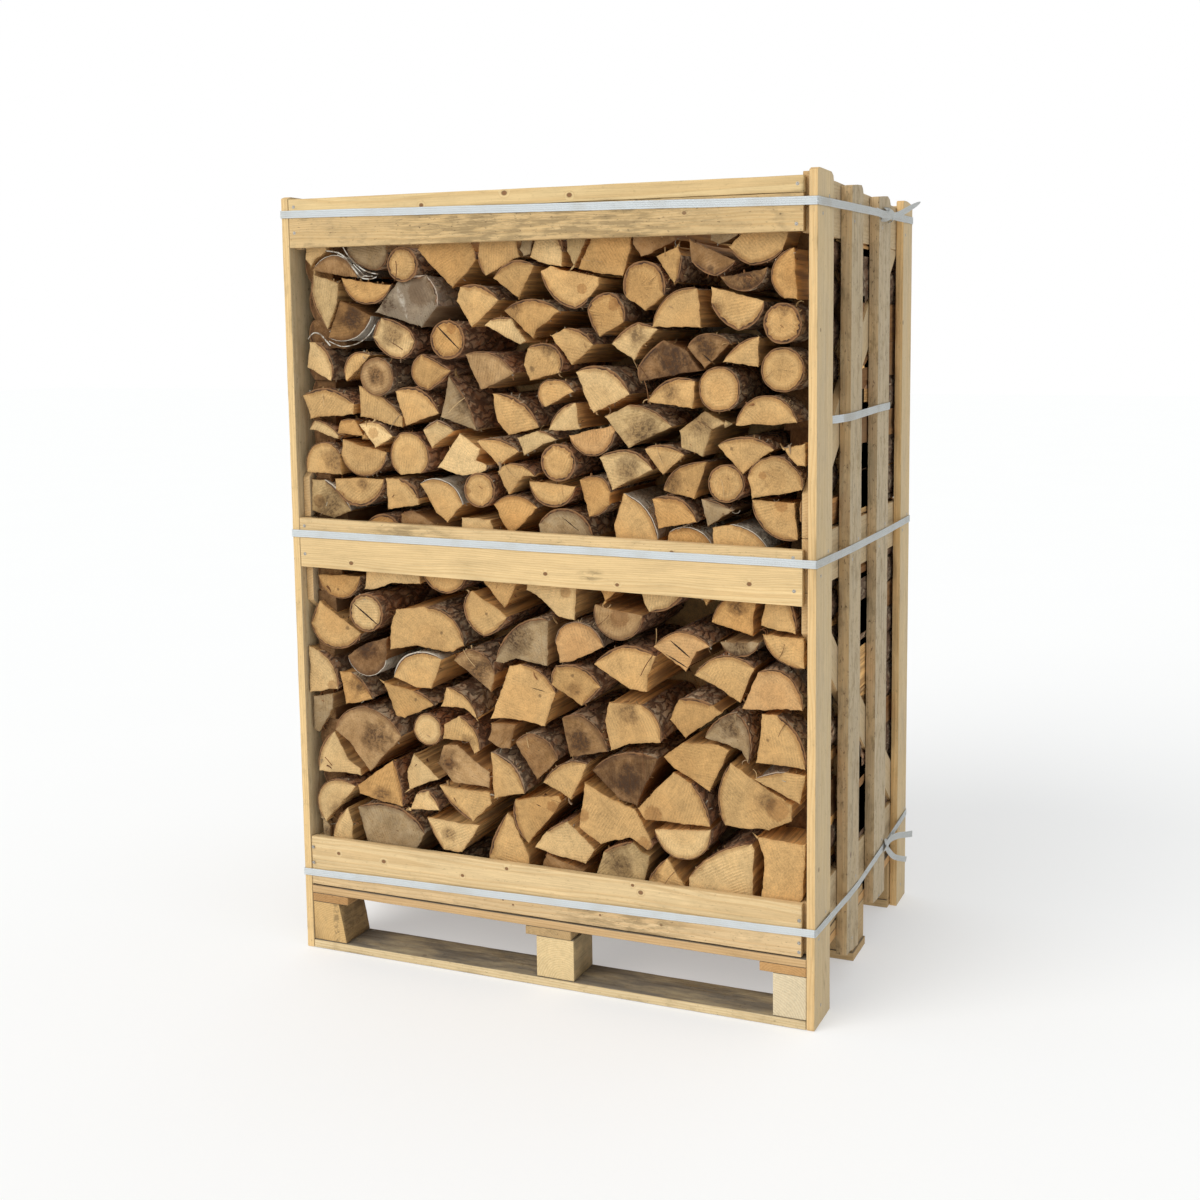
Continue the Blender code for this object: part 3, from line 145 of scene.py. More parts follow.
LOG_ENDS: list[LogEnd] = [
    # Top course, partly behind the top band.
    LogEnd(Tone.PALE, [(-57, 154.4), (-55, 152.4), (-53.8, 154.3), (-50, 156), (-49.5, 160), (-56, 160)]),
    LogEnd(Tone.BROWN, [(-54.6, 151.8), (-42.1, 150, 0.37)], birch=0.9),
    LogEnd(Tone.GREY, [(-34.8, 155.5), (-35.5, 161), (-44.8, 161), (-45.3, 156, 0.12), (-38, 151.6, 0.18)]),
    LogEnd(Tone.HONEY, [(-34.7, 152.8, 0.5), (-27.1, 152.8, 0.5)]),
    LogEnd(Tone.ORANGE, [(-19.5, 147.3), (-13.6, 153.3, 0.05), (-13.9, 155.2), (-17, 161), (-26, 160.5),
             (-27.8, 155.7)], patch=(-24, 148.5, 2.5)),
    LogEnd(Tone.HONEY, [(-11.7, 149.9), (-3.7, 153.7), (-5, 160.5), (-12.6, 160.5), (-13.6, 154.2, 0.1)]),
    LogEnd(Tone.GREY, [(-3, 153.7), (-1.3, 154), (0.2, 160), (-2.4, 160), (-4.1, 155.2)]),
    LogEnd(Tone.PALE, [(-1.6, 153.6), (0.3, 152.3), (6, 151.2), (6.2, 154.5, 0.1), (3.5, 161), (0.9, 161)]),
    LogEnd(Tone.STRAW, [(8.5, 151), (11.3, 157), (11, 160.5), (6.9, 160.5), (6.6, 154.4)]),
    LogEnd(Tone.ORANGE, [(9.2, 150.8), (15, 149.4), (19.4, 149), (21, 154.8), (21, 161), (13.9, 161)]),
    LogEnd(Tone.BROWN, [(22.9, 152.8), (25.5, 153.5), (30.5, 156), (30, 161), (21.7, 161), (21.2, 155.5)]),
    LogEnd(Tone.AMBER, [(30.2, 147.2, 0.1), (31.9, 153.2), (31.2, 155.4), (26.2, 153.1)]),
    LogEnd(Tone.BROWN, [(43.2, 151.8), (33.5, 156.3), (33.9, 151.6, 0.08), (38.8, 148.9, 0.1)],
           spot=(38, 150.5, 0.8)),
    LogEnd(Tone.HONEY, [(41.2, 154.6, 0.12), (46, 150.7, 0.1), (52.5, 153.4), (54.8, 161), (48, 161)]),
    LogEnd(Tone.ORANGE, [(52.8, 144.2), (55.8, 143.9), (54.8, 154.1, 0.37)]),
    LogEnd(Tone.GREY, [(39.5, 154.6), (45, 157.2), (44, 161), (36.8, 161), (37.4, 155.6)]),
    # Second course.
    LogEnd(Tone.STRAW, [(-49.6, 139.2), (-46.8, 146), (-46.6, 149.2), (-53.8, 151.4, 0.05),
             (-54.8, 147.5, 0.08)]),
    LogEnd(Tone.ORANGE, [(-33.5, 148.6), (-46, 150.4, 0.4)]),
    LogEnd(Tone.RUST, [(-50, 137.5, 0.23), (-38.7, 142.3), (-46.7, 145.8)],
           patch=(-43.5, 141.5, 2.6), birch=0.8),
    LogEnd(Tone.SLATE, [(-26.8, 139.4), (-22.8, 143.8, 0.15), (-25.5, 150.6, 0.05), (-32.5, 149.5),
             (-38.3, 142.9)], knot=(-26.8, 147.2, 2.4), patch=(-35, 144.6, 2.2), birch=0.4,
           streak=(-32.5, 148.4, -30.2, 141.6, 16)),
    LogEnd(Tone.HONEY, [(-15, 139.2), (-12.6, 141.2), (-8.4, 145, 0.12), (-14, 148.5, 0.06),
             (-17.7, 148), (-18.6, 145)]),
    LogEnd(Tone.AMBER, [(-3.8, 145), (0, 151.9, 0.1), (-4.5, 153.2, 0.1), (-9.6, 149.5)]),
    LogEnd(Tone.AMBER, [(-0.7, 136.9), (0.2, 138.8), (5.4, 142.6, 0.1), (-1, 145.4, 0.1), (-7.4, 142.9)],
           patch=(-5, 143.5, 2.2)),
    LogEnd(Tone.HONEY, [(14.6, 149.4), (3.5, 151.8), (1.3, 150.7, 0.18), (9, 142.9, 0.1), (12, 145),
             (14.5, 147.5)], knot=(10.5, 147, 0.8)),
    LogEnd(Tone.AMBER, [(14.2, 137), (19.6, 140.1, 0.2), (16.6, 146.3, 0.2), (11.5, 142.8, 0.08)],
           knot=(17.3, 143.7, 0.9), star=0.7),
    LogEnd(Tone.AMBER, [(24.2, 142.3), (28.3, 145.3, 0.15), (26.5, 151.6, 0.15), (20.6, 151.3, 0.15),
             (19.8, 145)], star=0.5),
    LogEnd(Tone.HONEY, [(25.2, 139.1), (36, 138.8), (35.2, 146.9, 0.22)]),
    LogEnd(Tone.BROWN, [(49.6, 150.5), (39.9, 148.9, 0.4)], patch=(45, 148.7, 4)),
    LogEnd(Tone.HONEY, [(48.9, 144.2), (44, 145.5), (37.9, 147), (37.7, 143.8, 0.13), (43.5, 138.3, 0.2)],
           patch=(39.3, 143, 1.8)),
    LogEnd(Tone.HONEY, [(48.4, 139.7, 0.5), (56.4, 139.7, 0.5)], patch=(52.5, 142.8, 2), star=0.3),
    LogEnd(Tone.PALE, [(-12, 139.7), (-3.6, 135.8), (-2.2, 136.6), (-5.5, 141.3, 0.1), (-10.5, 141.2)]),
    LogEnd(Tone.ORANGE, [(-24.7, 137, 0.5), (-16.3, 137, 0.5)],
           cracks=((-23.3, 140.3, -17.5, 134.8, 3),), knot=(-19.5, 139.3, 0.8)),
    LogEnd(Tone.PALE, [(-32, 132.9, 0.15), (-28.3, 136.6, 0.15), (-31.5, 140.3, 0.05),
             (-36.8, 141.9, 0.1), (-39, 137.5, 0.15)], patch=(-34, 138, 3)),
    LogEnd(Tone.HONEY, [(8, 131.5), (13.2, 135.8, 0.15), (6.5, 139.4), (3, 137.8)]),
    LogEnd(Tone.PALE, [(21.5, 132.4), (23.6, 135.3), (26.8, 138.8, 0.05), (22.5, 140.3, 0.08),
             (16.4, 135.9)], patch=(22, 138, 2.5)),
    LogEnd(Tone.BROWN, [(36.4, 130.7), (42.3, 135.9, 0.1), (36.8, 138.2, 0.12), (32.6, 135.3)],
           patch=(36.5, 135.5, 2.6), cracks=((36, 134, 38.4, 132, 2),)),
    # Third course.
    LogEnd(Tone.PALE, [(-57, 131), (-49.6, 128, 0.22), (-54, 136.9), (-56.1, 136.9)]),
    LogEnd(Tone.HONEY, [(-56, 120), (-43.8, 121), (-43.6, 123.4, 0.19), (-58.1, 125.2)]),
    LogEnd(Tone.HONEY, [(-45.7, 127.8), (-39.3, 133.8, 0.43)]),
    LogEnd(Tone.TAN, [(-42.1, 129.3, 0.5), (-33.7, 129.3, 0.5)], patch=(-38, 129.5, 2.2), star=0.2),
    LogEnd(Tone.HONEY, [(-42.8, 120.5), (-32.2, 118.3), (-32, 120.8, 0.09), (-43.2, 127.6)]),
    LogEnd(Tone.HONEY, [(-31.2, 118.6), (-22.8, 121.5, 0.25), (-33.9, 126.3)]),
    LogEnd(Tone.AMBER, [(-19.6, 130.6, 0.05), (-26.8, 134.2, 0.43), (-25.3, 126.4, 0.06)], star=0.7),
    LogEnd(Tone.TAN, [(-12.8, 126.4), (-4.9, 130, 0.19), (-16.7, 134)], patch=(-21, 128.5, 3.5)),
    LogEnd(Tone.GREY, [(-22.7, 120.8), (-13.8, 117.9, 0.08), (-20.2, 129.7)], patch=(-16, 124, 3)),
    LogEnd(Tone.HONEY, [(-7, 117), (0.4, 118.9, 0.18), (-10.6, 126), (-9.6, 119.8)]),
    LogEnd(Tone.HONEY, [(-1.7, 128.4), (5.2, 130, 0.1), (6, 133.2, 0.15), (2.5, 136.3, 0.1),
             (-2.3, 135.3), (-3.3, 131.8)], spot=(-1, 131, 0.7), patch=(2.5, 135.5, 2.2)),
    LogEnd(Tone.HONEY, [(1.8, 123), (8.7, 126.2, 0.17), (3.6, 129, 0.42)]),
    LogEnd(Tone.PALE, [(2.4, 118.2), (9.9, 118.6), (8.9, 124.4, 0.17)]),
    LogEnd(Tone.PALE, [(12.6, 121.8), (20.9, 125.8, 0.26), (8.7, 130.4)]),
    LogEnd(Tone.DARK, [(22.7, 128.3), (35.9, 130.6), (32.6, 135), (28, 136.7, 0.08), (22.4, 131.5, 0.1)],
           patch=(30, 132.5, 4)),
    LogEnd(Tone.STRAW, [(20.1, 115), (29.8, 119.6, 0.12), (20, 124), (14.7, 121.6)], patch=(23, 118.5, 4)),
    LogEnd(Tone.HONEY, [(24.4, 124.3), (34.3, 123), (34.8, 128.8, 0.22)], patch=(29.5, 126.5, 2)),
    LogEnd(Tone.HONEY, [(35.2, 127.1, 0.52), (44, 127.1, 0.52)]),
    LogEnd(Tone.HONEY, [(40.1, 132.2), (47.8, 131.2), (48.1, 137.5, 0.12)]),
    LogEnd(Tone.HONEY, [(47.9, 130.9, 0.5), (56.8, 130.9, 0.5)], star=0.6),
    LogEnd(Tone.HONEY, [(42.9, 119.8), (55.7, 120.5, 0.47)]),
    LogEnd(Tone.STRAW, [(31.5, 115.3), (36.2, 113.8), (38.3, 119), (41.5, 120.4), (36.5, 123), (31, 119)],
           patch=(36, 120.5, 3)),
    LogEnd(Tone.HONEY, [(44.2, 110.4), (51, 115.5, 0.18), (38.7, 116.2)], spot=(42, 115.5, 0.5)),
    LogEnd(Tone.HONEY, [(55.2, 112.2), (57.2, 112.2), (57.2, 117.2), (52, 115.8)]),
    # Fourth course.
    LogEnd(Tone.PALE, [(-56.8, 117.6), (-48.1, 115.4), (-48, 116.6, 0.12), (-55, 120, 0.1)]),
    LogEnd(Tone.ORANGE, [(-48.9, 116.8), (-41.4, 116.1), (-44, 120.1, 0.08), (-47.8, 119.9)]),
    LogEnd(Tone.CREAM, [(-38.8, 114), (-34, 116.5, 0.2), (-42.8, 119.1)], knot=(-39, 117.3, 0.9)),
    LogEnd(Tone.HONEY, [(-33, 108.3), (-28, 108.5, 0.15), (-25.6, 112, 0.15), (-28.5, 117, 0.13),
             (-33, 117.3, 0.12), (-35.3, 112.5, 0.15)]),
    LogEnd(Tone.PALE, [(-25.2, 113.9), (-19.5, 118, 0.1), (-23.6, 120.4, 0.08), (-27.4, 118.1)], birch=0.3),
    LogEnd(Tone.CREAM, [(-24, 110), (-18, 108.4), (-12.3, 109.5, 0.2), (-12, 111.2), (-14.4, 112),
             (-13.2, 114.4), (-18.3, 118)]),
    LogEnd(Tone.HONEY, [(-9.2, 110.8), (-4, 113.9, 0.17), (-14.3, 116)], star=0.3),
    LogEnd(Tone.PALE, [(-3.4, 113), (1, 115.2), (4.4, 116.5, 0.08), (0, 118.6), (-5, 117)]),
    LogEnd(Tone.HONEY, [(0.5, 111.9, 0.5), (8.6, 111.9, 0.5)]),
    LogEnd(Tone.PINK, [(17.3, 118.6), (16.5, 119.8), (6.8, 117.6, 0.46)], star=0.4),
    LogEnd(Tone.PALE, [(16.4, 106.4), (25.7, 110.8, 0.2), (16.3, 114.5, 0.06), (13.6, 113.2)],
           patch=(20, 111, 3)),
    LogEnd(Tone.HONEY, [(27.6, 109.7), (32.4, 114.1, 0.17), (23.6, 115.2)]),
    LogEnd(Tone.HONEY, [(-57.8, 108.1), (-47.4, 107.9), (-47.6, 112.5, 0.08), (-50.2, 115, 0.12),
             (-56.2, 114, 0.13)], patch=(-49.3, 111, 3)),
    LogEnd(Tone.HONEY, [(-36.1, 113.3), (-47.3, 115.8), (-47.9, 112.2, 0.43)]),
    LogEnd(Tone.AMBER, [(34.4, 105.1), (37.2, 113, 0.08), (30.5, 111.6, 0.1), (27.6, 106.9)],
           patch=(29.5, 108.5, 2.5)),
    LogEnd(Tone.HONEY, [(37, 108.7, 0.5), (44.8, 108.7, 0.5)], star=0.3),
    LogEnd(Tone.HONEY, [(46.2, 105.7), (56.6, 107.7, 0.15), (54.6, 112.8, 0.17), (49, 114, 0.17),
             (45.4, 110)], knot=(48.5, 110.5, 0.6)),
    # Fifth course, on the middle band.
    LogEnd(Tone.HONEY, [(-36.6, 107.7), (-49.2, 107.4), (-49.2, 104.9, 0.4)], patch=(-42, 106, 1.6)),
    LogEnd(Tone.STRAW, [(-58, 99.7), (-50.5, 98.2), (-45.8, 100, 0.1), (-53, 107), (-57.4, 107)],
           knot=(-55, 102, 1.1), patch=(-51.5, 101, 4), birch=0.5),
    LogEnd(Tone.HONEY, [(-36.3, 100.5), (-28, 101.9), (-28.1, 103.5, 0.15), (-33, 107.8), (-36.4, 107.7)]),
    LogEnd(Tone.ORANGE, [(-42.6, 94), (-33.4, 94), (-33.8, 97.5, 0.28), (-42.2, 97.5)]),
    LogEnd(Tone.BROWN, [(-33.2, 94), (-23, 94), (-22.8, 97), (-30, 100.8, 0.06), (-33.7, 100)]),
    LogEnd(Tone.HONEY, [(-22, 98.1), (-18, 102.3, 0.27), (-28.8, 106.6), (-25, 100.3)], birch=1.0),
    LogEnd(Tone.HONEY, [(-17.6, 105.7, 0.5), (-10, 105.7, 0.5)], knot=(-16.7, 105.5, 0.6), star=0.2),
    LogEnd(Tone.HONEY, [(-6.7, 104.8), (-3.2, 108.7), (-0.3, 108.8, 0.17), (-7.3, 111.6), (-9.7, 109.8)]),
    LogEnd(Tone.HONEY, [(8.4, 107.1), (-2.5, 108.3, 0.48)]),
    LogEnd(Tone.ORANGE, [(-7.2, 96), (-0.4, 102.3, 0.22), (-11.3, 102.7)], patch=(-15, 97.5, 2.5)),
    LogEnd(Tone.PALE, [(-18.8, 94), (-9.9, 94), (-11.5, 99.6), (-18.8, 99.9)], birch=0.7),
    LogEnd(Tone.GREY, [(0, 94), (12, 94), (12, 96.8, 0.36), (-0.6, 99)],
           cracks=((5, 100.6, 8.6, 98, 1.6),)),
    LogEnd(Tone.ORANGE, [(11.4, 100.8, 0.12), (16.2, 103.5), (16.6, 106.2, 0.1), (14.5, 109.2, 0.12),
             (9.2, 108.6)]),
    LogEnd(Tone.HONEY, [(17, 94), (26.5, 94), (26.5, 97, 0.15), (18.6, 106.2), (16.2, 99.5)], birch=0.5),
    LogEnd(Tone.GREY, [(37, 99.8), (42.6, 103.4, 0.08), (35.6, 105.6)]),
    LogEnd(Tone.ORANGE, [(26.6, 99), (35.2, 100.6, 0.2), (28, 106, 0.06), (25.1, 105.3)]),
    LogEnd(Tone.ORANGE, [(27, 94), (37.8, 94), (37.8, 96.3, 0.24), (28.5, 98.6)], birch=0.6),
    LogEnd(Tone.HONEY, [(38, 94), (49.6, 94), (49.6, 96, 0.13), (41.5, 100.8), (37.5, 100)], birch=0.5),
    LogEnd(Tone.HONEY, [(55.5, 97.9), (55, 105.6), (45.9, 105.7, 0.25)], knot=(52, 104.7, 1)),
    LogEnd(Tone.BROWN, [(55.8, 95), (57.2, 95), (57.2, 105)], spot=(56.4, 99.5, 0.7)),
    # Sixth course, under the middle band.
    LogEnd(Tone.ORANGE, [(-44, 86), (-56.3, 85.8, 0.5)], spot=(-50, 82.5, 0.4)),
    LogEnd(Tone.PALE, [(-43.3, 82.7), (-41, 82.7), (-36.5, 84.4), (-28.9, 84.6), (-29.2, 91), (-42, 91)]),
    LogEnd(Tone.PALE, [(-46.9, 77.8, 0.5), (-38.1, 77.8, 0.5)], cracks=((-46, 80, -39, 75, 3),), star=0.2),
    LogEnd(Tone.HONEY, [(-55.9, 80, 0.03), (-59, 74.6, 0.36), (-44.2, 73)], spot=(-47.7, 74, 0.6)),
    LogEnd(Tone.HONEY, [(-17.2, 90), (-28.8, 90), (-28.8, 88, 0.43), (-17.2, 88)]),
    LogEnd(Tone.HONEY, [(-7.2, 79.3), (-16, 84.6, 0.15), (-18.1, 80.2, 0.15), (-13.3, 74.5, 0.12)],
           spot=(-12.5, 79.5, 0.4)),
    LogEnd(Tone.HONEY, [(-8.8, 80.5), (-7.8, 82), (-5, 88), (-5, 91), (-15.8, 91), (-15.8, 88)]),
    LogEnd(Tone.PALE, [(7.5, 79.1), (8.9, 91), (-3, 91), (-3.8, 84.8), (-1.4, 83.9), (4, 79.4)],
           knot=(5.5, 85, 0.9)),
    LogEnd(Tone.ORANGE, [(14.4, 82.9), (20, 89), (20, 91), (10.5, 91), (11.8, 88)]),
    LogEnd(Tone.TAN, [(23.2, 81.5), (12.4, 83.2, 0.6)], knot=(18, 80.7, 1.5)),
    LogEnd(Tone.PALE, [(24, 81.9, 0.15), (31.8, 86), (31.8, 91), (20.6, 91), (20.8, 88)]),
    LogEnd(Tone.ORANGE, [(36.5, 83.9), (39, 87.5), (39, 90), (33, 90), (33.2, 88)]),
    LogEnd(Tone.ORANGE, [(37.4, 80.6), (46.5, 78.2), (46.7, 83), (47.9, 91), (41, 91), (40.5, 86, 0.1)],
           patch=(43, 84, 2)),
    LogEnd(Tone.HONEY, [(47.5, 80.5), (55.1, 79.3, 0.12), (52.5, 88), (50, 90.5), (49.2, 88)],
           patch=(50.3, 87, 2.4)),
    LogEnd(Tone.HONEY, [(57, 72.7), (57, 79), (48, 79.3, 0.2)]),
    LogEnd(Tone.GREY, [(48, 77.8), (39.5, 77.2, 0.4)], patch=(43.5, 75.5, 3)),
    LogEnd(Tone.GREY, [(-11, 69.2), (-8.8, 68.9), (-6, 70.1), (1.5, 69), (2, 79, 0.1), (-1, 79.4, 0.16)],
           patch=(-6, 75, 4), star=0.4),
    LogEnd(Tone.PINK, [(4.1, 70), (7.3, 70.7), (14.4, 74, 0.15), (9.5, 78.9, 0.1), (5.2, 78.4, 0.12),
             (3, 74.2)], birch=0.3),
    LogEnd(Tone.HONEY, [(11.7, 70.3), (20, 65.6), (23.8, 65.6), (24.2, 69), (26.1, 73.2, 0.1),
             (18.5, 75, 0.08)]),
    LogEnd(Tone.PINK, [(25.1, 75), (32.4, 70.3), (34.7, 74.7), (37.8, 75.8, 0.12), (31, 78.8, 0.1)],
           cracks=((28.8, 76.8, 33.5, 73.3, 3), (28, 73.8, 32.8, 71.3, 2.4))),
    LogEnd(Tone.HONEY, [(34, 69.9), (43.9, 65), (47.1, 72.4, 0.25)]),
    LogEnd(Tone.PINK, [(43.8, 63.6), (56.8, 64.3, 0.08), (55.5, 69.5, 0.22), (47.5, 71.7)]),
    # Seventh course.
    LogEnd(Tone.PALE, [(-59.3, 58.8), (-50.1, 60.2, 0.18), (-56, 68.7), (-59.3, 69.6)],
           knot=(-52, 61, 0.9)),
    LogEnd(Tone.DARK, [(-47.9, 68, 0.4), (-37.6, 67.5), (-37.2, 73), (-43.5, 70.9)],
           patch=(-43, 70.5, 3), birch=0.9),
    LogEnd(Tone.HONEY, [(-37, 69.8), (-30, 71), (-21.5, 70.3), (-18.4, 71.9, 0.22), (-28, 80.2),
             (-35.2, 79.3), (-36.8, 75.5)], spot=(-24, 74.5, 0.5)),
    LogEnd(Tone.GREY, [(-58.9, 50.2), (-57, 49.6), (-52.3, 55.5), (-52.2, 59.2), (-59, 58.3)]),
    LogEnd(Tone.ORANGE, [(-48.8, 56.6), (-41.4, 58.5, 0.12), (-47, 64.4), (-50, 64.2)],
           spot=(-45, 61, 0.9), patch=(-45.5, 61.5, 2.4)),
    LogEnd(Tone.TAN, [(-51.7, 50.8), (-47.9, 48.6), (-42.5, 42), (-34, 50.8, 0.12), (-42, 56.6, 0.22)],
           patch=(-40.5, 50.2, 4.2)),
    LogEnd(Tone.AMBER, [(-35.6, 55.3), (-33.5, 55), (-25.6, 58.4, 0.1), (-31, 61.6), (-39, 63)],
           spot=(-30.5, 59.5, 0.5)),
    LogEnd(Tone.HONEY, [(-36, 63.8), (-30.2, 62), (-26.5, 62.1), (-23.5, 68.9, 0.1), (-29, 70.2, 0.2)],
           birch=0.5),
    LogEnd(Tone.HONEY, [(-24.3, 58.3), (-18.5, 58.4), (-15.1, 56.2, 0.2), (-22.8, 63.1)]),
    LogEnd(Tone.TAN, [(-12, 62.4), (-10.9, 66.5, 0.18), (-17, 71.7, 0.1), (-21, 68.9)],
           patch=(-15, 67, 3.5), spot=(-14.5, 68.5, 0.8)),
    LogEnd(Tone.HONEY, [(-12.6, 56.6), (-8, 57.1), (0.5, 56), (3.2, 63.6, 0.15), (-5, 69.3), (-7.8, 68.7)],
           cracks=((-2.5, 64.3, 0.6, 63.7, 1.2),), spot=(-0.6, 62.7, 0.5)),
    LogEnd(Tone.BROWN, [(-9.7, 50.2), (-7.6, 50.5), (-6.2, 56.1), (-12.5, 56.1), (-12.4, 54.2),
             (-13.1, 52.2)], birch=0.4),
    LogEnd(Tone.BROWN, [(-1.7, 44.2), (3.8, 49.1, 0.15), (-2, 54.6, 0.15), (-6.7, 52.2)]),
    LogEnd(Tone.AMBER, [(2.3, 65.5), (9.3, 61.2, 0.04), (13.8, 65.8, 0.2), (3.5, 69.6, 0.15)],
           patch=(8, 65, 2), spot=(7.3, 67.8, 0.5)),
    LogEnd(Tone.BROWN, [(6.1, 49.9), (15, 52, 0.15), (8.5, 59.6, 0.08), (4, 58.4)], patch=(8.5, 54, 3)),
    LogEnd(Tone.HONEY, [(15.4, 52.3), (19.8, 54.4), (26.8, 55.2, 0.2), (22.5, 63.1), (15.3, 62.9),
             (14.2, 59)], patch=(19.5, 61, 2.8)),
    LogEnd(Tone.DARK, [(21.2, 41), (26.1, 51.8, 0.08), (17, 52, 0.1), (11, 47.7), (17.5, 41.9)],
           patch=(19, 46.5, 3.8)),
    LogEnd(Tone.AMBER, [(32, 56.3), (40.1, 62.7), (38, 64.2, 0.1), (30.5, 64.8), (28.3, 60.2)], birch=0.2),
    LogEnd(Tone.AMBER, [(27, 52.4), (29.5, 50.1), (37.3, 46), (41.5, 55.1), (39.2, 56.2), (31.5, 56)]),
    LogEnd(Tone.GREY, [(36.2, 57.2), (44, 55.2), (45.4, 52.8, 0.08), (46, 58.5, 0.12), (42.8, 63.1, 0.15)],
           patch=(42, 60, 3)),
    LogEnd(Tone.HONEY, [(46.8, 53), (57.4, 52.6, 0.17), (51.5, 63.4), (48.2, 63.2)], spot=(49.5, 58, 0.4)),
    LogEnd(Tone.HONEY, [(46.3, 49.6), (56.4, 45.3), (57.4, 51.6), (53, 51.9, 0.08)], birch=0.4),
    # Eighth course.
    LogEnd(Tone.PALE, [(-31.4, 53.1, 0.5), (-24.1, 53.1, 0.5)]),
    LogEnd(Tone.HONEY, [(-24, 51.2), (-17.6, 51.1), (-16.2, 48.7), (-14.6, 49.6, 0.18), (-19.7, 57),
             (-23.6, 54.8)], patch=(-17.5, 51.5, 1.8)),
    LogEnd(Tone.PALE, [(-57.3, 40.9), (-45, 40.9), (-45, 42.7), (-48.2, 44.3), (-51.9, 50.6, 0.18)]),
    LogEnd(Tone.PALE, [(-55.3, 29.2), (-46.4, 38.4, 0.1), (-52.5, 39.6, 0.34)], patch=(-52, 32.5, 2)),
    LogEnd(Tone.ORANGE, [(-45.9, 36.4), (-41, 35.5), (-34.6, 34.9, 0.08), (-36.9, 45.6), (-46.4, 38.8)],
           patch=(-40, 37, 2.5)),
    LogEnd(Tone.PALE, [(-33.2, 38.5), (-25.1, 42.1), (-31.7, 47.5), (-33.6, 43)]),
    LogEnd(Tone.TAN, [(-25.8, 45.8), (-21.8, 41.7), (-12.8, 41.3), (-12.7, 45), (-16.5, 47.4),
             (-20.5, 50.7), (-24, 50)], patch=(-23.3, 46.3, 3), knot=(-22.5, 46, 0.9)),
    LogEnd(Tone.HONEY, [(-17.2, 33.5), (-12.4, 38.2), (-12.8, 40.8), (-25.2, 41, 0.1)]),
    LogEnd(Tone.HONEY, [(-11.9, 39.3), (-4.1, 41.1, 0.2), (-12.4, 49.7)], birch=0.3),
    LogEnd(Tone.PALE, [(-33.3, 34.1), (-25.2, 35, 0.1), (-28, 39.5, 0.1), (-31.4, 38.4)]),
    LogEnd(Tone.AMBER, [(-3.8, 30), (4.3, 40.5), (3.6, 41.8), (-7.1, 39.9, 0.18)],
           cracks=((-2.2, 39.2, -0.8, 38.7, 1),), knot=(1.7, 39, 0.9)),
    LogEnd(Tone.HONEY, [(6.6, 41.1), (10.8, 49.4, 0.05), (6.5, 49.7, 0.1), (-0.2, 44.2)]),
    LogEnd(Tone.HONEY, [(12.8, 31.9), (19.5, 34.2), (23.5, 32, 0.3), (24.4, 34.6), (21, 40.8),
             (16, 42.2), (9.2, 45.4), (7.9, 35.3)], knot=(9, 38, 1), knot_two=(22.7, 33.5, 1.1)),
    LogEnd(Tone.HONEY, [(23.2, 38.5), (37.4, 38.9, 0.1), (33.5, 47.7), (29.4, 49.7), (21.4, 41.1)],
           knot=(25, 40, 1.5)),
    LogEnd(Tone.HONEY, [(40.4, 39.2), (49.8, 39.4), (54.6, 41.8), (54.6, 45.3), (41.6, 52.7, 0.15)],
           knot=(51.5, 44, 1.8), patch=(49, 45.5, 2.4)),
    # Ninth course, on the bottom band.
    LogEnd(Tone.PALE, [(-54.3, 22), (-48.4, 22), (-48, 29), (-49.3, 33.1, 0.12), (-54.3, 26.1)]),
    LogEnd(Tone.GREY, [(-43.5, 22), (-33.6, 22), (-29.4, 29.2, 0.13), (-38, 35, 0.07), (-47, 33.5)]),
    LogEnd(Tone.PALE, [(-25, 25.9), (-20.2, 25.9), (-15.9, 32.8), (-29.2, 33.3, 0.05)],
           patch=(-23.5, 30, 2)),
    LogEnd(Tone.HONEY, [(-14, 22), (-3.7, 22), (-3.7, 26.9), (-7.4, 35.2), (-9, 36.7, 0.06), (-14, 26.2)]),
    LogEnd(Tone.PALE, [(-3, 29.3), (9.3, 27), (11.9, 30.7), (5.1, 36.4, 0.05), (0, 33.4)]),
    LogEnd(Tone.BROWN, [(-2.5, 23), (9, 23), (9, 26), (0, 28.5)]),
    LogEnd(Tone.STRAW, [(10.6, 22), (22.9, 22), (22.9, 25.9), (24.2, 31.2), (22.3, 31.6),
             (20, 33.6, 0.06), (13.1, 30.6)], patch=(17, 28.5, 3.5)),
    LogEnd(Tone.HONEY, [(23.2, 22), (31.7, 22), (31.7, 25.6), (27.8, 31.2, 0.08), (23.2, 25.6)],
           patch=(25, 27, 1.6)),
    LogEnd(Tone.PALE, [(37.5, 38.3), (25, 36.9, 0.52)], patch=(31.5, 42, 1.6)),
    LogEnd(Tone.PALE, [(32.3, 22), (46.3, 22), (46.6, 34.8), (46, 36.3, 0.11), (32.3, 27.7)]),
    LogEnd(Tone.HONEY, [(47.3, 22), (56.4, 22), (57.2, 34), (57.2, 37.4), (46.6, 38), (48.4, 33.5)],
           birch=0.2),
    LogEnd(Tone.GREY, [(-57.6, 24), (-54.9, 24), (-54.9, 28.1), (-57.6, 30.5)], patch=(-56, 27, 1.4)),
]

# Lowest index of each course in the list above, bottom edge to top edge of the front's opening.
COURSE_STARTS = (0, 16, 36, 60, 77, 97, 119, 141, 156)

# Left of this line, in centimetres, the log ends are drawn together, because they were measured too wide.
SQUEEZE_LEFT_OF = -50.0
SQUEEZE_SHARE = 0.83
# Half the height of the crate: the back row shows the two halves of the front exchanged.
HALF_SHIFT = 0.713
HALF_SPLIT_Z = 0.925

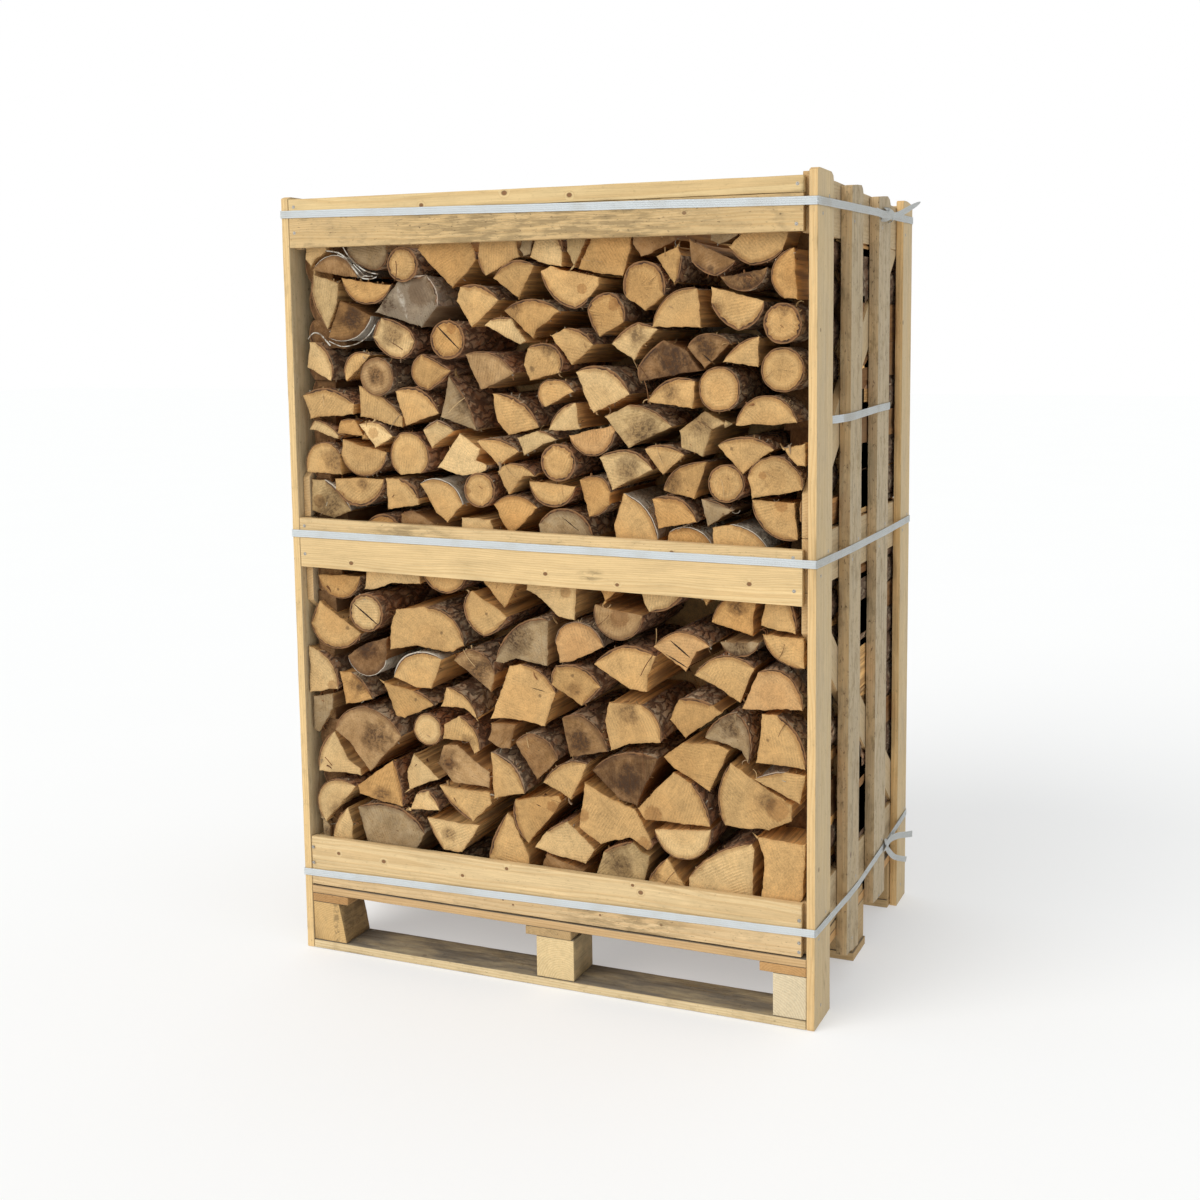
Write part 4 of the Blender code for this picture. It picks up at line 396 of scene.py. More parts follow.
# Rows of logs along the depth.
FRONT_ROW_FACE_Y = -0.3862
MIDDLE_ROW_FACE_Y = -0.1255
BACK_ROW_FACE_Y = 0.3862
LOG_LENGTH = 0.2495
# Height range of the course that no opening shows, on the deck behind the bottom bands.
HIDDEN_COURSE_LOW = 14.9
HIDDEN_COURSE_HIGH = 21.6
HIDDEN_COURSE_COUNT = 13
STACK_HALF_WIDTH = 56.0
SIDE_LOGS_TOP = 158.0
SIDE_RECESS_LEFT = 0.016
# Half widths that logs keep to between the slats, and where rails stand inside them.
SLAT_LIMIT_X = 0.5778
RAIL_LIMIT_X = 0.5608
RAIL_ZONES = ((0.146, 0.260), (0.874, 0.988), (1.562, 1.683))

# Boards.
BOARD_EDGE_ROUNDING = 0.0013
BOARD_CUT_SPACING = 0.022
BOARD_WEAR = 0.0007

# Camera of the photograph: place, turn and tilt in degrees, focal length on a 36 mm sensor and shift.
CAMERA_PLACE = (1.3888, -3.1596, 1.3805)
CAMERA_YAW = 21.963
CAMERA_PITCH = 6.684
CAMERA_ROLL = -0.458
CAMERA_LENS = 45.29
CAMERA_SHIFT = (-0.05, -0.075)

# How logs are cut and worn, in metres: how far outlines are drawn in, where the wood's bark thins out, how
# thick bark is, the worn edge of a sawn end, and how deep an end may lie behind the row's face.
SHARP_ANGLE = math.radians(38.0)
OUTLINE_INSET = 0.0007
BARK_FADE = 0.010
BARK_THICKNESS = (0.0018, 0.0062)
RIM_WIDTH = 0.0036
CAP_RECESS = 0.0009
END_STAND_OUT = 0.0036
DEEPEST_RECESS = 0.0075
LARGEST_GIRTH = 0.16
# Logs of the uppermost course were measured up to this height, in centimetres, and get a natural top.
TOP_CUT_Z = 159.4
TOP_BULGE = 0.13
# Heights of the bands, where log ends stay back, and how far.
BAND_ZONES = ((0.150, 0.262), (0.850, 0.986), (1.566, 1.674))
BAND_SETBACK = 0.0068
# Sloping braces: lower and upper edge at the middle of the depth, the slope, and the room kept beside them.
BRACE_LINES = ((1.293, 1.388, 0.83), (0.505, 0.600, -0.77))
BRACE_MARGIN = 0.004
BRACE_SLOPES = {"brace_upper": 0.83, "brace_lower": -0.77}

# Straps: section, the half loop round the right side seen from above, and the heights at the corners.
STRAP_WIDTH = 0.016
STRAP_THICKNESS = 0.0011
STRAP_CORNER = 0.0016
STRAP_HALF_LOOP = ((0.5985, -0.4005), (0.6045, -0.1735), (0.6045, -0.0825), (0.6025, 0.1655),
                   (0.5985, 0.4005))
STRAP_HEIGHTS = {
    "top": ((1.6240, 1.6277, 1.6292, 1.6332, 1.6370), (1.640, 1.642)),
    "middle": ((0.9380, 0.9369, 0.9364, 0.9352, 0.9340), (0.949, 0.944)),
    "bottom": ((0.2025, 0.1985, 0.1965, 0.2025, 0.2076), (0.177, 0.195)),
}
# Wraps of the knots and the tails that leave them: points (x, y, z) with the direction that they face, and
# the width.
STRAP_ENDS = {
    "top": (
        (((0.6035, 0.026, 1.6330, 1.0, -0.2, 0.0), (0.6100, 0.055, 1.6290, 1.0, -0.5, -0.2),
          (0.6150, 0.088, 1.6300, 1.0, -0.4, 0.1), (0.6140, 0.118, 1.6360, 1.0, 0.1, 0.3),
          (0.6060, 0.136, 1.6440, 0.7, 0.0, 0.9)), 0.016),
        (((0.6040, 0.072, 1.6210, 1.0, 0.0, -0.8), (0.6130, 0.080, 1.6240, 1.0, -0.3, -0.4),
          (0.6175, 0.098, 1.6320, 1.0, -0.4, 0.0), (0.6150, 0.112, 1.6400, 1.0, -0.3, 0.4),
          (0.6050, 0.120, 1.6450, 0.6, 0.0, 0.9)), 0.020),
        (((0.6040, 0.150, 1.6190, 0.9, 0.0, -0.8), (0.6130, 0.140, 1.6230, 1.0, -0.2, -0.4),
          (0.6180, 0.122, 1.6300, 1.0, -0.4, 0.0), (0.6160, 0.100, 1.6370, 1.0, -0.3, 0.3),
          (0.6050, 0.090, 1.6440, 0.6, 0.0, 0.9)), 0.014),
        (((0.6120, 0.112, 1.6290, 1.0, -0.4, 0.0), (0.6140, 0.135, 1.6308, 1.0, -0.5, 0.1),
          (0.6165, 0.170, 1.6355, 1.0, -0.5, 0.1), (0.6215, 0.210, 1.6448, 1.0, -0.5, 0.1),
          (0.6300, 0.255, 1.6585, 1.0, -0.5, 0.0, 0.90), (0.6365, 0.283, 1.6675, 1.0, -0.5, -0.1, 0.55),
          (0.6392, 0.292, 1.6712, 1.0, -0.5, -0.1, 0.15)), 0.0125),
    ),
    "bottom": (
        (((0.6040, 0.142, 0.1935, 1.0, 0.0, -0.7), (0.6090, 0.147, 0.1985, 1.0, 0.0, -0.2),
          (0.6105, 0.154, 0.2060, 1.0, 0.0, 0.1), (0.6065, 0.162, 0.2150, 1.0, 0.0, 0.8)), 0.015),
        (((0.6040, 0.168, 0.1940, 1.0, 0.0, -0.6), (0.6095, 0.162, 0.1995, 1.0, 0.0, 0.0),
          (0.6110, 0.153, 0.2085, 1.0, 0.0, 0.1), (0.6060, 0.145, 0.2150, 1.0, 0.0, 0.6)), 0.013),
        (((0.6080, 0.158, 0.2055, 1.0, -0.1, 0.0), (0.6090, 0.195, 0.2065, 1.0, -0.1, 0.1),
          (0.6130, 0.250, 0.1970, 1.0, -0.1, 0.0), (0.6220, 0.300, 0.1850, 1.0, -0.2, -0.1),
          (0.6290, 0.330, 0.1780, 0.9, -0.3, 0.1)), 0.015),
        (((0.6080, 0.156, 0.2020, 1.0, -0.1, 0.0), (0.6085, 0.166, 0.1900, 1.0, -0.1, -0.3),
          (0.6120, 0.208, 0.1610, 1.0, -0.1, -0.4), (0.6145, 0.262, 0.1380, 1.0, -0.1, -0.2),
          (0.6160, 0.327, 0.1140, 1.0, 0.0, -0.1)), 0.013),
    ),
}
TIE_PATH = ((0.5720, -0.262, 1.2060, 0.83, -0.55, 0.0), (0.5900, -0.235, 1.2070, 0.92, -0.40, 0.0),
            (0.6046, -0.176, 1.2090, 0.98, -0.12, 0.0), (0.6046, -0.084, 1.2110, 1.0, 0.0, 0.0),
            (0.6028, 0.060, 1.2140, 1.0, 0.0, 0.0), (0.6028, 0.162, 1.2150, 0.95, 0.2, 0.0),
            (0.5990, 0.1668, 1.2150, 0.2, 0.95, 0.0), (0.5815, 0.1672, 1.2150, 0.0, 1.0, 0.0))

# Nails: seen in the front's boards (x, z), the slats' middle lines with their outer faces (y, x), the rails'
# heights, nails at the slats' feet (y, z), and the ends of the back's boards.
NAILS_SEEN_IN_FRONT = ((-0.567, 0.966), (-0.568, 0.904), (0.553, 0.884), (0.551, 0.949), (0.556, 1.582),
                       (0.558, 1.656), (0.565, 0.225), (0.565, 0.179), (0.565, 0.160), (-0.574, 0.236),
                       (-0.574, 0.200), (-0.566, 1.600), (-0.566, 1.655))
SLAT_NAIL_LINES = ((-0.344, 0.598), (-0.130, 0.604), (0.112, 0.602), (0.355, 0.598))
SLAT_NAIL_HEIGHTS = (0.203, 0.931, 1.619)
SLAT_FOOT_NAILS = ((-0.356, 0.038), (-0.135, 0.093), (0.112, 0.098), (0.350, 0.041))
BACK_NAIL_LINES = (-0.563, 0.561)

# Loose bark and splinters: how many places are tried on a log end, their colours, places of torn fibres
# along the top band in centimetres, and white birch strips: paths (x and z in centimetres, y in metres, how
# far the strip faces up) and their width.
SHREDS_PER_LOG = 8
SHRED_TONES = (srgb(206, 174, 126), srgb(150, 106, 68), srgb(112, 76, 48), srgb(164, 138, 108),
               srgb(170, 136, 92), srgb(176, 166, 146))
TORN_FIBRES = (-28.5, -27.2, -25.8, -24.0, -14.5, -12.0, -3.0, -1.0, 4.5, 6.0, 17.0, 20.0, 28.0, 33.0, 44.0)
BIRCH_STRIPS = (
    (((-49.8, -0.3850, 156.1, 0.6), (-46.8, -0.3880, 155.7, 0.4), (-44.9, -0.3890, 154.7, 0.3),
      (-43.4, -0.3885, 153.0, 0.2), (-42.1, -0.3880, 151.5, 0.1), (-40.8, -0.3870, 150.2, 0.4),
      (-38.6, -0.3870, 149.9, 0.8), (-37.2, -0.3860, 150.3, 0.9)), 0.0030),
    (((-47.0, -0.3830, 155.2, 0.6), (-44.4, -0.3850, 154.0, 0.4), (-42.9, -0.3860, 152.3, 0.2),
      (-41.4, -0.3850, 150.6, 0.1), (-39.6, -0.3840, 150.7, 0.4)), 0.0022),
    (((-45.9, -0.3800, 157.2, 0.2), (-44.9, -0.3820, 155.7, 0.2), (-43.1, -0.3840, 153.8, 0.3),
      (-40.7, -0.3850, 152.0, 0.4), (-38.6, -0.3850, 151.2, 0.6), (-36.9, -0.3840, 150.9, 0.8)), 0.0026),
    (((-43.0, -0.3835, 153.1, 0.2), (-41.4, -0.3850, 151.7, 0.2), (-40.0, -0.3860, 150.6, 0.3),
      (-38.2, -0.3855, 150.5, 0.4)), 0.0018),
    (((-49.6, -0.3860, 136.9, -0.6), (-46.5, -0.3880, 135.8, -0.6), (-43.7, -0.3880, 136.0, -0.5),
      (-41.2, -0.3875, 136.9, -0.3), (-39.1, -0.3870, 138.5, -0.2), (-37.9, -0.3860, 140.3, 0.0)), 0.0022),
    (((-55.0, -0.3850, 137.4, 0.6), (-53.4, -0.3880, 138.6, 0.6), (-51.7, -0.3880, 138.4, 0.4),
      (-50.4, -0.3870, 137.1, 0.1), (-49.3, -0.3860, 135.9, 0.0)), 0.0030),
)


class LogSide(IntEnum):
    """Which finish a face of a log has."""

    SAWN = 0
    SPLIT = 1
    BARK = 2
    CUT_BARK = 3


class Signal:
    """One output of a shader node, on which arithmetic adds Math nodes."""

    def __init__(self, graph: Graph, socket: bpy.types.NodeSocket) -> None:
        """Keep the graph and the output socket."""
        self.graph = graph
        self.socket = socket

    def __add__(self, other: Signal | float) -> Signal:
        """Add."""
        return self.graph.math("ADD", self, other)

    __radd__ = __add__

    def __sub__(self, other: Signal | float) -> Signal:
        """Subtract."""
        return self.graph.math("SUBTRACT", self, other)

    def __rsub__(self, other: float) -> Signal:
        """Subtract this from a number."""
        return self.graph.math("SUBTRACT", other, self)

    def __mul__(self, other: Signal | float) -> Signal:
        """Multiply."""
        return self.graph.math("MULTIPLY", self, other)

    __rmul__ = __mul__

    def __truediv__(self, other: Signal | float) -> Signal:
        """Divide."""
        return self.graph.math("DIVIDE", self, other)

    def __pow__(self, other: Signal | float) -> Signal:
        """Raise to a power."""
        return self.graph.math("POWER", self, other)

    def least(self, other: Signal | float) -> Signal:
        """Take the smaller of two values."""
        return self.graph.math("MINIMUM", self, other)

    def most(self, other: Signal | float) -> Signal:
        """Take the larger of two values."""
        return self.graph.math("MAXIMUM", self, other)

    def sine(self) -> Signal:
        """Take the sine."""
        return self.graph.math("SINE", self)

    def size(self) -> Signal:
        """Drop the sign."""
        return self.graph.math("ABSOLUTE", self)

    def step(self, low: float, high: float) -> Signal:
        """Rise smoothly from 0 at one value to 1 at another, or fall where the first is the larger.

        Args:
            low: Value at which the result is 0.
            high: Value at which the result is 1.

        Returns:
            The smooth step.
        """
        falling = low > high
        ends = {"From Min": min(low, high), "From Max": max(low, high), "To Min": 1.0 if falling else 0.0,
                "To Max": 0.0 if falling else 1.0, "Value": self}
        return self.graph.node("ShaderNodeMapRange", {"interpolation_type": "SMOOTHSTEP"}, ends)


class Graph:
    """One material's node tree, with one method that adds any node."""

    def __init__(self, name: str) -> None:
        """Start an empty material.

        Args:
            name: The material's name.
        """
        self.material = bpy.data.materials.new(name)
        self.material.use_nodes = True
        self.tree = self.material.node_tree
        self.tree.nodes.clear()

    def node(self, kind: str, settings: dict | None = None, inputs: dict | None = None,
             output: int | str = 0) -> Signal:
        """Add a node, set it up and give one of its outputs.

        Args:
            kind: The node's type.
            settings: Properties of the node, set first; "stops" holds a ramp's places and colours.
            inputs: Values or signals of its sockets, by name or number.
            output: Name or number of the output to return.

        Returns:
            The chosen output.
        """
        made = self.tree.nodes.new(kind)
        for key, value in (settings or {}).items():
            if key == "stops":
                self._set_stops(made.color_ramp, value)
            else:
                setattr(made, key, value)
        for key, value in (inputs or {}).items():
            if isinstance(value, Signal):
                self.tree.links.new(value.socket, made.inputs[key])
            elif isinstance(value, tuple) and made.inputs[key].type == "RGBA":
                made.inputs[key].default_value = (*value, 1.0)
            else:
                made.inputs[key].default_value = value
        return Signal(self, made.outputs[output])

    @staticmethod
    def _set_stops(ramp: bpy.types.ColorRamp, stops: Sequence[tuple[float, Colour]]) -> None:
        """Give a ramp its stops.

        Args:
            ramp: The ramp.
            stops: Places from 0 to 1, each with its colour.
        """
        while len(ramp.elements) < len(stops):
            ramp.elements.new(0.5)
        for element, (place, colour) in zip(ramp.elements, stops):
            element.position = place
            element.color = (*colour, 1.0)

    def math(self, operation: str, first: Signal | float, second: Signal | float | None = None) -> Signal:
        """Add a Math node.

        Args:
            operation: Blender's name of the operation.
            first: The first value.
            second: The second value, where it takes one.

        Returns:
            The result.
        """
        inputs = {0: first}
        if second is not None:
            inputs[1] = second
        return self.node("ShaderNodeMath", {"operation": operation}, inputs)

    def vector(self, operation: str, first: Signal | Point, second: Signal | Point | None = None,
               output: int | str = 0) -> Signal:
        """Add a Vector Math node.

        Args:
            operation: Blender's name of the operation.
            first: The first vector.
            second: The second vector, where it takes one.
            output: Which output is wanted.

        Returns:
            The result.
        """
        inputs = {0: first}
        if second is not None:
            inputs[1] = second
        return self.node("ShaderNodeVectorMath", {"operation": operation}, inputs, output)

    def join(self, x: Signal | float, y: Signal | float, z: Signal | float) -> Signal:
        """Make a vector of three values."""
        return self.node("ShaderNodeCombineXYZ", None, {0: x, 1: y, 2: z})

    def split(self, vector: Signal) -> tuple[Signal, Signal, Signal]:
        """Take a vector's three values.

        Args:
            vector: The vector.

        Returns:
            Its three values.
        """
        first = self.node("ShaderNodeSeparateXYZ", None, {0: vector})
        outputs = first.socket.node.outputs
        return (first, Signal(self, outputs[1]), Signal(self, outputs[2]))

    def attribute(self, name: str) -> Signal:
        """Read a point attribute as a vector or colour."""
        return self.node("ShaderNodeAttribute", {"attribute_name": name}, None, "Vector")

    def here(self) -> Signal:
        """Read the place on the crate in object coordinates."""
        return self.node("ShaderNodeTexCoord", None, None, "Object")

    def noise(self, place: Signal, scale: float, detail: float = 2.0, roughness: float = 0.5,
              distortion: float = 0.0) -> Signal:
        """Add a noise that runs from about 0.2 to 0.8 around 0.5.

        Args:
            place: Where the noise is read.
            scale: How fine it is.
            detail: How many finer layers it has.
            roughness: How strong they are.
            distortion: How far it is bent.

        Returns:
            The noise.
        """
        return self.node("ShaderNodeTexNoise", {"noise_dimensions": "3D"},
                         {"Vector": place, "Scale": scale, "Detail": detail, "Roughness": roughness,
                          "Distortion": distortion}, 0)

    def cells(self, place: Signal, scale: float, feature: str = "F1", randomness: float = 1.0) -> Signal:
        """Add a cell pattern and give the distance in it."""
        return self.node("ShaderNodeTexVoronoi", {"feature": feature},
                         {"Vector": place, "Scale": scale, "Randomness": randomness}, "Distance")

    def tinted(self, share: Signal | float, colour: Signal | Colour, factors: Colour) -> Signal:
        """Darken a colour by factors for red, green and blue, to the share that is given."""
        return self.mix(share, colour, self.vector("MULTIPLY", colour, factors))

    def mix(self, share: Signal | float, first: Signal | Colour, second: Signal | Colour,
            blend: str = "MIX") -> Signal:
        """Blend two colours."""
        return self.node("ShaderNodeMix", {"data_type": "RGBA", "blend_type": blend, "clamp_factor": True},
                         {0: share, 6: first, 7: second}, 2)

    def brighten(self, colour: Signal, amount: Signal) -> Signal:
        """Multiply a colour by an amount."""
        return self.vector("MULTIPLY", colour, self.join(amount, amount, amount))

    def finish(self, colour: Signal, roughness: Signal | float, height: Signal | None = None,
               depth: float = 0.001, coat: float = 0.0, metal: float = 0.0,
               sheen: float = 0.0, specular: float = 0.35) -> bpy.types.Material:
        """Close the graph with a Principled shader.

        Args:
            colour: Base colour.
            roughness: Roughness.
            height: Height of the relief, 0 to 1.
            depth: What a height of 1 stands for, in metres.
            coat: Coat weight.
            metal: Metallic value.
            sheen: Sheen weight.
            specular: Specular level.

        Returns:
            The finished material.
        """
        inputs = {"Base Color": colour, "Roughness": roughness, "Coat Weight": coat, "Metallic": metal,
                  "Sheen Weight": sheen, "Specular IOR Level": specular}
        if height is not None:
            inputs["Normal"] = self.node("ShaderNodeBump", None,
                                         {"Strength": 1.0, "Distance": depth, "Height": height})
        shader = self.node("ShaderNodeBsdfPrincipled", None, inputs)
        self.node_output(shader)
        return self.material

    def node_output(self, shader: Signal) -> None:
        """Link a shader to the material's output."""
        made = self.tree.nodes.new("ShaderNodeOutputMaterial")
        self.tree.links.new(shader.socket, made.inputs["Surface"])


def draw(seed: float, what: float) -> float:
    """Draw a number from 0 to 1 for one thing (what) of one piece (seed), the same each run."""
    value = math.sin(seed * 12.9898 + what * 78.233) * 43758.5453
    return value - math.floor(value)


def smooth(value: float, low: float, high: float) -> float:
    """Rise smoothly from 0 at low to 1 at high."""
    share = min(1.0, max(0.0, (value - low) / (high - low)))
    return share * share * (3.0 - 2.0 * share)


class Draft:
    """A mesh in the making: points, faces with the number of their finish, and vectors at the points."""

    def __init__(self) -> None:
        """Start empty."""
        self.points: list[Point] = []
        self.faces: list[tuple[int, ...]] = []
        self.finishes: list[int] = []
        self.vectors: dict[str, list[Point]] = {}

    def add_points(self, points: Sequence[Point], **vectors: Point | Sequence[Point]) -> int:
        """Add points with their vectors.

        Args:
            points: The points.
            **vectors: For each name one vector for all of the points, or a list with one for each.

        Returns:
            The number of the first new point.
        """
        first = len(self.points)
        self.points.extend(points)
        for name, value in vectors.items():
            layer = self.vectors.setdefault(name, [(0.0, 0.0, 0.0)] * first)
            layer.extend(value if isinstance(value, list) else [value] * len(points))
        return first

    def add_face(self, corners: tuple[int, ...], finish: int) -> None:
        """Add one face."""
        self.faces.append(corners)
        self.finishes.append(finish)

    def make(self, name: str, materials: Sequence[bpy.types.Material], smooth_faces: bool = True
             ) -> bpy.types.Object:
        """Turn the draft into an object.

        Args:
            name: The object's name.
            materials: One material for each finish number.
            smooth_faces: Shade smoothly over edges below a set angle.

        Returns:
            The object, linked to the scene, at the origin.
        """
        mesh = bpy.data.meshes.new(name)
        mesh.from_pydata(self.points, [], self.faces)
        mesh.polygons.foreach_set("material_index", self.finishes)
        for label, values in self.vectors.items():
            layer = mesh.attributes.new(label, "FLOAT_VECTOR", "POINT")
            layer.data.foreach_set("vector", np.asarray(values, dtype=np.float32).ravel())
        for material in materials:
            mesh.materials.append(material)
        mesh.validate()
        if smooth_faces:
            mesh.polygons.foreach_set("use_smooth", [True] * len(mesh.polygons))
            mesh.set_sharp_from_angle(angle=SHARP_ANGLE)
        mesh.update()
        item = bpy.data.objects.new(name, mesh)
        bpy.context.scene.collection.objects.link(item)
        return item


@dataclass
class Outline:
    """A log's outline cut into short pieces.

    Attributes:
        points: Points (x, z) in metres, anticlockwise seen from the front.
        normals: Outward normals at the points.
        bark: How fully each point lies on bark, 0 to 1.
        on_bark: Whether the piece that leaves each point is bark.
        along: Length along the outline at each point.
        pith: Place of the pith.
        girth: Distance from the pith to the bark.
    """

    points: list[Flat]
    normals: list[Flat]
    bark: list[float]
    on_bark: list[bool]
    along: list[float]
    pith: Flat
    girth: float


class OutlineCutter:
    """Turns the corners of a log end into a finely cut outline."""

    def __init__(self, end: LogEnd, number: int, shift_z: float, spacing: float) -> None:
        """Keep the log end.

        Args:
            end: The log end.
            number: Its number, the seed of all that varies.
            shift_z: How far it is moved up, in metres.
            spacing: Length of the outline's pieces in metres.
        """
        self.end = end
        self.number = number
        self.shift_z = shift_z
        self.spacing = spacing

    def place(self, x: float, z: float) -> Flat:
        """Turn a measured point in centimetres into a point of the crate in metres.

        Args:
            x: Place across, in centimetres.
            z: Height, in centimetres.

        Returns:
            The point in metres.
        """
        if -100.0 < x < SQUEEZE_LEFT_OF:
            x = SQUEEZE_LEFT_OF + (x - SQUEEZE_LEFT_OF) * SQUEEZE_SHARE
        return (x / 100.0, z / 100.0 + self.shift_z)

    def _bulge(self, corner: tuple[float, ...], following: tuple[float, ...]) -> float:
        """Give the bulge of a side; a flat top on the uppermost course gets a natural one.

        Args:
            corner: The corner that the side leaves.
            following: The corner that it reaches.

        Returns:
            The bulge, as a share of the chord.
        """
        if len(corner) > 2:
            return corner[2]
        on_top = min(corner[1], following[1]) > TOP_CUT_Z
        return TOP_BULGE if on_top else 0.0

    def cut(self) -> Outline:
        """Cut the outline.

        Returns:
            The outline with its normals, bark and pith.
        """
        corners = self.end.corners
        points: list[Flat] = []
        on_bark: list[bool] = []
        best_chord = 0.0
        pith: Flat | None = None
        girth = 0.1
        for index, corner in enumerate(corners):
            following = corners[(index + 1) % len(corners)]
            start = self.place(corner[0], corner[1])
            stop = self.place(following[0], following[1])
            bulge = self._bulge(corner, following)
            side, centre, radius = self._side(start, stop, bulge)
            points += side
            on_bark += [bulge > 0.0] * len(side)
            chord = math.dist(start, stop)
            if bulge > 0.0 and chord > best_chord:
                best_chord = chord
                pith = centre
                girth = radius
        if pith is None:
            pith, girth = self._pith_outside(points)
        along = [0.0]
        for index in range(1, len(points)):
            along.append(along[-1] + math.dist(points[index - 1], points[index]))
        normals = outline_normals(points)
        return Outline(points, normals, self._bark_share(points, on_bark), on_bark, along, pith, girth)

    def _side(self, start: Flat, stop: Flat, bulge: float) -> tuple[list[Flat], Flat, float]:
        """Cut one side, from its first corner up to but not with the next one.

        Args:
            start: First corner.
            stop: Next corner.
            bulge: Height of the arc as a part of the chord, or 0 for a straight side.

        Returns:
            The points, and the place and distance of the pith that the arc belongs to.
        """
        chord = math.dist(start, stop)
        direction = ((stop[0] - start[0]) / chord, (stop[1] - start[1]) / chord)
        outward = (direction[1], -direction[0])
        if bulge <= 0.0:
            pieces = max(1, round(chord / self.spacing))
            return ([(start[0] + (stop[0] - start[0]) * step / pieces,
                      start[1] + (stop[1] - start[1]) * step / pieces) for step in range(pieces)],
                    start, chord)
        height = bulge * chord
        radius = (chord * chord / 4.0 + height * height) / (2.0 * height)
        middle = ((start[0] + stop[0]) / 2.0, (start[1] + stop[1]) / 2.0)
        centre = (middle[0] + outward[0] * (height - radius), middle[1] + outward[1] * (height - radius))
        first = math.atan2(start[1] - centre[1], start[0] - centre[0])
        last = math.atan2(stop[1] - centre[1], stop[0] - centre[0])
        while last <= first:
            last += 2.0 * math.pi
        pieces = max(2, round((last - first) * radius / self.spacing))
        points = []
        for step in range(pieces):
            angle = first + (last - first) * step / pieces
            points.append((centre[0] + radius * math.cos(angle), centre[1] + radius * math.sin(angle)))
        girth = min(radius, LARGEST_GIRTH)
        pith = (middle[0] + outward[0] * (height - girth), middle[1] + outward[1] * (height - girth))
        return points, pith, girth

    def _pith_outside(self, points: Sequence[Flat]) -> tuple[Flat, float]:
        """Place the pith of a log without bark beside it.

        Args:
            points: The outline's points.

        Returns:
            The pith, and the log's girth.
        """
        middle = (sum(x for x, _ in points) / len(points), sum(z for _, z in points) / len(points))
        angle = 2.0 * math.pi * draw(self.number, 1.0)
        reach = 0.04 + 0.07 * draw(self.number, 2.0)
        return ((middle[0] + math.cos(angle) * reach, middle[1] + math.sin(angle) * reach), reach + 0.05)

    def _bark_share(self, points: Sequence[Flat], on_bark: Sequence[bool]) -> list[float]:
        """Work out how fully each point lies on bark: the bark thins out towards a split side.

        Args:
            points: The outline's points.
            on_bark: Whether the piece after each point is bark.

        Returns:
            For each point, from 0 on a split side to 1 on full bark.
        """
        count = len(points)
        steps_away = [count] * count
        for index in range(count):
            if not on_bark[index] or not on_bark[index - 1]:
                steps_away[index] = 0
        for _ in range(2):
            for index in range(count):
                steps_away[index] = min(steps_away[index], steps_away[index - 1] + 1)
            for index in reversed(range(count)):
                steps_away[index] = min(steps_away[index], steps_away[(index + 1) % count] + 1)
        return [smooth(steps * self.spacing, 0.0, BARK_FADE) if on_bark[index] or on_bark[index - 1] else 0.0
                for index, steps in enumerate(steps_away)]


def inset_limits(points: Sequence[Flat], normals: Sequence[Flat]) -> list[float]:
    """Work out how far each point of an outline may move inwards before it meets what another point does.

    Args:
        points: The outline.
        normals: Its outward normals.

    Returns:
        For each point a share of the largest circle inside the outline that touches it there.
    """
    start = np.array(points)
    inward = -np.array(normals)
    away = start[None, :, :] - start[:, None, :]
    along = (away * inward[:, None, :]).sum(axis=2)
    squares = (away ** 2).sum(axis=2)
    radii = np.where(along > 1e-7, squares / (2.0 * np.maximum(along, 1e-7)), 1.0)
    return [float(radius) for radius in 0.72 * radii.min(axis=1)]


def outline_normals(points: Sequence[Flat]) -> list[Flat]:
    """Work out the outward normals of an anticlockwise outline.

    Args:
        points: The outline's points.

    Returns:
        One unit vector for each point.
    """
    normals = []
    count = len(points)
    for index in range(count):
        before = points[index - 1]
        after = points[(index + 1) % count]
        span = max(1e-9, math.dist(before, after))
        normals.append(((after[1] - before[1]) / span, -(after[0] - before[0]) / span))
    return normals


def mirrored(corners: Sequence[tuple[float, ...]]) -> list[tuple[float, ...]]:
    """Exchange left and right of a log's corners; each bulge stays with its side.

    Args:
        corners: The corners, as a log end has them.

    Returns:
        The corners of the mirrored log end.
    """
    turned = []
    for index in reversed(range(len(corners))):
        bulge = corners[index - 1][2:]
        turned.append((-corners[index][0], corners[index][1], *bulge))
    return turned


@dataclass(frozen=True)
class LogRow:
    """One row of logs along the depth of the crate.

    Attributes:
        name: What its pieces' names start with.
        node: The solid of the frame that it stands for.
        face_y: Depth of its sawn face.
        outward: -1 where the face looks to the front, 1 where it looks to the back.
        spacing: Length of the pieces that outlines are cut into.
        swell: How much thicker the logs are than measured, which closes gaps that would be seen through.
        exchanged: Whether the two halves of the height are exchanged.
        mirrored: Whether left and right are exchanged.
        side_recess: How far behind the face the slim logs beside the panels begin.
        stations: Depths behind the face where the logs' sides have a ring of points.
    """

    name: str
    node: str
    face_y: float
    outward: float
    spacing: float
    swell: float
    exchanged: bool
    mirrored: bool
    side_recess: float
    stations: tuple[float, ...]

    def tip(self, number: int, outline: Outline) -> float:
        """Give the depth of one log's sawn end.

        Args:
            number: The log's number.
            outline: Its outline.

        Returns:
            The depth: a little recessed, and behind the boards where a band covers it.
        """
        low = min(z for _, z in outline.points)
        high = max(z for _, z in outline.points)
        if any(low < zone[1] and high > zone[0] for zone in BAND_ZONES):
            return self.face_y - self.outward * (BAND_SETBACK + 0.002 * draw(number, 3.0))
        stand_out = END_STAND_OUT * ((number * 7) % 5) / 4.0
        return self.face_y + self.outward * (stand_out - DEEPEST_RECESS * draw(number, 4.0) ** 2.0)


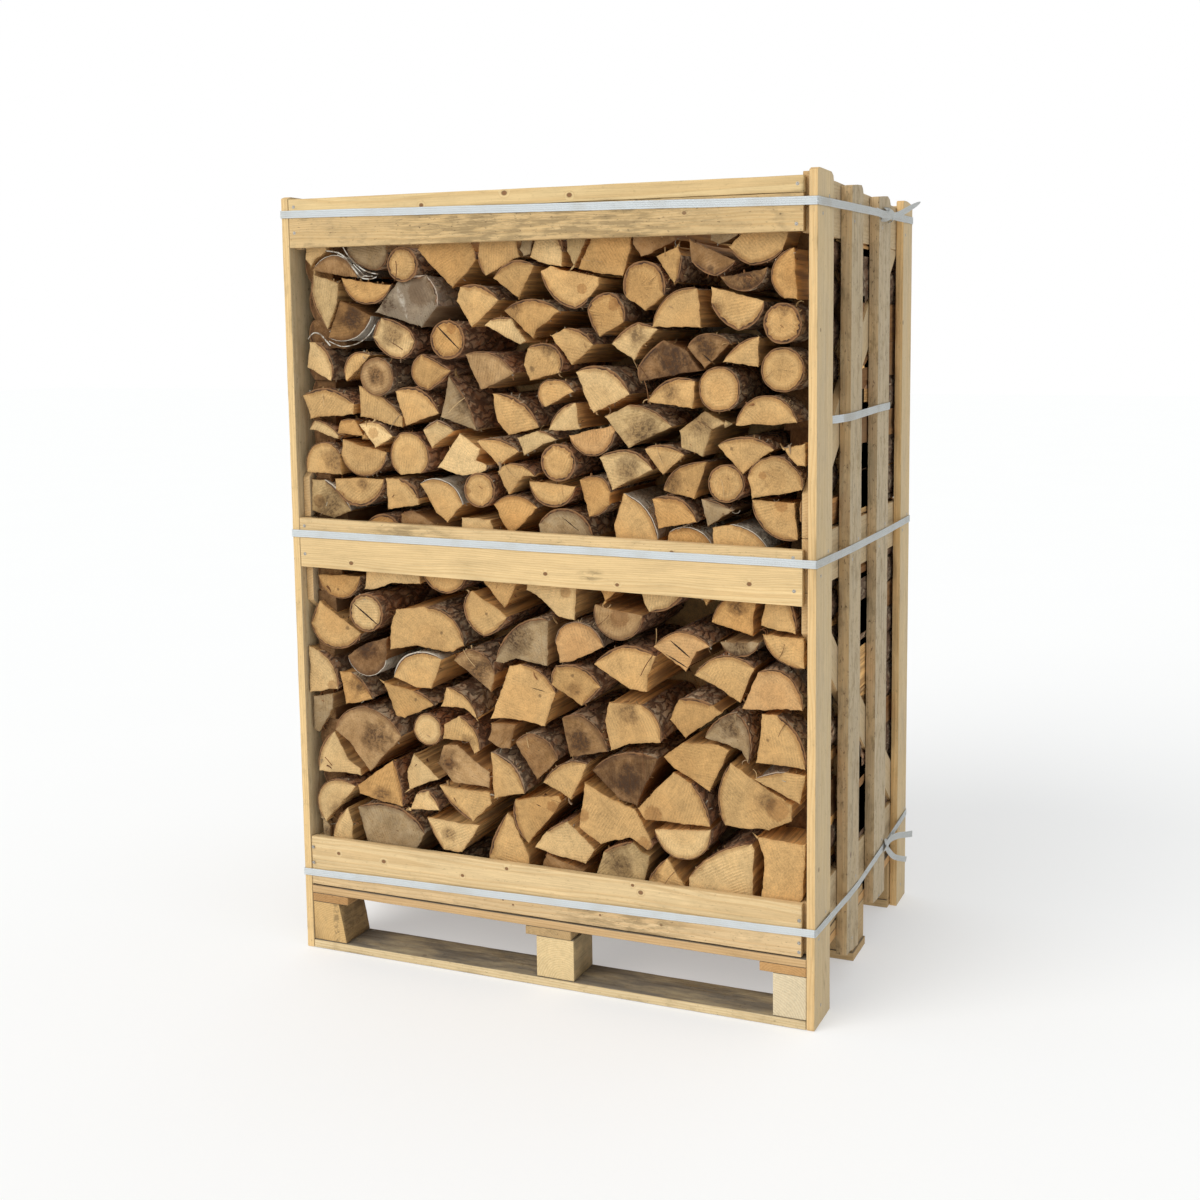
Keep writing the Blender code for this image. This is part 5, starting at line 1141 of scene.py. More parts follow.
class LogMaker:
    """Adds logs of one row to a draft."""

    def __init__(self, row: LogRow) -> None:
        """Keep the row."""
        self.row = row

    def add(self, draft: Draft, end: LogEnd, number: int, recess: float | None = None) -> None:
        """Add one log.

        Args:
            draft: The draft it is added to.
            end: The log end.
            number: Its number.
            recess: How far its end lies behind the row's face, where that is given. Such a log is laid
                where it is, neither exchanged nor mirrored.
        """
        shift = 0.0
        if recess is None:
            shift = self.shift(end)
            end = self.turned(end)
        cutter = OutlineCutter(end, number, shift, self.row.spacing)
        outline = cutter.cut()
        face = self.row.tip(number, outline)
        if recess is not None:
            face = self.row.face_y - self.row.outward * recess
        rim = self._worn(outline, number)
        vectors = self._vectors(end, number, cutter, outline)
        kept = 1.0 - (recess or 0.0) / LOG_LENGTH
        rings = [self._ring(draft, outline, rim, face, depth * kept, number, vectors)
                 for depth in self.row.stations]
        count = len(rim)
        for index in range(count):
            finish = LogSide.BARK if outline.on_bark[index] else LogSide.SPLIT
            following = (index + 1) % count
            for near, far in zip(rings, rings[1:]):
                self._face(draft, (near + index, far + index, far + following, near + following), finish)
        self._sawn_end(draft, outline, rim, face, number, vectors, rings[0])
        self._far_end(draft, rings[-1], count)

    def turned(self, end: LogEnd) -> LogEnd:
        """Give the log end as this row has it, mirrored where the row is."""
        return replace(end, corners=mirrored(end.corners)) if self.row.mirrored else end

    def shift(self, end: LogEnd) -> float:
        """Give the change of height for a row whose halves are exchanged.

        Args:
            end: The log end.

        Returns:
            The change of height in metres.
        """
        if not self.row.exchanged:
            return 0.0
        middle = sum(corner[1] for corner in end.corners) / len(end.corners) / 100.0
        if middle < HIDDEN_COURSE_HIGH / 100.0:
            return 0.0
        return HALF_SHIFT if middle < HALF_SPLIT_Z else -HALF_SHIFT

    def _face(self, draft: Draft, corners: tuple[int, ...], finish: int) -> None:
        """Add a face that is wound for a row looking to the front, turned for one looking to the back."""
        draft.add_face(corners if self.row.outward < 0.0 else tuple(reversed(corners)), finish)

    def _worn(self, outline: Outline, number: int) -> list[Flat]:
        """Give the outline at the sawn face: slightly drawn in, split sides and bark uneven.

        Args:
            outline: The log's outline.
            number: The log's number.

        Returns:
            The points, in the outline's order.
        """
        moved = []
        for index, (point, normal) in enumerate(zip(outline.points, outline.normals)):
            along = outline.along[index]
            torn = 1.0 - 0.55 * outline.bark[index]
            coarse = noise.noise(Vector((along * 22.0, number * 3.7, 0.3)))
            middle = noise.noise(Vector((along * 85.0, number * 2.1, 4.4)))
            fine = noise.noise(Vector((along * 240.0, number * 1.3, 7.1)))
            inward = torn * (0.0026 * coarse + 0.0019 * middle + 0.0008 * fine + 0.0016)
            inward = max(0.0003, inward + OUTLINE_INSET) - self.row.swell
            moved.append((point[0] - normal[0] * inward, point[1] - normal[1] * inward))
        return moved

    @staticmethod
    def side_limit(y: float, z: float) -> float:
        """Give how far a log may reach sideways: to the slats, or to the rails and braces where they are.

        Args:
            y: Place along the depth.
            z: Height.

        Returns:
            The largest distance from the middle.
        """
        if any(low < z < high for low, high in RAIL_ZONES):
            return RAIL_LIMIT_X
        for low, high, slope in BRACE_LINES:
            if low + slope * y - BRACE_MARGIN < z < high + slope * y + BRACE_MARGIN:
                return RAIL_LIMIT_X
        return SLAT_LIMIT_X

    def _held(self, x: float, y: float, z: float) -> Point:
        """Keep a point between the side panels."""
        limit = self.side_limit(y, z)
        return (max(-limit, min(limit, x)), y, z)

    def _ring(self, draft: Draft, outline: Outline, rim: Sequence[Flat], face: float, depth: float,
              number: int, vectors: dict[str, Point]) -> int:
        """Add the ring of points round a log at one depth behind its face.

        Args:
            draft: The draft.
            outline: The log's outline.
            rim: The outline at the sawn face.
            face: Depth of the sawn face.
            depth: How far behind the face the ring lies.
            number: The log's number.
            vectors: The vectors that all of the log's points carry.

        Returns:
            The number of the ring's first point.
        """
        y = face - self.row.outward * depth
        settle = smooth(depth, 0.0, 0.022)
        crook = 0.0016 * math.sin(depth * 21.0 + number)
        points = []
        edges = []
        for index, point in enumerate(rim):
            normal = outline.normals[index]
            along = outline.along[index]
            if outline.bark[index] > 0.02:
                plates = noise.noise(Vector((along * 70.0, depth * 40.0, number * 2.9)))
                furrow = abs(noise.noise(Vector((along * 130.0, depth * 55.0, number * 5.3))))
                inward = settle * (0.0006 + 0.0016 * plates + 0.0034 * furrow)
            else:
                swell = noise.noise(Vector((along * 24.0, depth * 7.0, number * 4.1)))
                fibre = noise.noise(Vector((along * 330.0, depth * 16.0, number * 6.7)))
                inward = settle * (0.0026 + 0.0026 * swell) + smooth(depth, 0.0, 0.012) * 0.0007 * fibre
            inward = max(inward, -0.0003) + crook * normal[1] * 0.5 * settle
            points.append(self._held(point[0] - normal[0] * inward, y, point[1] - normal[1] * inward))
            edges.append((0.0, along, depth))
        return draft.add_points(points, edge=edges, **vectors)

    def _sawn_end(self, draft: Draft, outline: Outline, rim: Sequence[Flat], face: float, number: int,
                  vectors: dict[str, Point], outer: int) -> None:
        """Close the sawn end: a rim of cut bark, a worn edge and the flat wood.

        Args:
            draft: The draft.
            outline: The log's outline.
            rim: The outline at the sawn face.
            face: Depth of the sawn face.
            number: The log's number.
            vectors: The vectors that all of the log's points carry.
            outer: Number of the first point of the outermost ring.
        """
        count = len(rim)
        bark_depth = BARK_THICKNESS[0] + (BARK_THICKNESS[1] - BARK_THICKNESS[0]) * draw(number, 5.0) ** 1.5
        tilt_x = 0.05 * (draw(number, 6.0) - 0.5)
        tilt_z = 0.05 * (draw(number, 7.0) - 0.5)
        middle = (sum(x for x, _ in rim) / count, sum(z for _, z in rim) / count)
        normals = outline_normals(rim)
        limits = inset_limits(rim, normals)
        rings = [outer]
        for inset, drop, level in ((0.0, 0.0006, 1.0), (RIM_WIDTH, 0.0, 0.65), (RIM_WIDTH * 3.4, 0.0, 0.0)):
            points = []
            rims = []
            for index, point in enumerate(rim):
                normal = normals[index]
                bark = outline.bark[index]
                ragged = 0.5 * bark_depth * noise.noise(Vector((outline.along[index] * 120.0, number, 3.3)))
                reach = bark * (bark_depth + ragged) + 0.0005
                most = min(0.05, limits[index]) * (1.0 - 0.6 * level)
                reach = min(reach, most * 0.8) + min(inset, max(0.0, most - reach))
                x = point[0] - normal[0] * reach
                z = point[1] - normal[1] * reach
                lean = tilt_x * (x - middle[0]) + tilt_z * (z - middle[1])
                y = face - self.row.outward * (drop + max(0.0, CAP_RECESS + lean))
                points.append(self._held(x, y, z))
                rims.append((level * (0.45 + 0.55 * bark), outline.along[index], 0.0))
            rings.append(draft.add_points(points, edge=rims, **vectors))
        for step, (near, far) in enumerate(zip(rings, rings[1:])):
            for index in range(count):
                following = (index + 1) % count
                on_rim = step == 0 and (outline.bark[index] > 0.05 or outline.bark[following] > 0.05)
                self._face(draft, (near + following, far + following, far + index, near + index),
                           LogSide.CUT_BARK if on_rim else LogSide.SAWN)
        self._cap(draft, rings[-1], count)

    def _cap(self, draft: Draft, first: int, count: int) -> None:
        """Fill the innermost ring of a sawn end with triangles.

        Args:
            draft: The draft.
            first: Number of the ring's first point.
            count: How many points it has.
        """
        flat = [Vector((draft.points[first + index][0], draft.points[first + index][2], 0.0))
                for index in range(count)]
        for triangle in tessellate_polygon([flat]):
            corners = tuple(first + corner for corner in triangle)
            one, two, three = (flat[corner] for corner in triangle)
            turn = (two - one).cross(three - one).z
            self._face(draft, corners if turn > 0.0 else tuple(reversed(corners)), LogSide.SAWN)

    def _far_end(self, draft: Draft, ring: int, count: int) -> None:
        """Close a log's far end with a plain fan.

        Args:
            draft: The draft.
            ring: Number of the last ring's first point.
            count: How many points it has.
        """
        x = sum(draft.points[ring + index][0] for index in range(count)) / count
        z = sum(draft.points[ring + index][2] for index in range(count)) / count
        y = draft.points[ring][1]
        vectors = {name: layer[ring] for name, layer in draft.vectors.items()}
        centre = draft.add_points([(x, y, z)], **vectors)
        for index in range(count):
            self._face(draft, (ring + index, centre, ring + (index + 1) % count), LogSide.SAWN)

    def _vectors(self, end: LogEnd, number: int, cutter: OutlineCutter, outline: Outline
                 ) -> dict[str, Point]:
        """Gather what the finishes need to know about a log.

        Args:
            end: The log end.
            number: The log's number.
            cutter: Its outline's cutter, which turns measured places into places of the crate.
            outline: Its outline.

        Returns:
            Named vectors: pith, tint, traits, nature and the marks.
        """
        colour, stain, weather = end.tone.value
        vary = 0.93 + 0.14 * draw(number, 8.0)
        warm = 0.985 + 0.03 * draw(number, 9.0)
        vectors = {
            "pith": (outline.pith[0], outline.pith[1], outline.girth),
            "tint": (colour[0] * vary * warm, colour[1] * vary, colour[2] * vary / warm),
            "traits": (stain, end.star, weather),
            "nature": (draw(number, 10.0), end.birch, draw(number, 11.0)),
        }
        for name, mark in (("knot", end.knot), ("knot_two", end.knot_two), ("spot", end.spot),
                           ("patch", end.patch)):
            x, z = cutter.place(mark[0], mark[1])
            vectors[name] = (x, z, mark[2] / 100.0)
        cracks = list(end.cracks) + [NO_CRACK, NO_CRACK]
        for name, crack in (("crack", cracks[0]), ("crack_two", cracks[1]), ("streak", end.streak)):
            start = cutter.place(crack[0], crack[1])
            stop = cutter.place(crack[2], crack[3])
            vectors[name + "_from"] = (start[0], start[1], crack[4] / 1000.0)
            vectors[name + "_to"] = (stop[0], stop[1], 0.0)
        return vectors


@dataclass(frozen=True)
class SawnWood:
    """Finish of sawn log ends.

    Attributes:
        ring_width: Width of one year's growth.
        saw_pitch: Distance between marks of the saw.
    """

    ring_width: float = 0.0025
    saw_pitch: float = 0.0060

    def make(self) -> bpy.types.Material:
        """Make the material.

        Returns:
            The material.
        """
        graph = Graph("sawn_wood")
        x, _, z = graph.split(graph.here())
        pith_x, pith_z, girth = graph.split(graph.attribute("pith"))
        stain, star, weather = graph.split(graph.attribute("traits"))
        seed, _, other = graph.split(graph.attribute("nature"))
        edge, _, _ = graph.split(graph.attribute("edge"))
        tint = graph.attribute("tint")
        own = graph.join(x + seed * 13.0, other * 7.0, z + other * 11.0)
        broad = graph.noise(own, 15.0, 3.0, 0.55)
        blotch = graph.noise(own, 46.0, 5.0, 0.68)
        mottle = graph.noise(own, 150.0, 3.0, 0.6)
        fuzz = graph.noise(own, 520.0, 2.0, 0.6)
        across, up = x - pith_x, z - pith_z
        reach = (across * across + up * up) ** 0.5
        bent = reach + (graph.noise(own, 26.0, 2.0) - 0.5) * 0.012
        rings = (bent * (2.0 * math.pi / self.ring_width)).sine() + (bent * 1150.0).sine() * 0.8
        ray_place = graph.join(across / reach * 9.0 + seed * 5.0, reach * 7.0, up / reach * 9.0)
        rays = graph.noise(ray_place, 2.6, 4.0, 0.7)
        turn = other * (2.0 * math.pi)
        slant = across * graph.math("COSINE", turn) + up * turn.sine()
        saw = ((slant + (broad - 0.5) * 0.010) * (2.0 * math.pi / self.saw_pitch)).sine()
        saw_here = graph.noise(own, 19.0, 1.0).step(0.46, 0.60)
        rim = edge * (0.6 + mottle * 0.8)
        shade = (1.0 + (broad - 0.5) * 0.46 + (blotch - 0.5) * 0.62 + (mottle - 0.5) * 0.56
                 + (fuzz - 0.5) * 0.85 + rings * 0.040 + (rays - 0.5) * 0.60 + saw * saw_here * 0.060)
        wood = graph.brighten(tint, shade)
        warmth = (blotch * 0.5 + broad * 0.5).step(0.44, 0.60)
        wood = graph.tinted(warmth * 0.30, wood, (0.94, 0.86, 0.74))
        stained = (broad * 0.45 + blotch * 0.55 - edge * 0.10).step(0.60, 0.40) * stain
        wood = graph.tinted(stained * 0.80, wood, (0.50, 0.43, 0.35))
        weathered = (blotch * 0.6 + rays * 0.4 + edge * 0.12).step(0.42, 0.62) * weather
        wood = graph.mix(weathered * 0.8, wood, graph.mix(broad.step(0.4, 0.6), srgb(122, 108, 88),
                                                          srgb(162, 148, 124)))
        warm = reach / girth
        wood = graph.tinted(warm.step(0.62, 0.40) * 0.22, wood, (0.86, 0.74, 0.60))
        patch = self._mark(graph, "patch", x, z, blotch * 1.8 + mottle * 0.8 - 0.8, 1.25, 0.30)
        wood = graph.tinted(patch * (0.42 + stain * 0.45), wood, (0.44, 0.36, 0.28))
        rot = patch * (mottle * 0.6 + rays * 0.4).step(0.44, 0.58) * (0.45 + stain)
        wood = graph.mix(rot.least(0.85), wood, srgb(66, 46, 30))
        for name in ("knot", "knot_two"):
            around = self._mark(graph, name, x, z, mottle, 1.55, 1.0)
            core = self._mark(graph, name, x, z, mottle, 0.80, 0.45)
            ring = (around * 1.3 - core * 0.55).most(0.0).least(1.0)
            wood = graph.tinted(ring * 0.62, wood, (0.60, 0.47, 0.36))
            wood = graph.tinted(core * fuzz.step(0.40, 0.60) * 0.6, wood, (0.66, 0.56, 0.46))
        spot = self._mark(graph, "spot", x, z, mottle, 1.1, 0.4)
        wood = graph.mix(spot * 0.55, wood, srgb(62, 42, 28))
        streak = self._crack(graph, "streak", x, z, 9.0) * (blotch + (mottle - 0.5) * 0.8).step(0.30, 0.70)
        wood = graph.mix(streak * 0.6, wood, srgb(206, 196, 180))
        # Darker band along the edge of each end: partly the wood's own weathered rim, partly painted shade
        # where the end meets the gaps beside it.
        wood = graph.tinted(rim.step(0.15, 0.75) * 0.62, wood, (0.56, 0.45, 0.34))
        specks = mottle.step(0.63, 0.72) * (stain + weather) * 0.8 + fuzz.step(0.68, 0.76) * 0.35
        wood = graph.mix(specks.least(0.8), wood, srgb(92, 66, 42))
        star_line = (graph.noise(ray_place, 0.85, 1.0) - 0.5).size().step(0.016, 0.005)
        open_star = star_line * star.most(0.0) * warm.step(0.85, 0.30) * blotch.step(0.44, 0.58) * 0.60
        crack = self._crack(graph, "crack", x, z).most(self._crack(graph, "crack_two", x, z))
        crack = crack.most(open_star)
        wood = graph.mix(crack, wood, srgb(46, 32, 22))
        height = (fuzz * 0.5 + saw * saw_here * 0.20 + mottle * 0.5 + blotch * 0.5) * (1.0 - crack) - crack
        return graph.finish(wood, 0.80, height, 0.0016, specular=0.25)

    @staticmethod
    def _mark(graph: Graph, name: str, x: Signal, z: Signal, warp: Signal, low: float, high: float) -> Signal:
        """Shade a round mark.

        Args:
            graph: The material's graph.
            name: Attribute with the mark's place and radius.
            x: Place across.
            z: Place up.
            warp: A noise that makes the mark uneven.
            low: Share of the radius at which the mark has faded.
            high: Share of the radius at which it is full.

        Returns:
            How much of the mark is here.
        """
        mark_x, mark_z, radius = graph.split(graph.attribute(name))
        away = ((x - mark_x) * (x - mark_x) + (z - mark_z) * (z - mark_z)) ** 0.5 / radius
        return (away + (warp - 0.5) * 0.9).step(low, high)

    @staticmethod
    def _crack(graph: Graph, name: str, x: Signal, z: Signal, soft: float = 1.0) -> Signal:
        """Shade one crack between two places, widest in its middle; soft above 1 blurs and bends it.

        Args:
            graph: The material's graph.
            name: Start of the names of the crack's attributes.
            x: Place across.
            z: Place up.
            soft: 1 for a sharp crack, more for a streak.

        Returns:
            How much of the crack is here.
        """
        from_x, from_z, width = graph.split(graph.attribute(name + "_from"))
        to_x, to_z, _ = graph.split(graph.attribute(name + "_to"))
        run, rise = to_x - from_x, to_z - from_z
        share = ((x - from_x) * run + (z - from_z) * rise) / (run * run + rise * rise)
        share = share.least(1.0).most(0.0)
        off_x = x - from_x - share * run
        off_z = z - from_z - share * rise
        wander = (graph.noise(graph.join(x, 0.0, z), 130.0 / soft, 3.0) - 0.5) * 0.0020 * soft
        away = (off_x * off_x + off_z * off_z) ** 0.5 + wander
        half = width * 0.6 * (1.0 - (share * 2.0 - 1.0).size() ** 2.0) + 0.0002
        return (away / half).step(1.0, 0.6 if soft == 1.0 else 0.0)


@dataclass(frozen=True)
class SplitWood:
    """Finish of split sides: long torn fibres."""

    def make(self) -> bpy.types.Material:
        """Make the material.

        Returns:
            The material.
        """
        graph = Graph("split_wood")
        x, y, z = graph.split(graph.here())
        seed, _, other = graph.split(graph.attribute("nature"))
        _, _, weather = graph.split(graph.attribute("traits"))
        _, along, depth = graph.split(graph.attribute("edge"))
        tint = graph.attribute("tint")
        fibre_place = graph.join(along * 1.0 + seed * 9.0, depth * 0.045, other * 5.0)
        fibres = graph.noise(fibre_place, 420.0, 3.0, 0.65)
        streaks = graph.noise(fibre_place, 90.0, 3.0, 0.6)
        broad = graph.noise(graph.join(x + seed, y, z + other), 14.0, 3.0)
        # The base of 1.32 lifts split sides above the end wood's own colour: painted fill light for sides
        # deep in the gaps. The noises are the fibres' own texture.
        shade = 1.32 + (fibres - 0.5) * 1.05 + (streaks - 0.5) * 1.05 + (broad - 0.5) * 0.50
        # A negative star marks a slim side log seen only through the slat gaps; its split sides are darkened
        # as painted shade.
        _, side_log_shade, _ = graph.split(graph.attribute("traits"))
        shade = shade * (1.0 + side_log_shade.least(0.0) * 0.40)
        wood = graph.brighten(graph.vector("MULTIPLY", tint, (1.02, 0.90, 0.74)), shade)
        wood = graph.mix(streaks.step(0.58, 0.40) * 0.50, wood, srgb(116, 74, 42))
        wood = graph.mix((broad.step(0.42, 0.62) * 0.30 + weather * 0.25), wood, srgb(140, 118, 88))
        return graph.finish(wood, 0.82, fibres * 0.6 + streaks * 0.6, 0.0016)


@dataclass(frozen=True)
class Bark:
    """Finish of the bark: grey-brown plates, or white and papery with dark lines."""

    def make(self) -> bpy.types.Material:
        """Make the material.

        Returns:
            The material.
        """
        graph = Graph("bark")
        x, y, z = graph.split(graph.here())
        seed, birch, other = graph.split(graph.attribute("nature"))
        # A negative star marks a slim side log seen only through the slat gaps; its bark is darkened below as
        # painted shade.
        _, side_log_shade, _ = graph.split(graph.attribute("traits"))
        _, along, depth = graph.split(graph.attribute("edge"))
        bend = (graph.noise(graph.join(along, depth, seed), 38.0, 2.0) - 0.5) * 0.030
        place = graph.join(along + seed * 7.0 + bend, depth * 0.30 + bend * 0.4, other * 3.0)
        plates = graph.cells(place, 62.0, "DISTANCE_TO_EDGE", 1.0)
        rough = graph.noise(place, 240.0, 4.0, 0.7)
        torn = graph.noise(place, 105.0, 4.0, 0.75)
        furrows = (plates + (torn - 0.5) * 0.35).step(0.20, 0.02)
        broad = graph.noise(graph.join(x + seed, y, z), 26.0, 4.0, 0.65)
        brown = graph.mix(broad.step(0.42, 0.58), srgb(138, 104, 76), srgb(164, 144, 118))
        brown = graph.mix(other.step(0.55, 0.95) * 0.5, brown, srgb(144, 90, 56))
        brown = graph.mix(torn.step(0.54, 0.70) * 0.34, brown, srgb(206, 182, 148))
        # The factor 0.86 + rough * 1.20 is partly the bark's rough texture and partly painted fill light that
        # lifts the bark in the gaps above its own colour.
        brown = graph.brighten(brown, (0.86 + rough * 1.20) * (1.0 + side_log_shade.least(0.0) * 0.55))
        brown = graph.mix((furrows * 0.75 + torn.step(0.46, 0.34) * 0.35).least(0.78), brown,
                          srgb(82, 58, 41))
        lines = graph.noise(graph.join(along * 30.0 + seed, depth * 260.0, other), 1.0, 2.0).step(0.60, 0.68)
        paper = graph.mix(lines * 0.8, srgb(196, 188, 172), srgb(74, 60, 48))
        paper = graph.mix(broad.step(0.50, 0.62) * 0.6, paper, srgb(128, 112, 92))
        paper = graph.brighten(paper, 0.7 + rough * 0.6)
        colour = graph.mix(birch.step(0.25, 0.6), brown, paper)
        height = (rough * 0.6 + (1.0 - furrows) * 0.9) * (1.0 - birch * 0.8)
        return graph.finish(colour, 0.88, height, 0.0034)


@dataclass(frozen=True)
class CutBark:
    """Finish of bark where the saw went through it."""

    def make(self) -> bpy.types.Material:
        """Make the material.

        Returns:
            The material.
        """
        graph = Graph("cut_bark")
        seed, birch, other = graph.split(graph.attribute("nature"))
        edge, along, _ = graph.split(graph.attribute("edge"))
        crumb = graph.noise(graph.join(along + seed, edge * 0.003, other), 480.0, 3.0, 0.7)
        broad = graph.noise(graph.join(along + seed * 3.0, 0.0, other), 45.0, 2.0)
        dark = graph.mix(broad.step(0.38, 0.62), srgb(66, 44, 30), srgb(120, 84, 54))
        inner = graph.mix(edge.step(0.55, 0.30) * 0.6, dark, srgb(158, 116, 74))
        colour = graph.mix(birch.step(0.2, 0.6) * edge.step(0.7, 0.2), inner, srgb(206, 198, 182))
        colour = graph.brighten(colour, 0.50 + crumb * 1.0)
        return graph.finish(colour, 0.9, crumb, 0.0012)


@dataclass(frozen=True)
class PineTimber:
    """Finish of pine boards.

    Attributes:
        name: The material's name.
        ring_width: Distance between the dark lines of the grain in depth.
        line_strength: How dark the lines are.
        face_grey: How much greyer the broad faces are than the edges.
        face_colour: What they turn to.
        edge_warmth: How much warmer the edges are.
    """

    name: str
    ring_width: float = 0.0042
    line_strength: float = 0.30
    face_grey: float = 0.0
    face_colour: Colour = srgb(168, 158, 140)
    edge_warmth: float = 0.0

    def make(self) -> bpy.types.Material:
        """Make the material.

        Returns:
            The material.
        """
        graph = Graph(self.name)
        along, across, through = graph.split(graph.attribute("board"))
        heart_across, heart_through, seed = graph.split(graph.attribute("heart"))
        grey, dirt, waney = graph.split(graph.attribute("look"))
        ending, corner, face = graph.split(graph.attribute("flags"))
        hue = graph.attribute("hue")
        broad = graph.noise(graph.join(along * 2.2 + seed * 31.0, across * 7.0, through * 7.0), 1.0, 2.0)
        knot_rim, knot_core, swirl = self._knots(graph, along, across, broad)
        side = across - heart_across + (broad - 0.5) * 0.045
        rise = through - heart_through
        ring = (side * side + rise * rise) ** 0.5 + swirl * 0.006 + along * 0.004
        phase = graph.math("FRACT", (ring + (broad - 0.5) * 0.006) / self.ring_width)
        late = phase.step(0.35, 0.86) * phase.step(1.0, 0.93)
        fine = graph.noise(graph.join(along * 10.0, across * 650.0, through * 650.0), 1.0, 3.0, 0.6)
        streak = graph.noise(graph.join(along * 3.0 + seed * 9.0, across * 120.0, through * 120.0), 1.0, 3.0)
        mottle = graph.noise(graph.join(along * 26.0, across * 45.0, through * 45.0 + seed * 7.0), 1.0,
                             4.0, 0.65)
        cloud = graph.noise(graph.join(along * 7.0 + seed * 5.0, across * 24.0, through * 24.0), 1.0,
                            4.0, 0.6)
        shade = (1.0 + (fine - 0.5) * 0.60 + (streak - 0.5) * 0.48 + (broad - 0.5) * 0.18
                 + (mottle - 0.5) * 0.34 + (cloud - 0.5) * 0.32)
        wood = graph.brighten(hue, shade)
        wood = graph.tinted(late * self.line_strength, wood, (0.72, 0.56, 0.38))
        wood = graph.mix(knot_rim * 0.80, wood, srgb(104, 64, 34))
        wood = graph.mix(knot_core * 0.50, wood, srgb(132, 84, 48))
        warm = (1.0 - face) * self.edge_warmth
        wood = graph.tinted(warm, wood, (1.12, 0.98, 0.80))
        wood = graph.mix(face * (cloud * 2.4 - 0.2) * self.face_grey, wood, self.face_colour)
        strokes = face * (streak * 0.6 + cloud * 0.4).step(0.50, 0.62) * dirt * self.face_grey
        wood = graph.mix(strokes * 0.8, wood, srgb(70, 58, 46))
        side_bark = (1.0 - ending) * (1.0 - face) * waney
        bark = graph.mix(mottle.step(0.42, 0.60), srgb(70, 50, 34), srgb(146, 116, 78))
        wood = graph.mix(side_bark * (0.45 + streak * 0.8).least(0.95), wood, bark)
        weathered = (mottle * 0.5 + streak * 0.5).step(0.36, 0.66) * grey
        wood = graph.mix(weathered * 0.85, wood, srgb(150, 136, 112))
        patch_along, patch_across, patch_radius = graph.split(graph.attribute("patch"))
        off = ((along - patch_along) ** 2.0 + ((across - patch_across) * 2.2) ** 2.0) ** 0.5 / patch_radius
        smear = graph.noise(graph.join(along * 14.0 + seed * 3.0, across * 95.0, through * 95.0), 1.0,
                            4.0, 0.7)
        specks = graph.noise(graph.join(along * 90.0 + seed, across * 190.0, through * 190.0), 1.0, 3.0, 0.7)
        soiled = (off + (mottle - 0.5) * 1.2).step(1.2, 0.4) * 0.7 + dirt * mottle.step(0.46, 0.66) * 0.8
        wood = graph.mix((soiled * smear.step(0.40, 0.60)).least(0.75), wood, srgb(144, 122, 86))
        pits = specks.step(0.60, 0.70) * (dirt * 0.9 + soiled * 0.3)
        wood = graph.mix(pits.least(0.7), wood, srgb(84, 66, 46))
        wood = graph.tinted(ending * 0.30, wood, (0.78, 0.68, 0.54))
        wood = graph.tinted(corner.step(0.2, 1.0) * 0.30, wood, (0.74, 0.66, 0.56))
        height = fine * 0.55 + late * 0.20 + mottle * 0.35 + streak * 0.40 - knot_rim * 0.3
        return graph.finish(wood, 0.72, height, 0.0014, specular=0.25)

    @staticmethod
    def _knots(graph: Graph, along: Signal, across: Signal, broad: Signal) -> tuple[Signal, Signal, Signal]:
        """Shade all knots of a board.

        Args:
            graph: The material's graph.
            along: Place along the board.
            across: Place across it.
            broad: A broad noise.

        Returns:
            Rim, core, and how much the grain swings out round the knots.
        """
        rims, cores, swirls = None, None, None
        for index in range(6):
            knot_along, knot_across, radius = graph.split(graph.attribute(f"knot_{index + 1}"))
            run, rise = (along - knot_along) * 0.8, across - knot_across
            away = (run * run + rise * rise) ** 0.5 / (radius * 0.66) + (broad - 0.5) * 0.5
            rim = away.step(1.25, 0.95)
            core = away.step(0.85, 0.55)
            swirl = (away * 0.36).step(1.0, 0.2)
            rims = rim if rims is None else rims.most(rim)
            cores = core if cores is None else cores.most(core)
            swirls = swirl if swirls is None else swirls + swirl
        return rims, cores, swirls


@dataclass(frozen=True)
class WovenStrap:
    """Finish of the straps: herringbone in four columns.

    Attributes:
        column: Width of one column of the weave.
        pitch: Distance between its slanting threads.
    """

    column: float = 0.0040
    pitch: float = 0.0030

    def make(self) -> bpy.types.Material:
        """Make the material.

        Returns:
            The material.
        """
        graph = Graph("woven_strap")
        along, across, _ = graph.split(graph.attribute("weave"))
        place = across / self.column
        fold = (graph.math("FRACT", place * 0.5 + 100.0) * 2.0 - 1.0).size()
        thread = ((along + fold * self.column) * (2.0 * math.pi / self.pitch)).sine()
        groove = (graph.math("FRACT", place + 100.5) - 0.5).size().step(0.10, 0.02)
        fuzz = graph.noise(graph.join(along, across, 0.0), 900.0, 2.0)
        soil = graph.noise(graph.here(), 14.0, 3.0)
        shade = 0.97 + thread * 0.09 - groove * 0.10 + (fuzz - 0.5) * 0.16
        # Where the strap runs along the crate's sides its colour is darkened and greyed: painted shade for
        # faces turned from the light. The soil noise adds real dirt.
        reach, _, _ = graph.split(graph.here())
        beside = reach.size().step(0.5985, 0.6000)
        shade = shade - beside * (0.07 - thread * 0.10)
        worn = soil.step(0.45, 0.75) * 0.35 + beside * 0.45
        colour = graph.mix(worn, srgb(232, 238, 240), srgb(204, 200, 188))
        height = thread * 0.5 - groove * 0.6 + fuzz * 0.2
        return graph.finish(graph.brighten(colour, shade), 0.6, height, 0.0010, sheen=0.2)


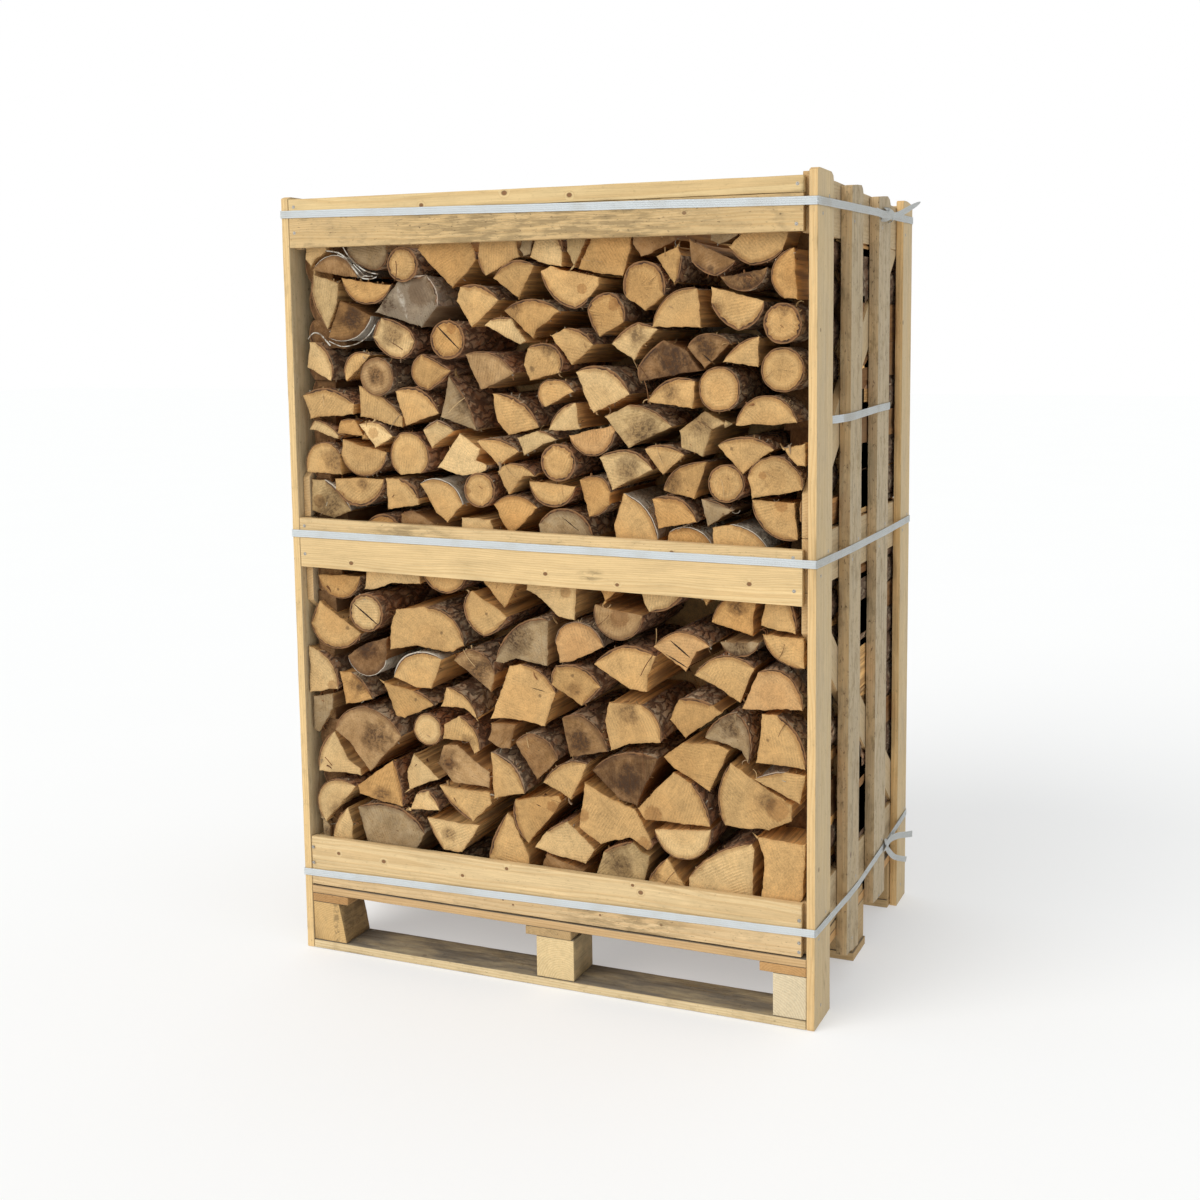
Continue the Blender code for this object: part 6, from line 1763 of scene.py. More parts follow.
@dataclass(frozen=True)
class LooseShred:
    """Finish of bark flakes and splinters, in the colour that each one carries.

    Attributes:
        name: The material's name.
        birch: Whether it is white birch bark.
    """

    name: str
    birch: bool = False

    def make(self) -> bpy.types.Material:
        """Make the material.

        Returns:
            The material.
        """
        graph = Graph(self.name)
        place = graph.here()
        grain = graph.noise(place, 420.0, 3.0, 0.65)
        broad = graph.noise(place, 60.0, 3.0, 0.6)
        colour = graph.attribute("shade")
        if self.birch:
            colour = graph.mix(broad.step(0.44, 0.58), srgb(200, 194, 182), srgb(120, 104, 86))
        colour = graph.brighten(colour, 0.35 + grain * 0.8 + broad * 0.5)
        return graph.finish(colour, 0.85, grain, 0.0008, specular=0.25)


@dataclass(frozen=True)
class NailSteel:
    """Finish of the nail heads: dull zinc."""

    def make(self) -> bpy.types.Material:
        """Make the material.

        Returns:
            The material.
        """
        graph = Graph("nail_steel")
        spots = graph.noise(graph.here(), 520.0, 3.0, 0.6)
        colour = graph.mix(spots.step(0.40, 0.64), srgb(196, 192, 184), srgb(122, 112, 100))
        return graph.finish(colour, 0.42 + spots * 0.2, spots, 0.0003, metal=0.85)


@dataclass(frozen=True)
class PaleFloor:
    """Finish of the floor.

    Attributes:
        glow: Light of its own, which keeps the shadow on it pale.
    """

    glow: float = 0.36

    def make(self) -> bpy.types.Material:
        """Make the material.

        Returns:
            The material.
        """
        graph = Graph("pale_floor")
        cloud = graph.noise(graph.here(), 1.5, 2.0)
        material = graph.finish(graph.mix(cloud, (0.60, 0.60, 0.60), (0.61, 0.61, 0.61)), 0.9, specular=0.0)
        shader = next(node for node in material.node_tree.nodes if node.type == "BSDF_PRINCIPLED")
        shader.inputs["Emission Color"].default_value = (1.0, 1.0, 1.0, 1.0)
        shader.inputs["Emission Strength"].default_value = self.glow
        return material


class Finishes:
    """Every finish, made once."""

    def __init__(self) -> None:
        """Make all materials."""
        self.sawn = SawnWood().make()
        self.split = SplitWood().make()
        self.bark = Bark().make()
        self.cut_bark = CutBark().make()
        self.strap = WovenStrap().make()
        self.steel = NailSteel().make()
        self.shred = LooseShred("loose_shred").make()
        self.strip = LooseShred("birch_strip", True).make()
        self.floor = PaleFloor().make()
        self.timber = {
            "front_boards": PineTimber("front_pine").make(),
            "side_boards": PineTimber("side_pine", 0.0046, 0.26, 0.34, edge_warmth=0.7).make(),
            "pallet_boards": PineTimber("pallet_pine", 0.0050, 0.32, 0.92, srgb(126, 116, 102)).make(),
        }

    def log_set(self) -> list[bpy.types.Material]:
        """Give the logs' materials in the order of LogSide."""
        return [self.sawn, self.split, self.bark, self.cut_bark]


class FirewoodStack:
    """The three rows of logs, made course by course."""

    FRONT = LogRow("front", "firewood_row_front", FRONT_ROW_FACE_Y, -1.0, 0.0044, 0.0, False, False, 0.085,
                   (0.0022, 0.006, 0.012, 0.021, 0.034, 0.052, 0.080, 0.115, 0.15, 0.185, 0.22, LOG_LENGTH))
    MIDDLE = LogRow("middle", "firewood_row_middle", MIDDLE_ROW_FACE_Y, -1.0, 0.015, 0.020, False, True,
                    0.016,
                    (0.0022, 0.03, 0.07, 0.11, 0.15, 0.20, LOG_LENGTH))
    BACK = LogRow("back", "firewood_row_back", BACK_ROW_FACE_Y, 1.0, 0.0062, 0.0, True, False, 0.016,
                  (0.0022, 0.010, 0.030, 0.07, 0.11, 0.15, 0.20, LOG_LENGTH))

    def __init__(self, finishes: Finishes) -> None:
        """Keep the finishes."""
        self.finishes = finishes

    def hidden_course(self) -> list[LogEnd]:
        """Lay the lowest course by rule: it stands on the deck and no opening shows it.

        Returns:
            Its log ends, side by side.
        """
        ends = []
        width = 2.0 * STACK_HALF_WIDTH / HIDDEN_COURSE_COUNT
        tones = list(Tone)
        for index in range(HIDDEN_COURSE_COUNT):
            left = -STACK_HALF_WIDTH + index * width + 0.15
            right = left + width - 0.3
            shoulder = HIDDEN_COURSE_HIGH - 1.5 - 0.8 * draw(index, 20.0)
            corners = [(left, HIDDEN_COURSE_LOW), (right, HIDDEN_COURSE_LOW), (right, shoulder, 0.16),
                       (left, shoulder)]
            ends.append(LogEnd(tones[(index * 5) % len(tones)], corners))
        return ends

    def side_logs(self, row: LogRow) -> list[LogEnd]:
        """Fill the room between a row's outermost logs and the side panels with slim logs behind them.

        Args:
            row: The row.

        Returns:
            The log ends of the slim logs, left and right.
        """
        maker = LogMaker(row)
        outlines = [OutlineCutter(maker.turned(end), 0, maker.shift(end), 0.02).cut().points
                    for end in LOG_ENDS]
        ends = []
        # Dark tones for the slim side logs, which are seen only in the shade between the slats: painted
        # shade.
        tones = (Tone.DARK, Tone.DARK, Tone.BROWN, Tone.DARK, Tone.RUST)
        for side in (-1.0, 1.0):
            low = HIDDEN_COURSE_HIGH + 0.6
            while low < SIDE_LOGS_TOP:
                seed = low * 3.1 + side + row.face_y
                high = min(SIDE_LOGS_TOP + 3.0, low + 5.6 + 3.0 * draw(seed, 21.0))
                near = [side * x for outline in outlines for x, z in outline
                        if low / 100.0 < z < high / 100.0 and side * x > 0.3]
                inner = 100.0 * (min(sorted(near)[-3:]) if len(near) > 3 else 0.45) - 4.5
                round_out = 0.20 if draw(seed, 24.0) > 0.35 else 0.0
                if row.outward > 0.0:
                    round_out *= 0.3
                outer = 100.0 * SLAT_LIMIT_X - round_out * (high - low + 0.6)
                if row.outward < 0.0 and side > 0.0:
                    outer -= 1.6 * draw(seed, 26.0)
                if outer - inner > 1.5:
                    lean = 0.6 * (draw(seed, 22.0) - 0.5)
                    corners = [(inner, low - 0.4), (outer, low - 0.3, round_out), (outer, high + 0.3),
                               (inner, high + 0.3 + lean)]
                    if side < 0.0:
                        corners = mirrored(corners)
                    tone = tones[int(draw(seed, 23.0) * len(tones))]
                    # A star of -1 marks the log so that its split sides and bark get painted shade.
                    ends.append(LogEnd(tone, corners, star=-1.0))
                low = high
        return ends

    def build(self) -> None:
        """Make every row."""
        for row in (self.FRONT, self.MIDDLE, self.BACK):
            maker = LogMaker(row)
            stops = COURSE_STARTS[1:] + (len(LOG_ENDS),)
            for course, (start, stop) in enumerate(zip(COURSE_STARTS, stops), start=1):
                draft = Draft()
                for number in range(start, stop):
                    maker.add(draft, LOG_ENDS[number], number)
                self._finish(draft, row, f"{row.name}_logs_course_{course}")
            draft = Draft()
            for index, end in enumerate(self.hidden_course()):
                maker.add(draft, end, 300 + index)
            self._finish(draft, row, f"{row.name}_logs_course_{len(COURSE_STARTS) + 1}")
            draft = Draft()
            for index, end in enumerate(self.side_logs(row)):
                recess = row.side_recess if end.corners[0][0] > 0.0 else SIDE_RECESS_LEFT
                maker.add(draft, end, 400 + index, recess + 0.018 * draw(index, 25.0))
            self._finish(draft, row, f"{row.name}_side_logs")

    def _finish(self, draft: Draft, row: LogRow, name: str) -> None:
        """Turn one course into a piece that stands for its row's solid.

        Args:
            draft: The draft.
            row: The row.
            name: The piece's name.
        """
        piece = draft.make(name, self.finishes.log_set())
        report(piece)
        hand_over(piece, "split_logs", row.node)


def report(piece: bpy.types.Object) -> None:
    """Report one finished piece."""
    LOG.info("%s: %d faces", piece.name, len(piece.data.polygons))


def hand_over(piece: bpy.types.Object, slot: str, *nodes: str) -> None:
    """Let a piece ride on the crate, and hide the solids that it stands for.

    Args:
        piece: The piece.
        slot: Name of its finish slot; not used.
        nodes: Names of the solids that it stands for.
    """
    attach(piece, "root")
    if nodes:
        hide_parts(*nodes)


class Grain(Enum):
    """Directions of a board's length, width and thickness, as numbers of the axes."""

    BAND = (0, 2, 1)
    SLAT = (2, 1, 0)
    RAIL = (1, 2, 0)
    FLAT_WIDE = (0, 1, 2)
    FLAT_DEEP = (1, 0, 2)


@dataclass(frozen=True)
class BoardLook:
    """What one board looks like.

    Attributes:
        hue: Colour of the fresh wood.
        grey: How weathered it is, 0 to 1.
        dirt: How stained it is, 0 to 1.
        knots: Knots as (along, across, radius) in metres, in the crate's own coordinates.
        patch: A stain as (along, across, radius).
        rough: How ragged its edges are, in metres.
        waney: How much bark its long edges still have, 0 to 1.
    """

    hue: Colour
    grey: float = 0.15
    dirt: float = 0.15
    knots: tuple[Point, ...] = ()
    patch: Point = (9.0, 9.0, 0.05)
    rough: float = 0.0012
    waney: float = 0.0


# Fresh colour, weathering and dirt of each kind of board.
SLOT_LOOKS = {
    "front_boards": (srgb(220, 190, 140), 0.16, 0.22),
    "side_boards": (srgb(214, 186, 140), 0.34, 0.36),
    "pallet_boards": (srgb(204, 172, 122), 0.38, 0.34),
}
# Boards that the photograph shows closely: knots are (along, across, radius) in metres.
BOARD_LOOKS = {
    "front_band_top_upper_board": BoardLook(
        srgb(222, 194, 142), 0.12, 0.20, ((-0.251, 1.647, 0.006), (-0.058, 1.664, 0.007),
                                          (0.087, 1.654, 0.006)), rough=0.0016),
    "front_band_top_lower_board": BoardLook(
        srgb(214, 182, 130), 0.30, 0.62, ((0.331, 1.610, 0.005),), (0.022, 1.612, 0.40), 0.0026),
    "front_band_middle_upper_board": BoardLook(
        srgb(222, 192, 142), 0.14, 0.40, ((0.300, 0.948, 0.005),), (-0.300, 0.942, 0.12)),
    "front_band_middle_lower_board": BoardLook(
        srgb(226, 196, 144), 0.08, 0.12, ((-0.449, 0.889, 0.006), (0.020, 0.890, 0.006),
                                          (0.181, 0.876, 0.005), (0.462, 0.893, 0.006)),
        (0.124, 0.893, 0.03)),
    "front_band_bottom_upper_board": BoardLook(
        srgb(222, 194, 146), 0.12, 0.22, ((-0.508, 0.228, 0.005), (-0.391, 0.224, 0.006),
                                          (-0.193, 0.218, 0.005), (-0.085, 0.247, 0.005),
                                          (0.225, 0.236, 0.006), (0.207, 0.249, 0.004))),
    "front_band_bottom_lower_board": BoardLook(
        srgb(218, 188, 142), 0.18, 0.45, ((-0.094, 0.178, 0.003), (-0.070, 0.170, 0.003),
                                          (0.134, 0.176, 0.003), (0.271, 0.174, 0.004)),
        (0.180, 0.178, 0.16), 0.0018),
    "right_slat_1": BoardLook(srgb(224, 196, 146), 0.22, 0.22,
                              ((0.325, -0.374, 0.006), (1.384, -0.377, 0.005)),
                              (0.088, -0.326, 0.03)),
    "right_slat_2": BoardLook(srgb(204, 180, 140), 0.50, 0.95,
                              ((0.282, -0.150, 0.007), (0.130, -0.162, 0.005))),
    "right_slat_3": BoardLook(srgb(204, 182, 146), 0.45, 1.00, ()),
    "right_slat_4": BoardLook(srgb(226, 196, 144), 0.16, 0.30, ((1.400, 0.316, 0.006),)),
    "left_slat_1": BoardLook(srgb(228, 202, 152), 0.16, 0.40, ()),
    "left_slat_2": BoardLook(srgb(206, 168, 116), 0.45, 1.00, ()),
    "pallet_runner_front": BoardLook(srgb(230, 206, 160), 0.16, 0.50, ((-0.298, -0.388, 0.006),
                                                                      (-0.256, -0.372, 0.006)),
                                     (0.338, -0.324, 0.05)),
    "pallet_deck_board_1": BoardLook(srgb(216, 178, 126), 0.14, 0.26),
    "pallet_stringer_left": BoardLook(srgb(196, 150, 94), 0.10, 0.45, rough=0.0026),
    "pallet_stringer_right": BoardLook(srgb(210, 164, 106), 0.08, 0.18),
    "pallet_block_left_front": BoardLook(srgb(228, 192, 132), 0.08, 0.30, (), (-0.395, -0.520, 0.02), 0.0030,
                                         1.0),
    "pallet_block_middle_front": BoardLook(srgb(242, 218, 168), 0.06, 0.22, waney=0.7),
    "pallet_block_right_front": BoardLook(srgb(236, 222, 190), 0.06, 0.14),
}


class Carpentry:
    """All boards of the crate: pallet, side panels and bands, each dressed as its own piece."""

    def __init__(self, nodes: dict[str, bpy.types.Object], finishes: Finishes) -> None:
        """Keep the frame's solids and the finishes."""
        self.nodes = nodes
        self.finishes = finishes

    def build(self) -> None:
        """Dress every board."""
        seed = 0
        for name in sorted(self.nodes):
            kind = board_kind(name)
            if kind is None:
                continue
            seed += 1
            grain, slot = kind
            look = BOARD_LOOKS.get(name, self._plain_look(name, slot, seed, grain))
            self._dress(name, grain, slot, look, seed)

    def _plain_look(self, name: str, slot: str, seed: int, grain: Grain) -> BoardLook:
        """Give a board that isn't described on its own a look of its kind.

        Args:
            name: The board's name.
            slot: Its finish slot.
            seed: The board's number.
            grain: Directions of the board.

        Returns:
            The look, with up to three knots at drawn places.
        """
        low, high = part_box(name)
        along, across, _ = grain.value
        knots = []
        for index in range(3):
            if draw(seed, 30.0 + index) < 0.72:
                place = low[along] + (high[along] - low[along]) * draw(seed, 40.0 + index)
                side = low[across] + (high[across] - low[across]) * draw(seed, 50.0 + index)
                knots.append((place, side, 0.004 + 0.009 * draw(seed, 60.0 + index)))
        hue, grey, dirt = SLOT_LOOKS[slot]
        vary = 0.94 + 0.12 * draw(seed, 70.0)
        return BoardLook((hue[0] * vary, hue[1] * vary, hue[2] * vary), grey * (0.6 + 0.8 * draw(seed, 71.0)),
                         dirt * (0.5 + draw(seed, 72.0)), tuple(knots))

    def _dress(self, name: str, grain: Grain, slot: str, look: BoardLook, seed: int) -> None:
        """Make the dressed copy of one board.

        Args:
            name: Name of the solid that it stands for.
            grain: Directions of the board.
            slot: Its finish slot.
            look: What it looks like.
            seed: Its number.
        """
        work = bmesh.new()
        work.from_mesh(self.nodes[name].data)
        bmesh.ops.remove_doubles(work, verts=work.verts, dist=0.00002)
        bmesh.ops.dissolve_limit(work, angle_limit=0.01, verts=work.verts, edges=work.edges)
        bmesh.ops.bevel(work, geom=list(work.edges), offset=BOARD_EDGE_ROUNDING, segments=2, profile=0.6,
                        affect="EDGES", clamp_overlap=True)
        slope = BRACE_SLOPES.get(name.split("_", 1)[1], 0.0)
        self._cut(work, grain, slope)
        work.normal_update()
        low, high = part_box(name)
        along, across, through = grain.value
        middle = [(low[axis] + high[axis]) / 2.0 for axis in (along, across, through)]
        places, flags = [], []
        for vertex in work.verts:
            normal = vertex.normal
            corner = 1.0 - smooth(max(abs(normal.x), abs(normal.y), abs(normal.z)), 0.88, 0.985)
            if slope:
                corner = 1.0 - smooth(max(abs(normal.x), (1.0 - normal.x ** 2) ** 0.5), 0.88, 0.985)
            ending = smooth(abs(normal[along]), 0.5, 0.95)
            places.append(tuple(vertex.co))
            flags.append((ending, corner, abs(normal[through])))
        for vertex, place in zip(work.verts, places):
            self._wear(vertex, Vector(place), look, seed)
        mesh = bpy.data.meshes.new(name)
        work.to_mesh(mesh)
        work.free()
        count = len(mesh.vertices)
        turned = [self._grain_place(place, grain, slope) for place in places]
        heart = (middle[1] + 0.10 * (draw(seed, 80.0) - 0.5), middle[2] - 0.020 - 0.05 * draw(seed, 81.0))
        knots = list(look.knots) + [(9.0, 9.0, 0.01)] * 6
        vectors: dict[str, list[Point]] = {
            "board": turned, "flags": flags, "heart": [(heart[0], heart[1], draw(seed, 82.0))] * count,
            "look": [(look.grey, look.dirt, look.waney)] * count, "hue": [look.hue] * count,
            "patch": [look.patch] * count,
        }
        for index in range(6):
            vectors[f"knot_{index + 1}"] = [knots[index]] * count
        for label, values in vectors.items():
            layer = mesh.attributes.new(label, "FLOAT_VECTOR", "POINT")
            layer.data.foreach_set("vector", np.asarray(values, dtype=np.float32).ravel())
        mesh.materials.clear()
        mesh.materials.append(self.finishes.timber[slot])
        mesh.polygons.foreach_set("use_smooth", [True] * len(mesh.polygons))
        mesh.polygons.foreach_set("material_index", [0] * len(mesh.polygons))
        mesh.set_sharp_from_angle(angle=SHARP_ANGLE)
        piece = bpy.data.objects.new("dressed_" + name, mesh)
        bpy.context.scene.collection.objects.link(piece)
        report(piece)
        hand_over(piece, slot, name)

    def _grain_place(self, place: Point, grain: Grain, slope: float) -> Point:
        """Turn a place of the crate into along, across and through the board.

        Args:
            place: The place.
            grain: How the board lies.
            slope: Its slope, for a brace.

        Returns:
            The place in the board's own directions.
        """
        if not slope:
            return tuple(place[axis] for axis in grain.value)
        length = math.hypot(1.0, slope)
        return ((place[1] + slope * place[2]) / length, (place[2] - slope * place[1]) / length, place[0])

    def _cut(self, work: bmesh.types.BMesh, grain: Grain, slope: float) -> None:
        """Cut a board into short pieces along its length and a few across it.

        Args:
            work: The board's mesh.
            grain: How the board lies.
            slope: Its slope, for a brace.
        """
        along, across, through = grain.value
        directions = [(Vector([1.0 if axis == along else 0.0 for axis in range(3)]), BOARD_CUT_SPACING),
                      (Vector([1.0 if axis == across else 0.0 for axis in range(3)]), 0.026)]
        if slope:
            directions = [(Vector((0.0, 1.0, slope)).normalized(), BOARD_CUT_SPACING),
                          (Vector((0.0, -slope, 1.0)).normalized(), 0.026)]
        for normal, spacing in directions:
            reach = [normal.dot(vertex.co) for vertex in work.verts]
            start, stop = min(reach) + 0.008, max(reach) - 0.008
            pieces = max(1, round((stop - start) / spacing))
            for index in range(pieces + 1):
                geometry = list(work.verts) + list(work.edges) + list(work.faces)
                place = normal * (start + (stop - start) * index / pieces)
                bmesh.ops.bisect_plane(work, geom=geometry, dist=0.00005, plane_co=place, plane_no=normal)

    def _wear(self, vertex: bmesh.types.BMVert, place: Vector, look: BoardLook, seed: int) -> None:
        """Move a point a little into the board: slight waves on faces, chips on edges.

        Args:
            vertex: The point.
            place: Where it lies.
            look: How the board looks.
            seed: The board's number.
        """
        waves = noise.noise(place * 9.0 + Vector((seed, 0.0, 0.0)))
        grain = noise.noise(place * 70.0 + Vector((0.0, seed, 0.0)))
        inward = BOARD_WEAR * (0.55 + 0.6 * waves + 0.35 * grain)
        normal = vertex.normal
        straight = max(abs(normal.x), abs(normal.y), abs(normal.z))
        if straight < 0.93:
            chip = noise.noise(place * 31.0 + Vector((3.0 * seed, 1.0, 5.0)))
            inward += look.rough * max(0.0, chip - 0.12) * 2.2
        vertex.co = place - normal * max(0.0, inward)


def board_kind(name: str) -> tuple[Grain, str] | None:
    """Tell how a board lies and which finish slot it has, from its name; None where it isn't a board.

    Args:
        name: The node's name.

    Returns:
        How the grain lies, and the finish slot; or None.
    """
    if "_band_" in name:
        return Grain.BAND, "front_boards"
    if "_slat_" in name and not name.startswith("tie"):
        return Grain.SLAT, "side_boards"
    if "_rail_" in name or "_brace_" in name:
        return Grain.RAIL, "side_boards"
    if "runner" in name or "deck" in name:
        return Grain.FLAT_WIDE, "pallet_boards"
    if "stringer" in name or "block" in name:
        return Grain.FLAT_DEEP, "pallet_boards"
    return None


class RibbonMaker:
    """Adds thin flat ribbons along smooth lines to a draft."""

    thickness = STRAP_THICKNESS

    def __init__(self, finishes: Finishes) -> None:
        """Keep the finishes."""
        self.finishes = finishes

    def _loose_piece(self, draft: Draft, path: Sequence[tuple[float, ...]], width: float, number: int
                     ) -> None:
        """Add an open piece along a path of points (x, y, z, facing x, y, z, and a share of the width).

        Args:
            draft: The draft.
            path: The path's points.
            width: The ribbon's width.
            number: The ribbon's number.
        """
        points: list[Vector] = []
        facings: list[Vector] = []
        shares: list[float] = []
        path = [(*spot, 1.0)[:7] for spot in path]
        for index, spot in enumerate(path[:-1]):
            before = path[max(0, index - 1)]
            after = path[index + 1]
            beyond = path[min(len(path) - 1, index + 2)]
            pieces = max(2, round(math.dist(spot[:3], after[:3]) / 0.0035))
            for step in range(pieces + (1 if index == len(path) - 2 else 0)):
                share = step / pieces
                values = [curve_value(before[axis], spot[axis], after[axis], beyond[axis], share)
                          for axis in range(7)]
                points.append(Vector(values[:3]))
                facings.append(Vector(values[3:6]).normalized())
                shares.append(width * values[6])
        self._ribbon(draft, points, facings, shares, False, number)

    def _ribbon(self, draft: Draft, points: Sequence[Vector], facings: Sequence[Vector],
                widths: Sequence[float], closed: bool, number: int) -> None:
        """Add a flat woven ribbon along a line.

        Args:
            draft: The draft it is added to.
            points: Middle line of its inner face.
            facings: Directions that it faces at the points.
            widths: Its width at the points.
            closed: Whether its end meets its start.
            number: Its number.
        """
        count = len(points)
        across_count = 7
        travelled = 0.0
        first = len(draft.points)
        for index, (point, facing, width) in enumerate(zip(points, facings, widths)):
            before = points[index - 1] if closed or index else point
            after = points[(index + 1) % count] if closed or index < count - 1 else point
            tangent = (after - before).normalized()
            across = tangent.cross(facing).normalized()
            outward = across.cross(tangent).normalized()
            travelled += (point - points[index - 1]).length if index else 0.0
            section, marks = [], []
            for side in (1.0, 0.0):
                steps = range(across_count) if side else reversed(range(across_count))
                for step in steps:
                    share = 2.0 * step / (across_count - 1) - 1.0
                    fray = 0.0004 * noise.noise(Vector((travelled * 160.0, share * 3.0, number)))
                    rise = side * self.thickness * (1.0 - 0.3 * share ** 4) + 0.00035 * (1.0 - side)
                    offset = share * (width / 2.0 + (fray if abs(share) > 0.9 else 0.0))
                    section.append(tuple(point + across * offset + outward * rise))
                    marks.append((travelled, share * width / 2.0, side))
            draft.add_points(section, weave=marks)
        ring = 2 * across_count
        for index in range(count if closed else count - 1):
            near = first + index * ring
            far = first + ((index + 1) % count) * ring
            for step in range(ring):
                following = (step + 1) % ring
                draft.add_face((near + step, near + following, far + following, far + step), 0)
        if not closed:
            draft.add_face(tuple(first + step for step in reversed(range(ring))), 0)
            draft.add_face(tuple(first + (count - 1) * ring + step for step in range(ring)), 0)


class WovenStraps(RibbonMaker):
    """The three straps round the crate with their knots and tails, and the short tie."""

    def build(self) -> None:
        """Make every strap."""
        for number, (name, heights) in enumerate(STRAP_HEIGHTS.items(), start=1):
            draft = Draft()
            points, facings = self._loop(heights, number)
            self._ribbon(draft, points, facings, [STRAP_WIDTH] * len(points), True, number)
            for turn, (path, width) in enumerate(STRAP_ENDS.get(name, ()), start=1):
                self._loose_piece(draft, path, width, number * 10 + turn)
            piece = draft.make("dressed_strap_" + name, [self.finishes.strap])
            report(piece)
            hand_over(piece, "woven_strap", "strap_" + name)
        draft = Draft()
        self._loose_piece(draft, TIE_PATH, STRAP_WIDTH, 5)
        piece = draft.make("dressed_tie_right_slats", [self.finishes.strap])
        report(piece)
        hand_over(piece, "woven_strap", "tie_right_slats")

    def _loop(self, heights: tuple[Sequence[float], Sequence[float]], number: int
              ) -> tuple[list[Vector], list[Vector]]:
        """Lay the closed path of a strap: over the slats' outer faces and straight across front and back.

        Args:
            heights: Heights at the points of the right half loop, and at the front left and rear left corner.
            number: The strap's number.

        Returns:
            Points of the middle line on the strap's inner face, and the directions it faces there.
        """
        half = list(STRAP_HALF_LOOP)
        corners = half + [(-x, y) for x, y in reversed(half)]
        front_left, rear_left = heights[1]
        levels = list(heights[0])
        for _, y in corners[len(half):]:
            levels.append(front_left + (rear_left - front_left) * (y + 0.4) / 0.8)
        count = len(corners)
        points: list[Vector] = []
        facings: list[Vector] = []
        last = self._facing(corners[-1], corners[0])
        for index, (x, y) in enumerate(corners):
            following = corners[(index + 1) % count]
            length = math.dist((x, y), following)
            facing = self._facing((x, y), following)
            pieces = max(1, round(length / 0.012))
            near = STRAP_CORNER / length
            for share in [0.0, near, *(step / pieces for step in range(1, pieces)), 1.0 - near]:
                at_x = x + (following[0] - x) * share
                at_y = y + (following[1] - y) * share
                level = levels[index] + (levels[(index + 1) % count] - levels[index]) * share
                wave = 0.0006 * noise.noise(Vector((at_x * 9.0, at_y * 9.0, number)))
                points.append(Vector((at_x, at_y, level + wave)))
                facings.append(facing if share else (facing + last).normalized())
            last = facing
        return points, facings

    @staticmethod
    def _facing(start: Flat, stop: Flat) -> Vector:
        """Give the level direction in which the strap faces between two of its corners."""
        return Vector((stop[1] - start[1], start[0] - stop[0], 0.0)).normalized()


def curve_value(before: float, start: float, stop: float, beyond: float, share: float) -> float:
    """Give a value on the smooth curve between two points of a path.

    Args:
        before: Value at the point before the stretch.
        start: Value where it starts.
        stop: Value where it stops.
        beyond: Value at the point after it.
        share: How far along the stretch, 0 to 1.

    Returns:
        The value there.
    """
    square = share * share
    cube = square * share
    return 0.5 * (2.0 * start + (stop - before) * share
                  + (2.0 * before - 5.0 * start + 4.0 * stop - beyond) * square
                  + (3.0 * start - before - 3.0 * stop + beyond) * cube)


class GeometryTree:
    """A Geometry Nodes tree that is built, run on a mesh and turned into a plain mesh."""

    def __init__(self, name: str, sizes: dict[str, float]) -> None:
        """Start a tree with named sizes as its inputs.

        Args:
            name: The tree's name.
            sizes: Name and value of each size.
        """
        self.tree = bpy.data.node_groups.new(name, "GeometryNodeTree")
        self.tree.interface.new_socket("Geometry", in_out="INPUT", socket_type="NodeSocketGeometry")
        self.sizes = sizes
        self.identifiers = {}
        for label in sizes:
            socket = self.tree.interface.new_socket(label, in_out="INPUT", socket_type="NodeSocketFloat")
            self.identifiers[label] = socket.identifier
        self.tree.interface.new_socket("Geometry", in_out="OUTPUT", socket_type="NodeSocketGeometry")
        self.entry = self.tree.nodes.new("NodeGroupInput")
        self.exit = self.tree.nodes.new("NodeGroupOutput")

    def node(self, kind: str, settings: dict | None = None, inputs: dict | None = None) -> bpy.types.Node:
        """Add a node; a socket given as an input is linked, any other value is set.

        Args:
            kind: Blender's name of the node.
            settings: Values of its properties.
            inputs: Values or sockets for its inputs.

        Returns:
            The node.
        """
        made = self.tree.nodes.new(kind)
        for key, value in (settings or {}).items():
            setattr(made, key, value)
        for key, value in (inputs or {}).items():
            if isinstance(value, bpy.types.NodeSocket):
                self.tree.links.new(value, made.inputs[key])
            else:
                made.inputs[key].default_value = value
        return made

    def read(self, name: str, kind: str = "FLOAT_VECTOR") -> bpy.types.NodeSocket:
        """Read a named attribute of the points."""
        made = self.node("GeometryNodeInputNamedAttribute", {"data_type": kind}, {"Name": name})
        return next(socket for socket in made.outputs if socket.enabled and socket.name == "Attribute")

    def close(self, geometry: bpy.types.NodeSocket, material: bpy.types.Material) -> None:
        """End the tree in Realize Instances and Set Material.

        Args:
            geometry: The socket with the finished shape.
            material: Its material.
        """
        realised = self.node("GeometryNodeRealizeInstances", None, {"Geometry": geometry})
        dressed = self.node("GeometryNodeSetMaterial", None,
                            {"Geometry": realised.outputs[0], "Material": material})
        self.tree.links.new(dressed.outputs[0], self.exit.inputs[0])

    def run(self, name: str, draft: Draft) -> bpy.types.Object:
        """Run the tree on a draft's points.

        Args:
            name: Name of the finished piece.
            draft: Points with their vectors.

        Returns:
            The finished piece with a plain mesh.
        """
        base = draft.make(name, [], smooth_faces=False)
        modifier = base.modifiers.new("tree", "NODES")
        modifier.node_group = self.tree
        for label, value in self.sizes.items():
            modifier[self.identifiers[label]] = value
        graph = bpy.context.evaluated_depsgraph_get()
        mesh = bpy.data.meshes.new_from_object(base.evaluated_get(graph))
        base.modifiers.clear()
        base.data = mesh
        return base


